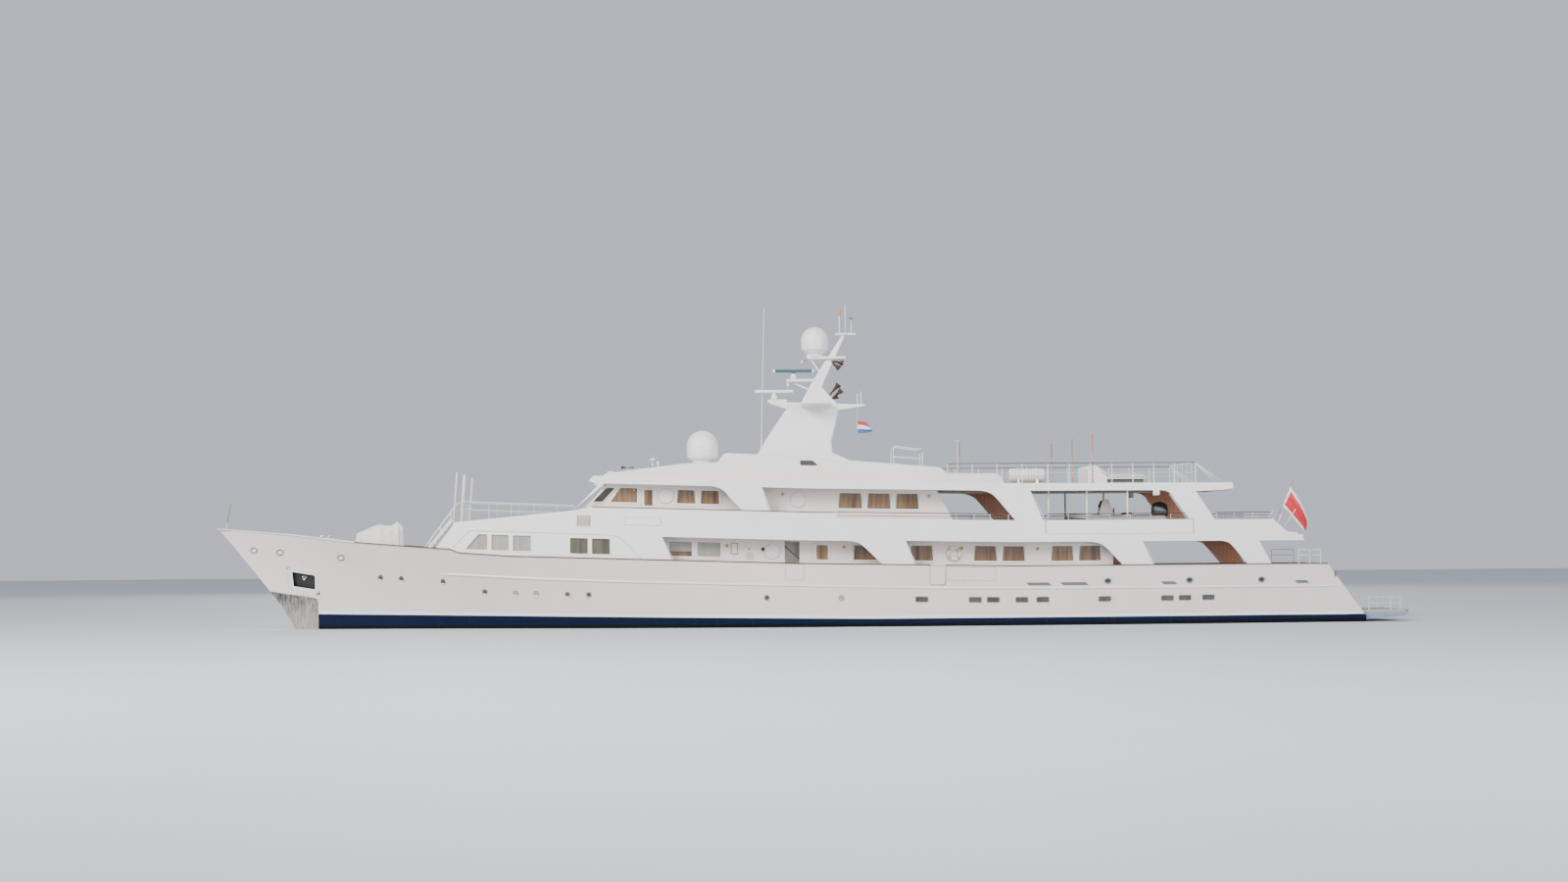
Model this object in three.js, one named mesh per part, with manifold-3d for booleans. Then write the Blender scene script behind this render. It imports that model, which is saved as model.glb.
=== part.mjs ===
// Motor yacht of the classic displacement kind, as a 1:2 scale model afloat.
// Millimetres. +X is forward, +Y is port, +Z is up. The origin is on the waterline plane,
// on the centreline and halfway along the hull.
import * as THREE from "three";
import { mergeVertices } from "three/addons/utils/BufferGeometryUtils.js";
import Module from "manifold-3d";

const wasm = await Module();
wasm.setup();

// Hull form
const DRAUGHT = 1750;
const STEM_TIP = { x: 15140, z: 2712 };
const STEM_FOOT_X = 13072;
const FOREFOOT_X = 10700;
const TRANSOM_TOP = { x: -14310, z: 1570 };
const TRANSOM_RAKE = 0.757;
const TRANSOM_FOOT_Z = 150;
const PLATE = 60;
const BULWARK = 80;
const GAP = 0.3;

// Half-breadths along the hull. Columns: fraction of the length from transom to stem, deck, waterline, keel depth
const LINES = [
  [0.0, 1780, 1560, 130],
  [0.08, 2100, 1880, 360],
  [0.15, 2350, 2130, 640],
  [0.25, 2570, 2380, 1080],
  [0.35, 2610, 2480, 1450],
  [0.45, 2610, 2500, 1680],
  [0.55, 2570, 2420, 1750],
  [0.62, 2460, 2230, 1750],
  [0.69, 2260, 1880, 1750],
  [0.76, 1940, 1430, 1750],
  [0.83, 1480, 930, 1750],
  [0.9, 950, 470, 1750],
  [0.96, 430, 170, 1750],
  [1.0, 0, 0, 1750],
];

// Sheer: every deck and house aft of the foredeck follows it. Columns: x, rise
const SHEER_BENDS = [
  [-6000, 0],
  [-500, 105],
];
const SHEER_SLOPE_FORWARD = 0.0325;
// Cap rail forward of the superstructure. Columns: x, height
const BOW_CAP = [
  [7300, 1928.5],
  [8620, 2030],
  [8840, 2120],
  [10100, 2215],
  [11600, 2340],
  [13300, 2550],
  [15300, 2720],
];

// Deck levels before the sheer is added
const MAIN_DECK = 1020;
const CAP_TOP = 1570;
const CAP_THICK = 26;
const UPPER_UNDER = 2170;
const UPPER_DECK = 2330;
const UPPER_BULWARK_FORE = 2895;
const UPPER_BULWARK_AFT = 2745;
const BULWARK_STEP_X = -1260;
const SUN_UNDER = 3520;
const SUN_DECK = 3710;
const HOUSE_HALF = 1950;
const FOREDECK_BELOW_CAP = 420;
const FOREDECK_AFT_X = 9420;
const SCREEN_INSET = 30;
// Reaches past everything in a direction, for cutters and blanks
const TALL = 6000;
const WIDE = 3200;

// Colours
const paint = (color, roughness, metalness = 0) => new THREE.MeshStandardMaterial({ color, roughness, metalness });
const HULL_GREY = paint(0xd6cfc6, 0.35);
const WHITE = paint(0xefecea, 0.35);
const TEAK = paint(0x9a7148, 0.7);
const VARNISH = paint(0x4a2c1c, 0.3);
const STEEL = paint(0xb9bcbd, 0.25, 0.9);
const GLASS = paint(0x5e5238, 0.08);
const BRONZE = paint(0xb08a4a, 0.35, 0.9);
const RUBBER_GREY = paint(0x9a9da0, 0.7);
const RED = paint(0xb3222c, 0.8);
const PLATFORM_GREY = paint(0x77828f, 0.6);

const group = new THREE.Group();

// Reads a column of a table at x, straight between its rows
function reading(table, column, x) {
  if (x <= table[0][0]) return table[0][column];
  for (let i = 1; i < table.length; i += 1) {
    const [low, high] = [table[i - 1], table[i]];
    if (x <= high[0]) return low[column] + ((high[column] - low[column]) * (x - low[0])) / (high[0] - low[0]);
  }
  return table[table.length - 1][column];
}

// Reads a column of a table on a smooth curve through its rows
function smooth(table, column, x) {
  const n = table.length;
  let i = 1;
  while (i < n - 1 && x > table[i][0]) i += 1;
  const slope = (k) => {
    if (k === 0 || k === n - 1) return undefined;
    return (table[k + 1][column] - table[k - 1][column]) / (table[k + 1][0] - table[k - 1][0]);
  };
  const [a, b] = [table[i - 1], table[i]];
  const h = b[0] - a[0];
  const chord = (b[column] - a[column]) / h;
  const ma = slope(i - 1) ?? chord;
  const mb = slope(i) ?? chord;
  const t = Math.min(Math.max((x - a[0]) / h, 0), 1);
  const bend = h * (ma * t * (1 - t) * (1 - t) - mb * t * t * (1 - t));
  return a[column] * (1 + 2 * t) * (1 - t) ** 2 + b[column] * t * t * (3 - 2 * t) + bend;
}

function sheer(x) {
  const [aft, fore] = SHEER_BENDS;
  if (x > fore[0]) return fore[1] + (x - fore[0]) * SHEER_SLOPE_FORWARD;
  return reading(SHEER_BENDS, 1, Math.max(x, aft[0]));
}

function capTop(x) {
  return x <= BOW_CAP[0][0] ? CAP_TOP + sheer(x) : reading(BOW_CAP, 1, x);
}

// Stem and transom lines: x at a height
function stemX(z) {
  if (z >= 0) return STEM_FOOT_X + (STEM_TIP.x - STEM_FOOT_X) * (z / STEM_TIP.z) ** 1.12;
  const down = Math.min(-z / DRAUGHT, 1);
  return FOREFOOT_X + (STEM_FOOT_X - FOREFOOT_X) * Math.sqrt(1 - down * down);
}

function transomX(z) {
  return TRANSOM_TOP.x - TRANSOM_RAKE * (TRANSOM_TOP.z - Math.max(z, TRANSOM_FOOT_Z));
}

// Half-breadth of the hull at x and z: a flared side above the waterline, a rounded bilge below
function hullHalf(x, z) {
  const along = (x - transomX(z)) / (stemX(z) - transomX(z));
  const u = Math.min(Math.max(along, 0), 1);
  const water = smooth(LINES, 2, u);
  if (z >= 0) {
    const up = z / capTop(x);
    const flare = 1 + 1.1 * Math.max(u - 0.45, 0);
    return water + (smooth(LINES, 1, u) - water) * up ** flare;
  }
  const down = Math.min(-z / smooth(LINES, 3, u), 1);
  const fullness = 3.4 - 2.0 * Math.max(u - 0.5, 0) / 0.5;
  return water * (1 - down ** fullness) ** 0.62;
}

// Half-breadth at the cap rail, straight between frames, so that plates, decks and rails share one line
const FRAME_STEP = 700;

function frameHalf(frame) {
  const x = Math.min(Math.max(frame * FRAME_STEP, TRANSOM_TOP.x), STEM_TIP.x);
  return hullHalf(x, capTop(x));
}

function sideHalf(x) {
  const frame = Math.floor(x / FRAME_STEP);
  const share = x / FRAME_STEP - frame;
  return frameHalf(frame) * (1 - share) + frameHalf(frame + 1) * share;
}

// The frames between two places, with both places
function frames(x0, x1) {
  const inner = [];
  for (let k = Math.floor(x0 / FRAME_STEP) + 1; k * FRAME_STEP < x1; k += 1) inner.push(k * FRAME_STEP);
  return [x0, ...inner, x1];
}

// Solids and meshes
function solid(geometry) {
  const bare = geometry.index ? geometry.clone() : geometry;
  bare.deleteAttribute("normal");
  bare.deleteAttribute("uv");
  const merged = mergeVertices(bare, 1e-3);
  const place3 = merged.attributes.position.array;
  const corner = (i) => new THREE.Vector3(place3[3 * i], place3[3 * i + 1], place3[3 * i + 2]);
  const triangles = [];
  let volume = 0;
  const index = merged.index.array;
  for (let i = 0; i < index.length; i += 3) {
    const [a, b, c] = [index[i], index[i + 1], index[i + 2]];
    if (a === b || b === c || a === c) continue;
    triangles.push([a, b, c]);
    volume += corner(a).dot(corner(b).cross(corner(c)));
  }
  const facingOut = volume < 0 ? triangles.map((triangle) => triangle.reverse()) : triangles;
  return new wasm.Manifold(
    new wasm.Mesh({
      numProp: 3,
      vertProperties: new Float32Array(place3),
      triVerts: new Uint32Array(facingOut.flat()),
    }),
  );
}

function joined(pieces) {
  return pieces.reduce((all, piece) => all.add(piece));
}

function cut(body, tools) {
  return tools.reduce((rest, tool) => rest.subtract(tool), body);
}

// Splits the triangles at a plane of constant x, so that the sheer can bend them there
function creased(points, triangles, planeX) {
  const kept = [];
  const made = new Map();
  const crossing = (a, b) => {
    const key = a < b ? `${a},${b}` : `${b},${a}`;
    if (!made.has(key)) {
      const [p, q] = a < b ? [points[a], points[b]] : [points[b], points[a]];
      const t = (planeX - p[0]) / (q[0] - p[0]);
      points.push([planeX, p[1] + (q[1] - p[1]) * t, p[2] + (q[2] - p[2]) * t]);
      made.set(key, points.length - 1);
    }
    return made.get(key);
  };
  const near = 0.3;
  const sideOf = (i) => Math.sign(Math.abs(points[i][0] - planeX) < near ? 0 : points[i][0] - planeX);
  for (const triangle of triangles) {
    const loop = [];
    triangle.forEach((a, k) => {
      const b = triangle[(k + 1) % 3];
      loop.push(a);
      if (sideOf(a) * sideOf(b) < 0) loop.push(crossing(a, b));
    });
    if (loop.length === 3) {
      kept.push(triangle);
      continue;
    }
    for (const half of [1, -1]) {
      const part = loop.filter((i) => i >= points.length || sideOf(i) * half >= 0);
      for (let k = 1; k + 1 < part.length; k += 1) kept.push([part[0], part[k], part[k + 1]]);
    }
  }
  return kept;
}

function geometryOf(body, followsSheer) {
  const mesh = body.getMesh();
  const points = [];
  for (let i = 0; i < mesh.vertProperties.length; i += mesh.numProp) {
    points.push([...mesh.vertProperties.slice(i, i + 3)]);
  }
  let triangles = [];
  for (let i = 0; i < mesh.triVerts.length; i += 3) triangles.push([...mesh.triVerts.slice(i, i + 3)]);
  if (followsSheer) {
    for (const [bendX] of SHEER_BENDS) triangles = creased(points, triangles, bendX);
    for (const point of points) point[2] += sheer(point[0]);
  }
  const geometry = new THREE.BufferGeometry();
  geometry.setAttribute("position", new THREE.BufferAttribute(new Float32Array(points.flat()), 3));
  geometry.setIndex(triangles.flat());
  geometry.computeVertexNormals();
  return geometry;
}

function place(name, body, material, followsSheer = true) {
  const mesh = new THREE.Mesh(geometryOf(body, followsSheer), material);
  mesh.name = name;
  group.add(mesh);
}

// Shapes. A plan is an outline in x and y, a profile one in x and z, a section one in y and z
function outline(points, holes = []) {
  const shape = new THREE.Shape(points.map(([a, b]) => new THREE.Vector2(a, b)));
  shape.holes = holes.map((hole) => new THREE.Path(hole.map(([a, b]) => new THREE.Vector2(a, b))));
  return shape;
}

function extruded(points, depth, holes) {
  return new THREE.ExtrudeGeometry(outline(points, holes), { depth, bevelEnabled: false, steps: 1 });
}

function plan(points, z0, z1, holes) {
  return solid(extruded(points, z1 - z0, holes).translate(0, 0, z0));
}

function profile(points, y0, y1, holes) {
  return solid(extruded(points, y1 - y0, holes).rotateX(Math.PI / 2).translate(0, y1, 0));
}

function section(points, x0, x1, holes) {
  const geometry = extruded(points, x1 - x0, holes);
  geometry.rotateX(Math.PI / 2).rotateZ(Math.PI / 2);
  return solid(geometry.translate(x0, 0, 0));
}

function box(x0, x1, y0, y1, z0, z1) {
  const geometry = new THREE.BoxGeometry(x1 - x0, y1 - y0, z1 - z0);
  return solid(geometry.translate((x0 + x1) / 2, (y0 + y1) / 2, (z0 + z1) / 2));
}

// A round or square bar between two points
function bar(from, to, radius, sides = 4, farRadius = radius) {
  const [a, b] = [new THREE.Vector3(...from), new THREE.Vector3(...to)];
  const length = a.distanceTo(b);
  const geometry = new THREE.CylinderGeometry(farRadius, radius, length, sides, 1);
  geometry.rotateY(Math.PI / 4);
  const turn = new THREE.Quaternion().setFromUnitVectors(new THREE.Vector3(0, 1, 0), b.clone().sub(a).normalize());
  geometry.applyQuaternion(turn);
  return solid(geometry.translate(...a.add(b).multiplyScalar(0.5).toArray()));
}

// A body turned about a vertical line at x, y from a profile of [radius, height] points
function turned(profilePoints, x, y, z, sides = 16) {
  const geometry = new THREE.LatheGeometry(profilePoints.map(([r, h]) => new THREE.Vector2(r, h)), sides);
  return solid(geometry.rotateX(Math.PI / 2).translate(x, y, z));
}

// A closed body through rings of points, with its two ends closed by fans
function loft(rings) {
  const n = rings[0].length;
  const position = rings.flat(2);
  const index = [];
  for (let k = 0; k + 1 < rings.length; k += 1) {
    for (let j = 0; j < n; j += 1) {
      const [a, b] = [k * n + j, k * n + ((j + 1) % n)];
      index.push(a, b, b + n, a, b + n, a + n);
    }
  }
  const last = (rings.length - 1) * n;
  for (let j = 1; j + 1 < n; j += 1) {
    index.push(0, j + 1, j);
    index.push(last, last + j, last + j + 1);
  }
  const geometry = new THREE.BufferGeometry();
  geometry.setAttribute("position", new THREE.BufferAttribute(new Float32Array(position), 3));
  geometry.setIndex(index);
  return solid(geometry);
}

const mirrored = (body) => body.mirror([0, 1, 0]);

const largest = (body) => body.decompose().reduce((a, b) => (a.volume() > b.volume() ? a : b));

// The same body bent by the sheer
const sheered = (body) => solid(geometryOf(body, true));

function range(from, to, step) {
  const count = Math.max(Math.round(Math.abs(to - from) / step), 1);
  return Array.from({ length: count + 1 }, (_, i) => from + ((to - from) * i) / count);
}

// Plan outline between two insets from the hull side, port side only
function bandPlan(outer, inner, x0, x1) {
  const xs = frames(x0, x1);
  const far = xs.map((x) => [x, sideHalf(x) - outer]);
  const near = xs.map((x) => [x, sideHalf(x) - inner]).reverse();
  return [...far, ...near];
}

// Plan outline of a whole deck at an inset from the hull side
function deckPlan(inset, x0, x1) {
  const xs = frames(x0, x1);
  const port = xs.map((x) => [x, sideHalf(x) - inset]);
  return [...port, ...port.map(([x, y]) => [x, -y]).reverse()];
}

// Hull
const STATIONS = [0, 0.03, 0.08, 0.13, 0.19, 0.25, 0.33, 0.42, 0.5, 0.57, 0.63, 0.69, 0.75, 0.81, 0.86, 0.91, 0.955, 0.985, 1];
const DEPTHS = [1, 0.92, 0.75, 0.5, 0.22];
const HEIGHTS = [0, 0.2, 0.4, 0.6, 0.8, 1.04];

function hullPoint(u, depth, height) {
  if (depth > 0) {
    const z = -depth * smooth(LINES, 3, u);
    const x = transomX(z) + (stemX(-depth * DRAUGHT) - transomX(z)) * u;
    return [x, hullHalf(x, z), z];
  }
  let z = height * TRANSOM_TOP.z;
  let x = 0;
  for (let pass = 0; pass < 12; pass += 1) {
    x = transomX(z) + (stemX(z) - transomX(z)) * u;
    z = height * capTop(x);
  }
  return [x, hullHalf(x, z), z];
}

function hullShell() {
  const rings = STATIONS.map((u) => {
    const below = DEPTHS.map((depth) => hullPoint(u, depth, 0));
    const above = HEIGHTS.map((height) => hullPoint(u, 0, height));
    const port = [...below, ...above].map(([x, y, z], i) => [x, i === 0 || u === 1 ? 0 : y, z]);
    const starboard = port.slice(1).reverse().map(([x, y, z]) => [x, -y, z]);
    return [...port, ...starboard];
  });
  return loft(rings);
}

// Cutter above the cap rail's underside
function aboveCap(drop) {
  const xs = [-16000, ...SHEER_BENDS.map((row) => row[0]), ...BOW_CAP.map((row) => row[0])];
  const line = xs.map((x) => [x, capTop(x) - drop]);
  return profile([...line, [15300, 6000], [-16000, 6000]], -4000, 4000);
}

// Hollow inside the bulwark from a floor up, with walls as thick as the bulwark
function bulwarkWell(x0, x1, floorAt, wall) {
  const levels = [0, 0.5, 1, 1.2];
  const bends = [...SHEER_BENDS, ...BOW_CAP].map((row) => row[0]).filter((x) => x > x0 && x < x1);
  const xs = [...new Set([...frames(x0, x1), ...bends])].sort((a, b) => a - b);
  const rings = xs.map((x) => {
    const [floor, top] = [floorAt(x), capTop(x)];
    const port = levels.map((share) => {
      const z = floor + (top - floor) * share;
      return [x, Math.max(hullHalf(x, z) - wall, 12), z];
    });
    return [...port, ...port.map(([px, py, pz]) => [px, -py, pz]).reverse()];
  });
  return loft(rings);
}

const WELL_AFT_X = -14150;
const FULL_BEAM_AFT_X = 3480;
const SEAT_INSET = SCREEN_INSET + PLATE;
// Anchor pocket, with its corners in x and z, and its floor a plane inside the hull's side
const POCKET = {
  corners: [
    [13140, 1535],
    [12520, 1433],
    [12530, 1060],
    [13110, 1151],
  ],
  depth: 120,
};
const RUB_RAIL = [
  [9230, 1470],
  [6700, 1323],
  [4190, 1224],
  [1380, 1136],
  [-1430, 1055],
  [-4110, 994],
  [-7000, 972],
  [-14640, 958],
];
const SPRAY_RAIL = [
  [-12200, 232],
  [-15250, 215],
];

// Half-round rail that follows the hull side along a table of x and z
function sideRail(table, radius) {
  const xs = range(table[0][0], table[table.length - 1][0], 800);
  const flipped = [...table].reverse();
  const rings = xs.map((x, i) => {
    const taper = i === 0 || i === xs.length - 1 ? 0.35 : 1;
    const z = reading(flipped, 1, x);
    const y = hullHalf(x, z);
    const r = radius * taper;
    return [[x, y + r, z - r], [x, y + r, z + r * 0.2], [x, y - 60, z + r * 1.3], [x, y - 60, z - r * 1.3]];
  });
  return loft(rings);
}

const GATE = { foreX: -3720, aftX: -4110, clearance: 6, swing: 20, sill: 20 };

const PROP = { x: -12050, y: 1080, z: -1130, radius: 500 };
const RUDDER = { x: -12980, y: 1080, top: -620, bottom: -1560 };
const FIN = { x: 450, z: -1120, droop: (38 * Math.PI) / 180 };
const finRoot = () => [FIN.x, hullHalf(FIN.x, FIN.z), FIN.z];
const finOut = [0, Math.cos(FIN.droop), -Math.sin(FIN.droop)];
const along = (point, direction, distance) => point.map((value, i) => value + direction[i] * distance);

const mainFloor = (x) => MAIN_DECK + sheer(x);
const foreFloor = (x) => capTop(x) - FOREDECK_BELOW_CAP;
const BLOCK_FLOOR = 900;
// How far below the main deck the bulwarks stand
const LEDGE = 8;
const bendsBetween = (x0, x1) => [...SHEER_BENDS, ...BOW_CAP].map((row) => row[0]).filter((x) => x > x0 && x < x1);

// All that stands on the decks: the main deck or the ledge below it, the floor of the full-beam part and the
// foredeck. The gap moves its three floors up and the steps between them into it
function aboveDecks(gap, ledge) {
  const mainXs = [-16000, ...bendsBetween(-16000, FULL_BEAM_AFT_X), FULL_BEAM_AFT_X + gap];
  const line = mainXs.map((x) => [x, mainFloor(x) - ledge + gap]);
  const block = [FULL_BEAM_AFT_X + gap, FOREDECK_AFT_X - gap].map((x) => [x, BLOCK_FLOOR + sheer(x) + gap]);
  const bow = [FOREDECK_AFT_X - gap, ...bendsBetween(FOREDECK_AFT_X, 15300), 15300].map((x) => [x, foreFloor(x) + gap]);
  return profile([...line, ...block, ...bow, [15300, TALL], [-16000, TALL]], -WIDE, WIDE);
}

// Plane through three corners of the pocket's floor: the distance from the centreline at an x and a z
function pocketFloor(x, z) {
  const [a, b, c] = POCKET.corners.map(([px, pz]) => [px, hullHalf(px, pz) - POCKET.depth, pz]);
  const across = [b[0] - a[0], b[1] - a[1], b[2] - a[2]];
  const down = [c[0] - b[0], c[1] - b[1], c[2] - b[2]];
  const normal = [
    across[1] * down[2] - across[2] * down[1],
    across[2] * down[0] - across[0] * down[2],
    across[0] * down[1] - across[1] * down[0],
  ];
  return a[1] - (normal[0] * (x - a[0]) + normal[2] * (z - a[2])) / normal[1];
}

function makePocket() {
  const floor = POCKET.corners.map(([x, z]) => [x, pocketFloor(x, z), z]);
  return loft([floor, POCKET.corners.map(([x, z]) => [x, 2500, z])]);
}

// The inside of the bulwarks round the main deck, from the ledge up
const mainWell = (gap) =>
  bulwarkWell(WELL_AFT_X + gap, FULL_BEAM_AFT_X + GAP, (x) => mainFloor(x) - LEDGE, BULWARK + gap);

// Hull up to its decks, and the bulwarks and the full-beam part that stand on it, with the gates' gaps in them
function makeHull() {
  const skeg = profile([[-7000, -300], [-7000, -1690], [-11500, -1690], [-12100, -300]], -55, 55);
  const fins = [1, -1].map((side) => {
    const root = finRoot();
    const port = bar(along(root, finOut, -200), along(root, finOut, 25), 90, 12);
    return side > 0 ? port : mirrored(port);
  });
  const trunks = [1, -1].map((side) => {
    const y = side * RUDDER.y;
    return bar([RUDDER.x, y, 100], [RUDDER.x, y, RUDDER.top + 40], 75, 12);
  });
  const rails = [sideRail(RUB_RAIL, 34), sideRail(SPRAY_RAIL, 26)];
  const shell = joined([hullShell(), skeg, ...fins, ...trunks, ...rails, ...rails.map(mirrored)]);
  const seatTop = sheered(plan(deckPlan(SEAT_INSET, FULL_BEAM_AFT_X - 10, FOREDECK_AFT_X), CAP_TOP - CAP_THICK, TALL));
  const pocket = makePocket();
  const gate = box(GATE.aftX, GATE.foreX, 2200, 3000, MAIN_DECK + GATE.sill, 3000);
  const gates = [gate, mirrored(gate)].map(sheered);
  const bulwarks = cut(shell.intersect(aboveDecks(GAP, LEDGE)), [
    aboveCap(CAP_THICK),
    mainWell(0),
    bulwarkWell(FOREDECK_AFT_X, 14350, foreFloor, BULWARK),
    seatTop,
    ...gates,
  ]);
  const ledge = aboveDecks(0, LEDGE).subtract(mainWell(GAP));
  return { hull: cut(shell, [aboveDecks(0, 0), ledge, pocket, mirrored(pocket)]), bulwarks };
}

const { hull, bulwarks } = makeHull();
place("hull", hull, HULL_GREY, false);
place("bulwarks", bulwarks, HULL_GREY, false);

// Cap rails: a strip on the bulwark, forward and aft of the boarding gates
function capRail(x0, x1) {
  const xs = frames(x0, x1);
  for (const [bend] of [...SHEER_BENDS, ...BOW_CAP]) if (bend > Math.min(x0, x1) && bend < Math.max(x0, x1)) xs.push(bend);
  xs.sort((a, b) => a - b);
  const rings = xs.map((x) => {
    const [y, top] = [sideHalf(x), capTop(x)];
    const [outer, inner] = [y + 16, Math.max(y - SEAT_INSET + 12, 4)];
    return [[x, outer, top - CAP_THICK + GAP], [x, outer, top], [x, inner, top], [x, inner, top - CAP_THICK + GAP]];
  });
  return loft(rings);
}

const STERN_RAIL = { foreX: -13540, aftX: -14140, bars: [350, 200] };

function makeCapRails() {
  const port = capRail(GATE.foreX + GATE.clearance, 15060);
  const bow = box(14850, 15150, -60, 60, 0, TALL);
  const tip = bow.intersect(loftPlate(14850, 15150));
  const jackstaff = bar([14920, 0, 2680], [14800, 0, 3385], 12, 6, 8);
  place("cap_rail_forward", joined([port, mirrored(port), tip, jackstaff]), VARNISH, false);
  const aft = capRail(TRANSOM_TOP.x - 5, GATE.aftX - GATE.clearance);
  const width = sideHalf(TRANSOM_TOP.x) + 16;
  const across = box(TRANSOM_TOP.x - 20, TRANSOM_TOP.x + 90, -width, width, CAP_TOP - CAP_THICK + GAP, CAP_TOP);
  const rails = [1, -1].flatMap((side) => {
    const at = (x, height) => [x, side * (sideHalf(x) - 40), CAP_TOP + height];
    const bars = STERN_RAIL.bars.map((height) => bar(at(STERN_RAIL.foreX, height), at(STERN_RAIL.aftX, height), 9));
    const posts = [STERN_RAIL.foreX, STERN_RAIL.aftX].map((x) => bar(at(x, -10), at(x, STERN_RAIL.bars[0]), 9));
    return [...bars, ...posts];
  });
  place("cap_rail_aft", joined([aft, mirrored(aft), across, ...rails]), VARNISH, false);
}

function loftPlate(x0, x1) {
  const rings = [x0, x1].map((x) => {
    const top = capTop(x);
    const low = top - CAP_THICK + GAP;
    return [[x, 60, low], [x, -60, low], [x, -60, top], [x, 60, top]];
  });
  return loft(rings);
}

makeCapRails();

// Openings in the side plating. Columns: front edge at the top and bottom, where the aft curve starts at
// the top, the two points of its slope, top and bottom
const SIDE_OPENINGS = [
  [3280, 2990, -1500, -1960, 2040, -2530, 2165, 1500],
  [-3070, -3345, -7790, -8330, 2040, -8840, 2185, 1500],
  [-9310, -9625, -11350, -11740, 2040, -12190, 2180, 1500],
];
const UPPER_OPENINGS = [
  [4760, 5480, 2050, 1520, 3250, 1170, 3520, 2895],
  [670, 370, -4950, -5470, 3320, -6080, 3520, 2600],
  [-6350, -6745, -9800, -10180, 3280, -10700, 3520, 2600],
];
const FORWARD_WINDOWS = [
  [[8080, 2110], [7850, 2110], [7850, 1705], [8430, 1705]],
  [[7740, 2105], [7290, 2105], [7290, 1700], [7740, 1700]],
  [[7170, 2100], [6705, 2100], [6705, 1695], [7170, 1695]],
  [[5670, 2070], [5210, 2070], [5210, 1665], [5670, 1665]],
  [[5100, 2070], [4635, 2070], [4635, 1665], [5100, 1665]],
];

function openingShape([frontTop, frontBottom, curveStart, slopeX, slopeZ, aftBottom, top, bottom]) {
  const curve = new THREE.QuadraticBezierCurve(
    new THREE.Vector2(curveStart, top),
    new THREE.Vector2((curveStart + slopeX) / 2 - 110, top),
    new THREE.Vector2(slopeX, slopeZ),
  );
  const bend = curve.getPoints(6).map((p) => [p.x, p.y]);
  return [[frontBottom, bottom], [frontTop, top], ...bend, [aftBottom, bottom]];
}

function makeSidePlating() {
  const profilePoints = [
    [9330, CAP_TOP + GAP],
    [8690, 2410],
    [5640, 2780],
    [5080, UPPER_BULWARK_FORE],
    [BULWARK_STEP_X, UPPER_BULWARK_FORE],
    [BULWARK_STEP_X, UPPER_BULWARK_AFT],
    [-12840, UPPER_BULWARK_AFT],
    [-13240, 2400],
    [-13480, 2385],
    [-13700, UPPER_UNDER + 20],
    [-13690, UPPER_UNDER],
    [-12460, UPPER_UNDER],
    [-12790, CAP_TOP + GAP],
  ];
  const sheet = profile(profilePoints, 0, WIDE);
  const band = plan(bandPlan(SCREEN_INSET, SCREEN_INSET + PLATE, -13800, 9400), 0, TALL);
  const tools = [
    ...SIDE_OPENINGS.map((row) => profile(openingShape(row), 0, WIDE)),
    ...FORWARD_WINDOWS.map((points) => profile(points, 0, WIDE)),
    box(BOAT_FLAP.aftX, BOAT_FLAP.foreX, 0, WIDE, BOAT_FLAP.bottom, 4000),
    box(7300, 9500, 0, WIDE, 0, 1500),
  ];
  return cut(sheet.intersect(band), tools);
}

const BOAT_FLAP = { foreX: -6745, aftX: -10700, bottom: 2372 };

function aboveBowCap() {
  const xs = [7300, 8620, 8840, 9500];
  const line = xs.map((x) => [x, capTop(x) - sheer(x) + GAP]);
  return profile([...line, [9500, 0], [7300, 0]], 0, WIDE);
}

const plating = cut(makeSidePlating(), [aboveBowCap()]);
place("side_plating_port", plating, WHITE);
place("side_plating_starboard", mirrored(plating), WHITE);

function makeUpperScreen() {
  const profilePoints = [
    [5480, UPPER_BULWARK_FORE + GAP],
    [4900, 3500],
    [5180, 3560],
    [5060, SUN_DECK],
    [-11760, SUN_DECK],
    [-11790, 3560],
    [-11500, SUN_UNDER - 10],
    [-10760, 3480],
    [-11170, 2880],
    [-11260, UPPER_BULWARK_AFT + GAP],
    [BULWARK_STEP_X - GAP, UPPER_BULWARK_AFT + GAP],
    [BULWARK_STEP_X - GAP, UPPER_BULWARK_FORE + GAP],
  ];
  const sheet = profile(profilePoints, 0, WIDE);
  const band = plan(bandPlan(SCREEN_INSET, SCREEN_INSET + PLATE, -11900, 5500), 0, TALL);
  return cut(sheet.intersect(band), UPPER_OPENINGS.map((row) => profile(openingShape(row), 0, WIDE)));
}

const upperScreen = makeUpperScreen();
place("upper_screen_port", upperScreen, WHITE);
place("upper_screen_starboard", mirrored(upperScreen), WHITE);

// Decks
const DECK_INSET = SCREEN_INSET + PLATE + GAP;
const UPPER_DECK_FORE_X = 8720;

// Deck slab between two levels, with a ring at every frame and every bend of the sheer
function deckSlab(x0, x1, low, high) {
  const bends = SHEER_BENDS.map((row) => row[0]).filter((x) => x > x0 && x < x1);
  const xs = [...new Set([...frames(x0, x1), ...bends])].sort((a, b) => a - b);
  return loft(xs.map((x) => {
    const half = sideHalf(x) - DECK_INSET;
    return [[x, half, low], [x, half, high], [x, -half, high], [x, -half, low]];
  }));
}

place("upper_deck", deckSlab(-13680, UPPER_DECK_FORE_X, UPPER_UNDER, UPPER_DECK), TEAK);
place("sun_deck", deckSlab(-11760, 4900, SUN_UNDER, SUN_DECK), TEAK);

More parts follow.
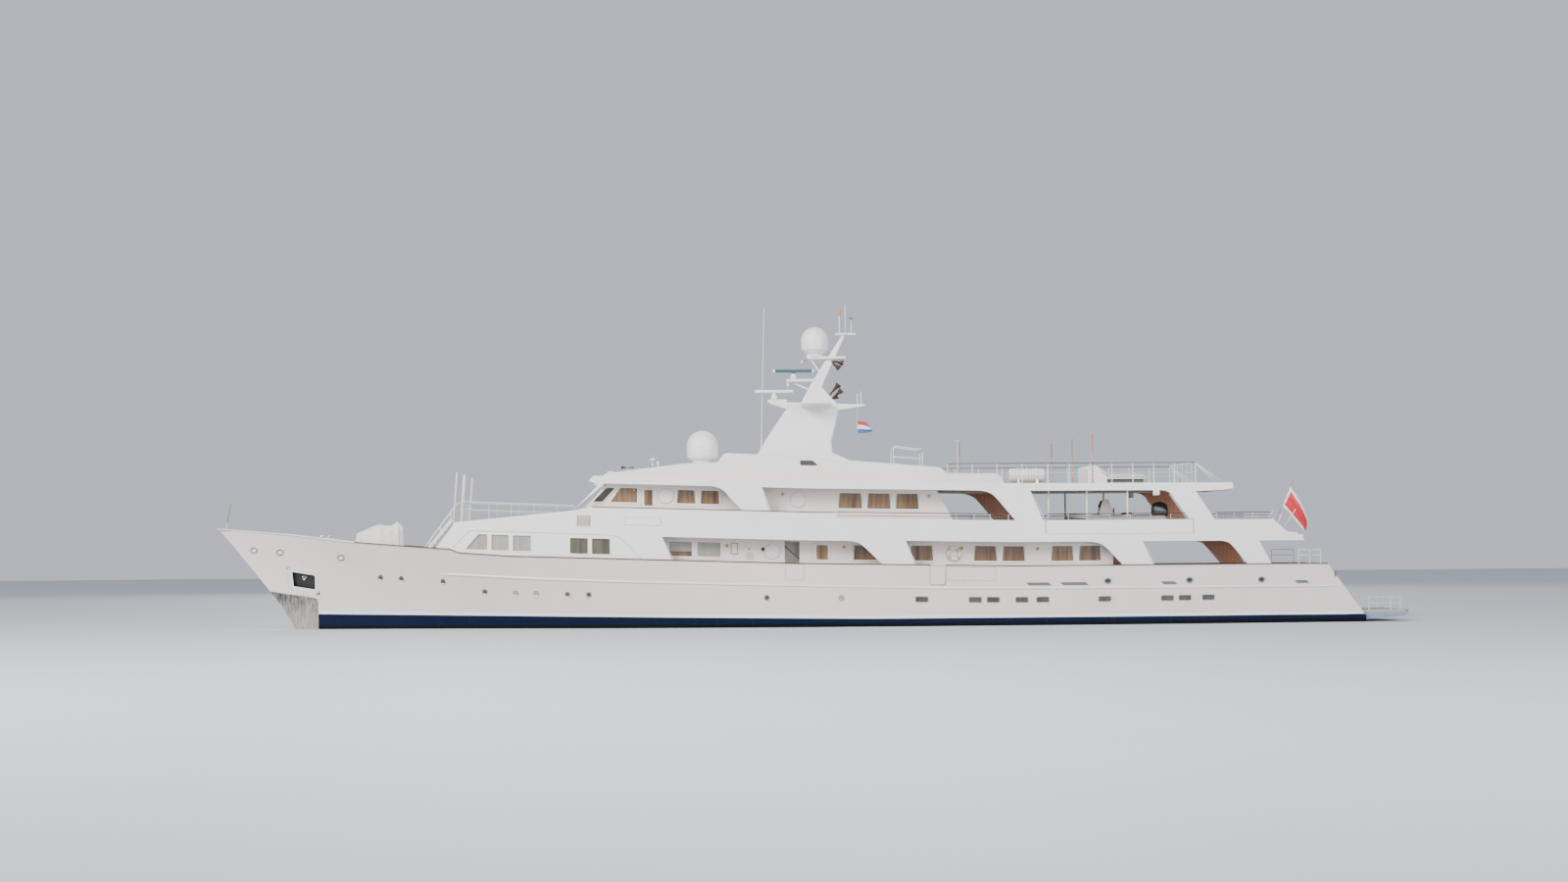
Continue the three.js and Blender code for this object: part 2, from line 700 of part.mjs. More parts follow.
// Bulwark across the aft end of the upper deck, with its rail
function makeAftBulwark() {
  const half = sideHalf(-12900) - DECK_INSET;
  const plate = box(-12850, -12800, -half, half, UPPER_DECK + GAP, UPPER_BULWARK_AFT);
  const rail = box(-12870, -12780, -half, half, UPPER_BULWARK_AFT - 1, UPPER_BULWARK_AFT + 24);
  return joined([plate, rail]);
}

place("aft_bulwark", makeAftBulwark(), WHITE);

// Front of the forward house, raked, and the bulwark of the terrace above it
function makeForwardBulkhead() {
  const half = (x) => sideHalf(x) - DECK_INSET;
  const lower = [[9322, CAP_TOP - 20], [8745, 2300], [8745, 2405], [8680, 2405], [8725, UPPER_DECK + GAP], [8725, UPPER_UNDER - 40], [9240, CAP_TOP - 20]];
  const raked = profile(lower, -half(9100), half(9100));
  const sides = plan(deckPlan(DECK_INSET, 8600, 9400), 0, TALL);
  return raked.intersect(sides);
}

place("forward_bulkhead", makeForwardBulkhead(), WHITE);

// Main and upper houses: hollow, with their windows and doorways cut through the walls
const MAIN_HOUSE = { foreX: 3440, aftX: -8600 };
const UPPER_HOUSE = { aftX: -3960, wingX: -4590 };
const WALL = 50;
// Side windows. Columns: fore edge, aft edge, sill, head
const MAIN_WINDOWS = [
  [3110, 2480, 1650, 2060],
  [2360, 1730, 1650, 2060],
  [-1740, -2370, 1650, 2060],
  [-3220, -3860, 1650, 2070],
  [-4910, -5540, 1660, 2080],
  [-5660, -6280, 1660, 2080],
  [-6950, -7560, 1660, 2080],
  [-7680, -8290, 1660, 2080],
];
const UPPER_WINDOWS = [
  [2890, 2380, 3035, 3415],
  [2270, 1750, 3035, 3415],
  [-1350, -2000, 3000, 3430],
  [-2110, -2750, 3000, 3430],
  [-2860, -3490, 3000, 3430],
];
const MAIN_DOORS = { side: { foreX: -690, aftX: -1160, head: 2100 }, companion: { foreX: 60, aftX: -330, head: 2120 } };
const UPPER_DOORS = { side: { foreX: 3820, aftX: 3430, head: 3440 } };
const AFT_DOOR = { half: 460, height: 1040 };
const DOOR_THICK = 30;
const SILL = 20;
const SIDE_GAP = 6;

function makeMainHouse() {
  const [fore, aft, top] = [MAIN_HOUSE.foreX, MAIN_HOUSE.aftX, UPPER_UNDER - GAP];
  const bottom = MAIN_DECK + GAP;
  const shell = box(aft, fore, -HOUSE_HALF, HOUSE_HALF, bottom, top);
  const inside = box(aft + WALL, fore - WALL, -HOUSE_HALF + WALL, HOUSE_HALF - WALL, 0, 4000);
  const windows = MAIN_WINDOWS.map(([x1, x0, sill, head]) => box(x0, x1, -WIDE, WIDE, sill, head));
  const { side, companion } = MAIN_DOORS;
  const doors = [
    box(side.aftX, side.foreX, -WIDE, WIDE, MAIN_DECK + SILL, side.head),
    box(companion.aftX, companion.foreX, -WIDE, WIDE, MAIN_DECK + SILL, companion.head),
    box(aft - 10, aft + WALL + 10, -AFT_DOOR.half, AFT_DOOR.half, MAIN_DECK + SILL, MAIN_DECK + AFT_DOOR.height),
    box(aft - 10, aft + WALL + 10, 700, 1500, 1650, 2040),
    box(aft - 10, aft + WALL + 10, -1500, -700, 1650, 2040),
  ];
  return cut(shell, [inside, ...windows, ...doors]);
}

function makeUpperHouse() {
  const bottom = UPPER_DECK + GAP;
  const top = SUN_UNDER - GAP;
  const rake = [[5330, bottom], [5250, 2900], [4700, top], [UPPER_HOUSE.aftX, top], [UPPER_HOUSE.wingX, bottom]];
  const hollow = [[5330 - WALL, 0], [5250 - WALL, 2880], [4700 - WALL, 4000], [UPPER_HOUSE.aftX + WALL, 4000], [UPPER_HOUSE.aftX + WALL, 0]];
  const shell = profile(rake, -HOUSE_HALF, HOUSE_HALF);
  const inside = profile(hollow, -HOUSE_HALF + WALL, HOUSE_HALF - WALL);
  const windows = UPPER_WINDOWS.map(([x1, x0, sill, head]) => box(x0, x1, -WIDE, WIDE, sill, head));
  const sidePane = profile([[4360, 3415], [3920, 3415], [3920, 3040], [4620, 3040]], -WIDE, WIDE);
  const { side } = UPPER_DOORS;
  const door = box(side.aftX, side.foreX, -WIDE, WIDE, UPPER_DECK + SILL, side.head);
  const { aftX } = UPPER_HOUSE;
  const aft = box(aftX - 10, aftX + 200, -AFT_DOOR.half, AFT_DOOR.half, UPPER_DECK + SILL, UPPER_DECK + AFT_DOOR.height);
  const behind = box(aftX - 1000, aftX, -HOUSE_HALF + WALL, HOUSE_HALF - WALL, 0, 5000);
  const panes = WINDSCREEN.map(([y0, y1]) => box(4700, 5400, y0, y1, 3030, 3400));
  return cut(shell, [inside, behind, ...windows, sidePane, door, aft, ...panes]);
}

const WINDSCREEN = [
  [-1840, -1330],
  [-1270, -760],
  [-700, -190],
  [190, 700],
  [760, 1270],
  [1330, 1840],
];

place("main_house", makeMainHouse(), WHITE);
place("upper_house", makeUpperHouse(), WHITE);

// Roof house on the sun deck: the wheelhouse roof, the step and the casing under the mast
const ROOF_HALF = 1760;
const ROOF_PROFILE = [
  [4720, SUN_DECK + GAP],
  [4790, 3770],
  [2590, 4115],
  [1790, 4165],
  [1610, 4410],
  [760, 4400],
  [-1670, 4290],
  [-4100, 4135],
  [-4250, 3980],
  [-5650, 3976],
  [-5780, SUN_DECK + GAP],
];

function makeRoofHouse() {
  const block = profile(ROOF_PROFILE, -ROOF_HALF, ROOF_HALF);
  const lean = section([[-ROOF_HALF, 3600], [ROOF_HALF, 3600], [ROOF_HALF - 260, 4500], [-ROOF_HALF + 260, 4500]], -6000, 5000);
  return block.intersect(lean);
}

place("roof_house", makeRoofHouse(), WHITE);

// Mast. Heights are above the water, so it doesn't take the sheer
const MAST_FOOT_Z = 4590;

// Poles on the top crosstree. Columns: x, top, radius
const MAST_POLES = [
  [-1530, 8330, 14],
  [-1690, 8620, 8],
  [-1850, 8200, 10],
];

function makeMast() {
  const ring = (z, x0, x1, half) => [[x1, -half, z], [x1, half, z], [x0, half, z], [x0, -half, z]];
  const base = loft([ring(MAST_FOOT_Z - 20, -1290, 690, 640), ring(4920, -1270, 520, 560), ring(5780, -1480, -60, 330), ring(5880, -1500, -120, 320)]);
  const tree = profile([[430, 6010], [-2190, 5900], [-2190, 5840], [-1480, 5760], [-60, 5800], [330, 5930]], -330, 330);
  const wings = section([[-1150, 5960], [-1150, 5910], [0, 5840], [1150, 5910], [1150, 5960]], -1250, -450);
  const pylon = loft([ring(5850, -1540, -420, 200), ring(6390, -1040, -700, 150), ring(7790, -1690, -1610, 70)]);
  const topTree = box(-1980, -1420, -45, 45, 7790, 7850);
  const topArm = box(-1720, -1620, -330, 330, 7790, 7830);
  const radarShelf = box(-900, -80, -150, 150, 6540, 6610);
  const lowerShelf = box(-100, 420, -150, 150, 5985, 6060);
  const domeShelf = box(-1690, -640, -190, 190, 7140, 7210);
  const whip = bar([620, 600, MAST_FOOT_Z - 10], [520, 600, 8490], 12, 6, 5);
  const lamps = MAST_POLES.map(([x, top, radius]) => bar([x, 0, 7800], [x, 0, top], radius, 6));
  return joined([base, tree, wings, pylon, topTree, topArm, radarShelf, lowerShelf, domeShelf, whip, ...lamps]);
}

function makeMastFoot() {
  const top = MAST_FOOT_Z - GAP;
  const foot = [[730, top], [-1340, top], [-1720, 4410], [-1720, 4300], [760, 4300]];
  return profile(foot, -700, 700);
}

const roofTop = sheered(makeRoofHouse());
const mastFoot = makeMastFoot();
place("mast", joined([makeMast(), mastFoot.translate([0, 0, GAP])]).subtract(roofTop.translate([0, 0, GAP])), WHITE, false);

// Domes: a short drum with a round top
function dome(radius, height, x, y, z) {
  const points = [[0, 0], [radius * 0.62, 0], [radius * 0.66, height * 0.12], [radius * 0.97, height * 0.2]];
  const arc = Array.from({ length: 7 }, (_, i) => {
    const angle = (i / 6) * (Math.PI / 2);
    return [radius * Math.cos(angle), height - radius + radius * Math.sin(angle)];
  });
  arc[6][0] = 0;
  return turned([...points, ...arc], x, y, z, 20);
}

const ROOF_DOME = { x: 2185, radius: 425, height: 900 };
const roofAt = (x) => reading([...ROOF_PROFILE].reverse(), 1, x) + sheer(x);
place("satellite_dome_roof", dome(ROOF_DOME.radius, ROOF_DOME.height, ROOF_DOME.x, 0, roofAt(ROOF_DOME.x - ROOF_DOME.radius * 0.62) + GAP), WHITE, false);
place("satellite_dome_mast", dome(370, 800, -860, 0, 7210 + GAP), WHITE, false);

// Radar scanners on their gearboxes. Columns: name, x, shelf height, length
const RADARS = [
  ["radar_lower", 245, 6060, 1040],
  ["radar_upper", -285, 6610, 1130],
];
for (const [name, x, shelf, length] of RADARS) {
  const gearbox = turned([[0, 0], [75, 0], [90, 60], [60, 150], [0, 150]], x, 0, shelf + GAP, 12);
  place(`${name}_gearbox`, gearbox, WHITE, false);
  const scanner = box(x - length / 2, x + length / 2, -45, 45, shelf + 185, shelf + 265);
  const hub = bar([x, 0, shelf + 150 + 2 * GAP], [x, 0, shelf + 200], 40, 12);
  place(`${name}_scanner`, joined([scanner, hub]), WHITE, false);
}

// Doors. Each leaf stands in its doorway with running clearance, on two barrels on the wall's outer face
const BARREL = 9;
const BARREL_SEAT = 9.12;
const BARREL_SIDES = 24;
const HINGE_HEIGHTS = [150, 900];

function sideDoor(frame, floor) {
  const [x0, x1] = [frame.aftX + SIDE_GAP, frame.foreX - SIDE_GAP];
  const leaf = box(x0, x1, HOUSE_HALF - DOOR_THICK, HOUSE_HALF, floor + SILL + SIDE_GAP, frame.head - SIDE_GAP);
  const pane = box(x0 + 80, x1 - 80, 0, WIDE, floor + 640, frame.head - 60);
  const pin = [x1 + SIDE_GAP / 2, HOUSE_HALF + BARREL_SEAT];
  const hinges = HINGE_HEIGHTS.flatMap((height) => {
    const [low, high] = [floor + height, floor + height + 50];
    const tab = box(pin[0] - 40, pin[0], HOUSE_HALF - 2, pin[1], low, high);
    const beside = box(x1, pin[0] + 1, 0, HOUSE_HALF + GAP, low, high);
    return [bar([...pin, low], [...pin, high], BARREL, BARREL_SIDES), tab.subtract(beside)];
  });
  return joined([leaf.subtract(pane), ...hinges]);
}

function aftDoor(faceX, floor, side) {
  const [y0, y1] = [SIDE_GAP / 2, AFT_DOOR.half - SIDE_GAP];
  const leaf = box(faceX, faceX + DOOR_THICK, y0, y1, floor + SILL + SIDE_GAP, floor + AFT_DOOR.height - SIDE_GAP);
  const pane = box(faceX - 50, faceX + 90, y0 + 70, y1 - 70, floor + 180, floor + AFT_DOOR.height - 90);
  const pin = [faceX - BARREL_SEAT, y1 + SIDE_GAP / 2];
  const hinges = HINGE_HEIGHTS.flatMap((height) => {
    const [low, high] = [floor + height, floor + height + 50];
    const tab = box(pin[0], faceX + 2, pin[1] - 40, pin[1], low, high);
    const beside = box(faceX - GAP, faceX + 9, y1, pin[1] + 1, low, high);
    return [bar([...pin, low], [...pin, high], BARREL, BARREL_SIDES), tab.subtract(beside)];
  });
  const framed = joined([leaf.subtract(pane), ...hinges]);
  return side > 0 ? framed : mirrored(framed);
}

const mainDoor = sideDoor(MAIN_DOORS.side, MAIN_DECK);
const bridgeDoor = sideDoor(UPPER_DOORS.side, UPPER_DECK);
for (const [name, side] of [["port", 1], ["starboard", -1]]) {
  place(`side_door_${name}`, side > 0 ? mainDoor : mirrored(mainDoor), WHITE);
  place(`bridge_door_${name}`, side > 0 ? bridgeDoor : mirrored(bridgeDoor), WHITE);
  place(`saloon_door_${name}`, aftDoor(MAIN_HOUSE.aftX, MAIN_DECK, side), VARNISH);
  place(`upper_door_${name}`, aftDoor(UPPER_HOUSE.aftX, UPPER_DECK, side), VARNISH);
}

// Boarding gates in the bulwark: the hull's own form between the gate's edges, with its piece of cap rail
function makeGate() {
  const [x0, x1] = [GATE.aftX + GATE.swing, GATE.foreX - GATE.clearance];
  const floor = MAIN_DECK + sheer(x1);
  const blank = box(x0, x1, 2000, WIDE, floor + GATE.sill + 8, floor + TALL);
  const wall = cut(hullShell(), [bulwarkWell(WELL_AFT_X, FULL_BEAM_AFT_X, () => MAIN_DECK, BULWARK), aboveCap(CAP_THICK - 1)]);
  const pinX = GATE.foreX - GATE.clearance / 2;
  const [low, high] = [CAP_TOP + sheer(pinX) - 90, CAP_TOP + sheer(pinX) - 50];
  const inside = hullHalf(pinX, low) - BULWARK;
  const pinAt = (z) => [pinX, hullHalf(pinX, z) - BULWARK - BARREL_SEAT - GAP, z];
  const barrel = bar(pinAt(low), pinAt(high), BARREL, BARREL_SIDES);
  const tab = box(pinX - 40, pinX, inside - BARREL_SEAT - GAP, inside + 25, low, high);
  return joined([wall.intersect(blank), capRail(x0, x1), barrel, tab.subtract(box(pinX - 4, pinX + 9, inside - 5, WIDE, 0, TALL))]);
}

// The boat deck's fold-down bulwarks, hung on barrels outside the straight length of plating below them
const FLAP_GAP = 20;

function makeBoatFlap() {
  const { foreX, aftX, bottom } = BOAT_FLAP;
  const leaf = plan(
    bandPlan(SCREEN_INSET, SCREEN_INSET + PLATE, aftX + FLAP_GAP, foreX - FLAP_GAP),
    bottom + SIDE_GAP,
    UPPER_BULWARK_AFT,
  );
  const face = (x) => sideHalf(x) - SCREEN_INSET;
  const hinges = [-8980, -8520].flatMap((x) => {
    const [y0, y1] = [face(x - 60), face(x + 60)];
    const barrel = bar([x - 60, y0 + BARREL + GAP, bottom], [x + 60, y1 + BARREL + GAP, bottom], BARREL, BARREL_SIDES);
    const tab = plan([[x - 60, y0 - 5], [x + 60, y1 - 5], [x + 60, y1 + BARREL], [x - 60, y0 + BARREL]], bottom + 4, bottom + 30);
    return [barrel, tab];
  });
  return joined([leaf, ...hinges]);
}

const gate = makeGate();
const flap = makeBoatFlap();
for (const [name, side] of [["port", 1], ["starboard", -1]]) {
  place(`boarding_gate_${name}`, side > 0 ? gate : mirrored(gate), HULL_GREY, false);
  place(`boat_flap_${name}`, side > 0 ? flap : mirrored(flap), WHITE);
}

// Propellers, shafts with brackets, rudders and stabiliser fins
function makePropeller(hand) {
  const hub = bar([PROP.x - 130, 0, 0], [PROP.x + 110, 0, 0], 70, 12, 88);
  const cone = bar([PROP.x - 230, 0, 0], [PROP.x - 129, 0, 0], 20, 12, 70);
  const blades = [0, 1, 2, 3].map((k) => {
    const rings = [[60, 95, 62], [200, 165, 42], [360, 190, 27], [470, 120, 20], [PROP.radius, 40, 16]].map(([r, chord, pitch]) => {
      const a = (pitch * Math.PI) / 180;
      const thick = 14 - r / 60;
      const corners = [[-chord, -thick * 0.3], [0, -thick], [chord, -thick * 0.3], [chord, thick * 0.3], [0, thick], [-chord, thick * 0.3]];
      return corners.map(([c, t]) => [
        PROP.x + c * Math.sin(a) + t * Math.cos(a),
        (c * Math.cos(a) - t * Math.sin(a)) * hand,
        r,
      ]);
    });
    const blade = loft(rings);
    return blade.rotate([k * 90, 0, 0]);
  });
  return joined([hub, cone, ...blades]).translate([0, hand * PROP.y, PROP.z]);
}

function makeShaft() {
  const fore = [PROP.x + 110 + GAP, PROP.y, PROP.z];
  const shaft = bar(fore, [-8700, PROP.y, -900], 48, 12);
  const barrel = bar([PROP.x + 130, PROP.y, PROP.z], [PROP.x + 420, PROP.y, PROP.z + 20], 85, 12);
  const struts = [620, -560].map((reach) => bar([PROP.x + 270, PROP.y, PROP.z], [PROP.x + 330, PROP.y + reach, -200], 38, 8));
  const beyond = box(PROP.x - 500, PROP.x + 110 + GAP, 0, 3000, -2000, 0);
  return joined([shaft, barrel, ...struts]).subtract(beyond);
}

const wetHull = hullShell().translate([0, 0, -GAP]);
for (const [name, side] of [["port", 1], ["starboard", -1]]) {
  place(`propeller_${name}`, makePropeller(side), BRONZE, false);
  const whole = side > 0 ? makeShaft() : mirrored(makeShaft());
  place(`shaft_${name}`, largest(whole.subtract(wetHull)), STEEL, false);
  const foil = (x, half) => [[x + 210, 0], [x + 120, half], [x - 120, half * 0.8], [x - 480, 6], [x - 480, -6], [x - 120, -half * 0.8], [x + 120, -half]];
  const blade = plan(foil(RUDDER.x, 52), RUDDER.bottom, RUDDER.top).translate([0, RUDDER.y, 0]);
  const stock = bar([RUDDER.x, RUDDER.y, RUDDER.top - 10], [RUDDER.x, RUDDER.y, RUDDER.top + 40 - GAP], 48, 12);
  const rudder = joined([blade, stock]);
  place(`rudder_${name}`, side > 0 ? rudder : mirrored(rudder), HULL_GREY, false);
  const fin = makeFin();
  place(`stabiliser_fin_${name}`, side > 0 ? fin : mirrored(fin), HULL_GREY, false);
}

function makeFin() {
  const root = finRoot();
  const stock = bar(along(root, finOut, 25 + GAP), along(root, finOut, 100), 55, 12);
  const foil = [[230, 0], [140, 42], [-60, 36], [-380, 5], [-380, -5], [-60, -36], [140, -42]];
  const blade = solid(extruded(foil, 560));
  const tilt = new THREE.Matrix4().makeBasis(
    new THREE.Vector3(1, 0, 0),
    new THREE.Vector3(0, Math.sin(FIN.droop), Math.cos(FIN.droop)).negate(),
    new THREE.Vector3(...finOut),
  );
  const at = along(root, finOut, 90);
  tilt.setPosition(...at);
  return joined([stock, blade.transform(tilt.elements)]);
}

// Rails: posts with bars between them, along a path of [x, y, foot, top] points. Each of the heights is a bar
const POST = 9;

// One bar with a diamond section, mitred at the corners of its path
function mitredBar(path, radius) {
  const flat = (from, to) => new THREE.Vector2(to[0] - from[0], to[1] - from[1]).normalize();
  const rings = path.map((point, i) => {
    const before = i > 0 ? flat(path[i - 1], point) : flat(point, path[i + 1]);
    const after = i + 1 < path.length ? flat(point, path[i + 1]) : before;
    const across = before.clone().add(after).normalize();
    const reach = radius / Math.max(across.dot(after), 0.5);
    const [x, y, z] = point;
    const [nx, ny] = [-across.y * reach, across.x * reach];
    return [[x + nx, y + ny, z], [x, y, z + radius], [x - nx, y - ny, z], [x, y, z - radius]];
  });
  return loft(rings);
}

function railing(path, heights, posts, radius = POST) {
  const bars = heights.map((height, k) => {
    const line = path.map(([x, y, , top]) => [x, y, top - height]);
    return mitredBar(line, k === 0 ? radius * 1.3 : radius * 0.8);
  });
  for (const [x, y, foot, top] of posts) bars.push(bar([x, y, foot], [x, y, top], radius));
  return joined(bars);
}

const SUN_RAIL = { foreX: -4200, aftX: -10800, top: 4240, inset: 160, step: 1100, footX: -11540 };

function makeSunDeckRail() {
  const { foreX, aftX, top, inset, step } = SUN_RAIL;
  const foot = SUN_DECK + GAP;
  const port = range(foreX, aftX, step).map((x) => [x, sideHalf(x) - inset, foot, top]);
  const starboard = port.map(([x, y, a, b]) => [x, -y, a, b]).reverse();
  const across = [-750, 750].map((y) => [aftX, y, foot, top]);
  const both = [...port, ...starboard, ...across];
  const ends = [1, -1].map((side) => {
    const [high, low] = [sideHalf(aftX) - inset, sideHalf(SUN_RAIL.footX) - inset];
    return bar([aftX, side * high, top - 8], [SUN_RAIL.footX, side * low, foot + 8], POST);
  });
  const awning = AWNING_POSTS.map(([x, side]) => {
    const y = side * (sideHalf(x) - inset);
    return bar([x, y, foot], [x, y, AWNING_TOP], 16, 6);
  });
  return joined([railing([...port, ...starboard], [0, 260], both), ...ends, ...awning]);
}

// Awning posts that clamp to the sun deck's rail. Columns: x, side
const AWNING_TOP = 5050;
const AWNING_POSTS = [
  [-4970, -1],
  [-7530, -1],
  [-8030, 1],
  [-8100, -1],
];
place("sun_deck_rail", makeSunDeckRail(), STEEL);

const UPPER_RAIL_TOP = 2905;

function upperRail(x0, x1) {
  const foot = UPPER_BULWARK_AFT + GAP;
  const at = (x) => [x, sideHalf(x) - SCREEN_INSET - PLATE / 2, foot, UPPER_RAIL_TOP];
  const path = frames(x1, x0).map(at);
  return railing(path, [0, 85], range(x0, x1, 900).map(at));
}

const railPort = upperRail(-1290, -5790);
place("upper_rail_port", railPort, VARNISH);
place("upper_rail_starboard", mirrored(railPort), VARNISH);

// Rail and awning poles round the terrace in front of the wheelhouse
const TERRACE = { foreX: 8560, aftX: 5560, inset: 140, top: [2955, 2915] };

function makeTerraceRail() {
  const { foreX, aftX, inset, top } = TERRACE;
  const rise = (x) => top[1] + ((top[0] - top[1]) * (x - aftX)) / (foreX - aftX);
  const at = (x) => [x, sideHalf(x) - inset, UPPER_DECK + GAP, rise(x)];
  const port = [aftX, 7000, foreX].map(at);
  const starboard = port.map(([x, y, a, b]) => [x, -y, a, b]).reverse();
  const posts = range(foreX, aftX, 1000).map(at);
  const across = [-500, 500].map((y) => [foreX, y, UPPER_DECK + GAP, rise(foreX)]);
  const poles = [1, -1].map((side) => {
    const y = side * (sideHalf(foreX) - inset);
    return bar([foreX + 1, y, rise(foreX) - 20], [foreX - 70, y, 3640], 14, 6);
  });
  const both = [...posts, ...posts.map(([x, y, a, b]) => [x, -y, a, b]), ...across];
  return joined([railing([...port, ...starboard], [0, 200], both), ...poles]);
}

place("terrace_rail", makeTerraceRail(), STEEL);

// Ladder from the foredeck up the raked front to the terrace
function makeForwardLadder() {
  const [foot, head] = [[9720, capTop(9720) - FOREDECK_BELOW_CAP + 10.6], [8830, 2470 + sheer(8830)]];
  const parts = [];
  for (const y of [900, 1180]) {
    parts.push(bar([foot[0], y, foot[1]], [head[0], y, head[1]], 18));
    parts.push(bar([foot[0] - 60, y, foot[1] + 40], [foot[0] - 60, y, foot[1] + 430], 9));
    parts.push(bar([foot[0] - 60, y, foot[1] + 430], [head[0] - 130, y, head[1] + 400], 9));
    parts.push(bar([head[0] - 20, y, head[1] - 10], [head[0] - 130, y, head[1] + 400], 9));
  }
  for (const share of range(0.15, 0.95, 0.2)) {
    const x = foot[0] + (head[0] - foot[0]) * share;
    const z = foot[1] + (head[1] - foot[1]) * share;
    parts.push(box(x - 45, x + 45, 895, 1185, z - 8, z + 8));
  }
  return joined(parts);
}

place("forward_ladder", makeForwardLadder(), STEEL, false);

// Swim platform with its handrail, on the foot of the transom
const PLATFORM = { foreX: -15150, aftX: -16560, top: 298, half: 1450 };

function makePlatform() {
  const { foreX, aftX, top, half } = PLATFORM;
  const deck = profile([[foreX, top], [aftX, top], [aftX, top - 75], [-16420, top - 160], [-15800, 40], [foreX, 30]], -half, half);
  const posts = [[-16080, 660], [-16340, 665]].map(([x, z]) => bar([x, half - 60, top - 20], [x, half - 60, z], 9));
  const wires = [480, 640].map((z) => bar([-16080, half - 60, z], [-16340, half - 60, z], 6));
  return joined([deck, ...posts, ...wires]);
}

const platform = makePlatform().subtract(wetHull.translate([-GAP, 0, GAP]));
place("swim_platform", platform, PLATFORM_GREY, false);

// Foredeck gear: the covered boat, the windlass bed and the hatch

function makeCover() {
  // Columns: x, height above the cap rail at its top, half-width
  const humps = [[11500, 60, 120], [11380, 170, 260], [10850, 430, 330], [10560, 470, 320], [10380, 590, 300], [10220, 480, 290], [10150, 300, 240]];
  const rings = humps.map(([x, rise, half]) => {
    const [floor, top] = [foreFloor(x) + GAP, capTop(x) + rise - 20];
    const middle = floor + (top - floor) * 0.5;
    const port = [[x, half, floor], [x, half * 1.04, middle], [x, half * 0.62, top - 60]];
    return [...port, [x, 0, top], ...port.map(([px, py, pz]) => [px, -py, pz]).reverse()];
  });
  return loft(rings);
}

place("foredeck_cover", makeCover(), WHITE, false);

function makeWindlass() {
  const x = 12750;
  const floor = foreFloor(x + 260);
  const bedEnds = [x - 260, x + 260];
  const foot = bedEnds.map((end) => [end, foreFloor(end) + GAP]);
  const bed = profile([...foot, [x + 260, floor + 60], [x - 260, floor + 60]], -330, 330);
  const drums = [1, -1].map((side) => turned([[0, 0], [120, 0], [120, 50], [70, 90], [70, 150], [105, 190], [105, 220], [0, 220]], x, side * 190, floor + 60, 14));
  return joined([bed, ...drums]);
}

place("windlass", makeWindlass(), STEEL, false);

const HATCH = { foreX: 13850, aftX: 13450, half: 180, thick: 40 };

function makeHatch() {
  const { foreX, aftX, half, thick } = HATCH;
  const lid = [[foreX, SIDE_GAP], [foreX, thick], [aftX, thick], [aftX, SIDE_GAP]].map(([x, rise]) => [x, foreFloor(x) + rise]);
  const pin = [foreX + 10, foreFloor(foreX + 10) + BARREL + 1];
  const hinges = [-110, 110].flatMap((y) => {
    const tab = profile([[pin[0], pin[1]], [pin[0], pin[1] + 7], [foreX - 5, pin[1] + 7], [foreX - 5, pin[1]]], y - 25, y + 25);
    return [bar([pin[0], y - 25, pin[1]], [pin[0], y + 25, pin[1]], BARREL, BARREL_SIDES), tab];
  });
  return joined([profile(lid, -half, half), ...hinges]);
}

place("foredeck_hatch", makeHatch(), WHITE, false);

// Stowed starboard anchor in its pocket. Its points lie in a plane along the pocket's floor
function makeAnchor() {
  const at = (x, z, out) => [x, -pocketFloor(x, z) - out, z];
  const seat = 36.2;
  const shank = bar(at(12830, 1400, seat), at(12830, 1180, seat), 22, 8);
  const crown = bar(at(12690, 1168, seat), at(12970, 1200, seat), 34, 8);
  const flukes = [12707, 12953].map((x) => bar(at(x, 1172 + (x - 12690) * 0.11, seat), at(x, 1372, seat + 22), 26, 6, 8));
  return joined([shank, crown, ...flukes]);
}

place("anchor_starboard", makeAnchor(), STEEL, false);

// Tender on the boat deck: tubes, floor, console and outboard
const TENDER = { y: 1180, bow: -7420, stern: -9980, half: 400, tube: 125, floor: UPPER_DECK };

function makeTender() {
  const { y, bow, stern, half, tube, floor } = TENDER;
  const path = [[stern, half], [bow + -700, half], [bow - 250, half * 0.6], [bow - 125, 0], [bow - 250, -half * 0.6], [bow - 700, -half], [stern, -half]];
  const bars = [];
  for (let i = 0; i + 1 < path.length; i += 1) {
    const rise = (k) => (k === 2 || k === 3 || k === 4 ? 60 : 0);
    const at = (k) => [path[k][0], y + path[k][1], floor + 400 + rise(k)];
    bars.push(bar(at(i), at(i + 1), tube, 8));
  }
  const hull = loft([[stern, 1], [bow - 700, 1], [bow - 260, 0.35]].map(([x, share]) => {
    const w = half * share;
    return [[x, y - w, floor + 380], [x, y, floor + 90 + (1 - share) * 200], [x, y + w, floor + 380]];
  }));
  const console = box(-8650, -8340, y - 150, y + 150, floor + 340, 3300);
  const cowl = box(-10190, -9720, y - 130, y + 130, floor + 470, 3220);
  const transom = box(stern - 10, stern + 60, y - half, y + half, floor + 180, floor + 480);
  const chocks = [-8100, -9400].map((x) => box(x - 60, x + 60, y - 260, y + 260, floor + GAP, floor + 330));
  return joined([...bars, hull, console, transom, cowl, ...chocks]);
}

place("tender", makeTender(), RUBBER_GREY);

// Sun deck furniture: the liferaft canister in its cradle and the sun bed
function makeLiferaft() {
  const [y, z] = [1850, SUN_DECK + 225];
  const shell = bar([-6840, y, z], [-5870, y, z], 190, 14);
  const cradle = [-6600, -6110].map((x) => box(x - 30, x + 30, y - 150, y + 150, SUN_DECK + GAP, z - 60));
  return joined([shell, ...cradle]);
}

place("liferaft", makeLiferaft(), WHITE);

const bedProfile = [[-8040, SUN_DECK + GAP], [-8040, 4175], [-8280, 4200], [-8560, 3966], [-9550, 3960], [-9610, 3880], [-9610, SUN_DECK + GAP]];
place("sun_bed", profile(bedProfile, -700, 1300), WHITE);

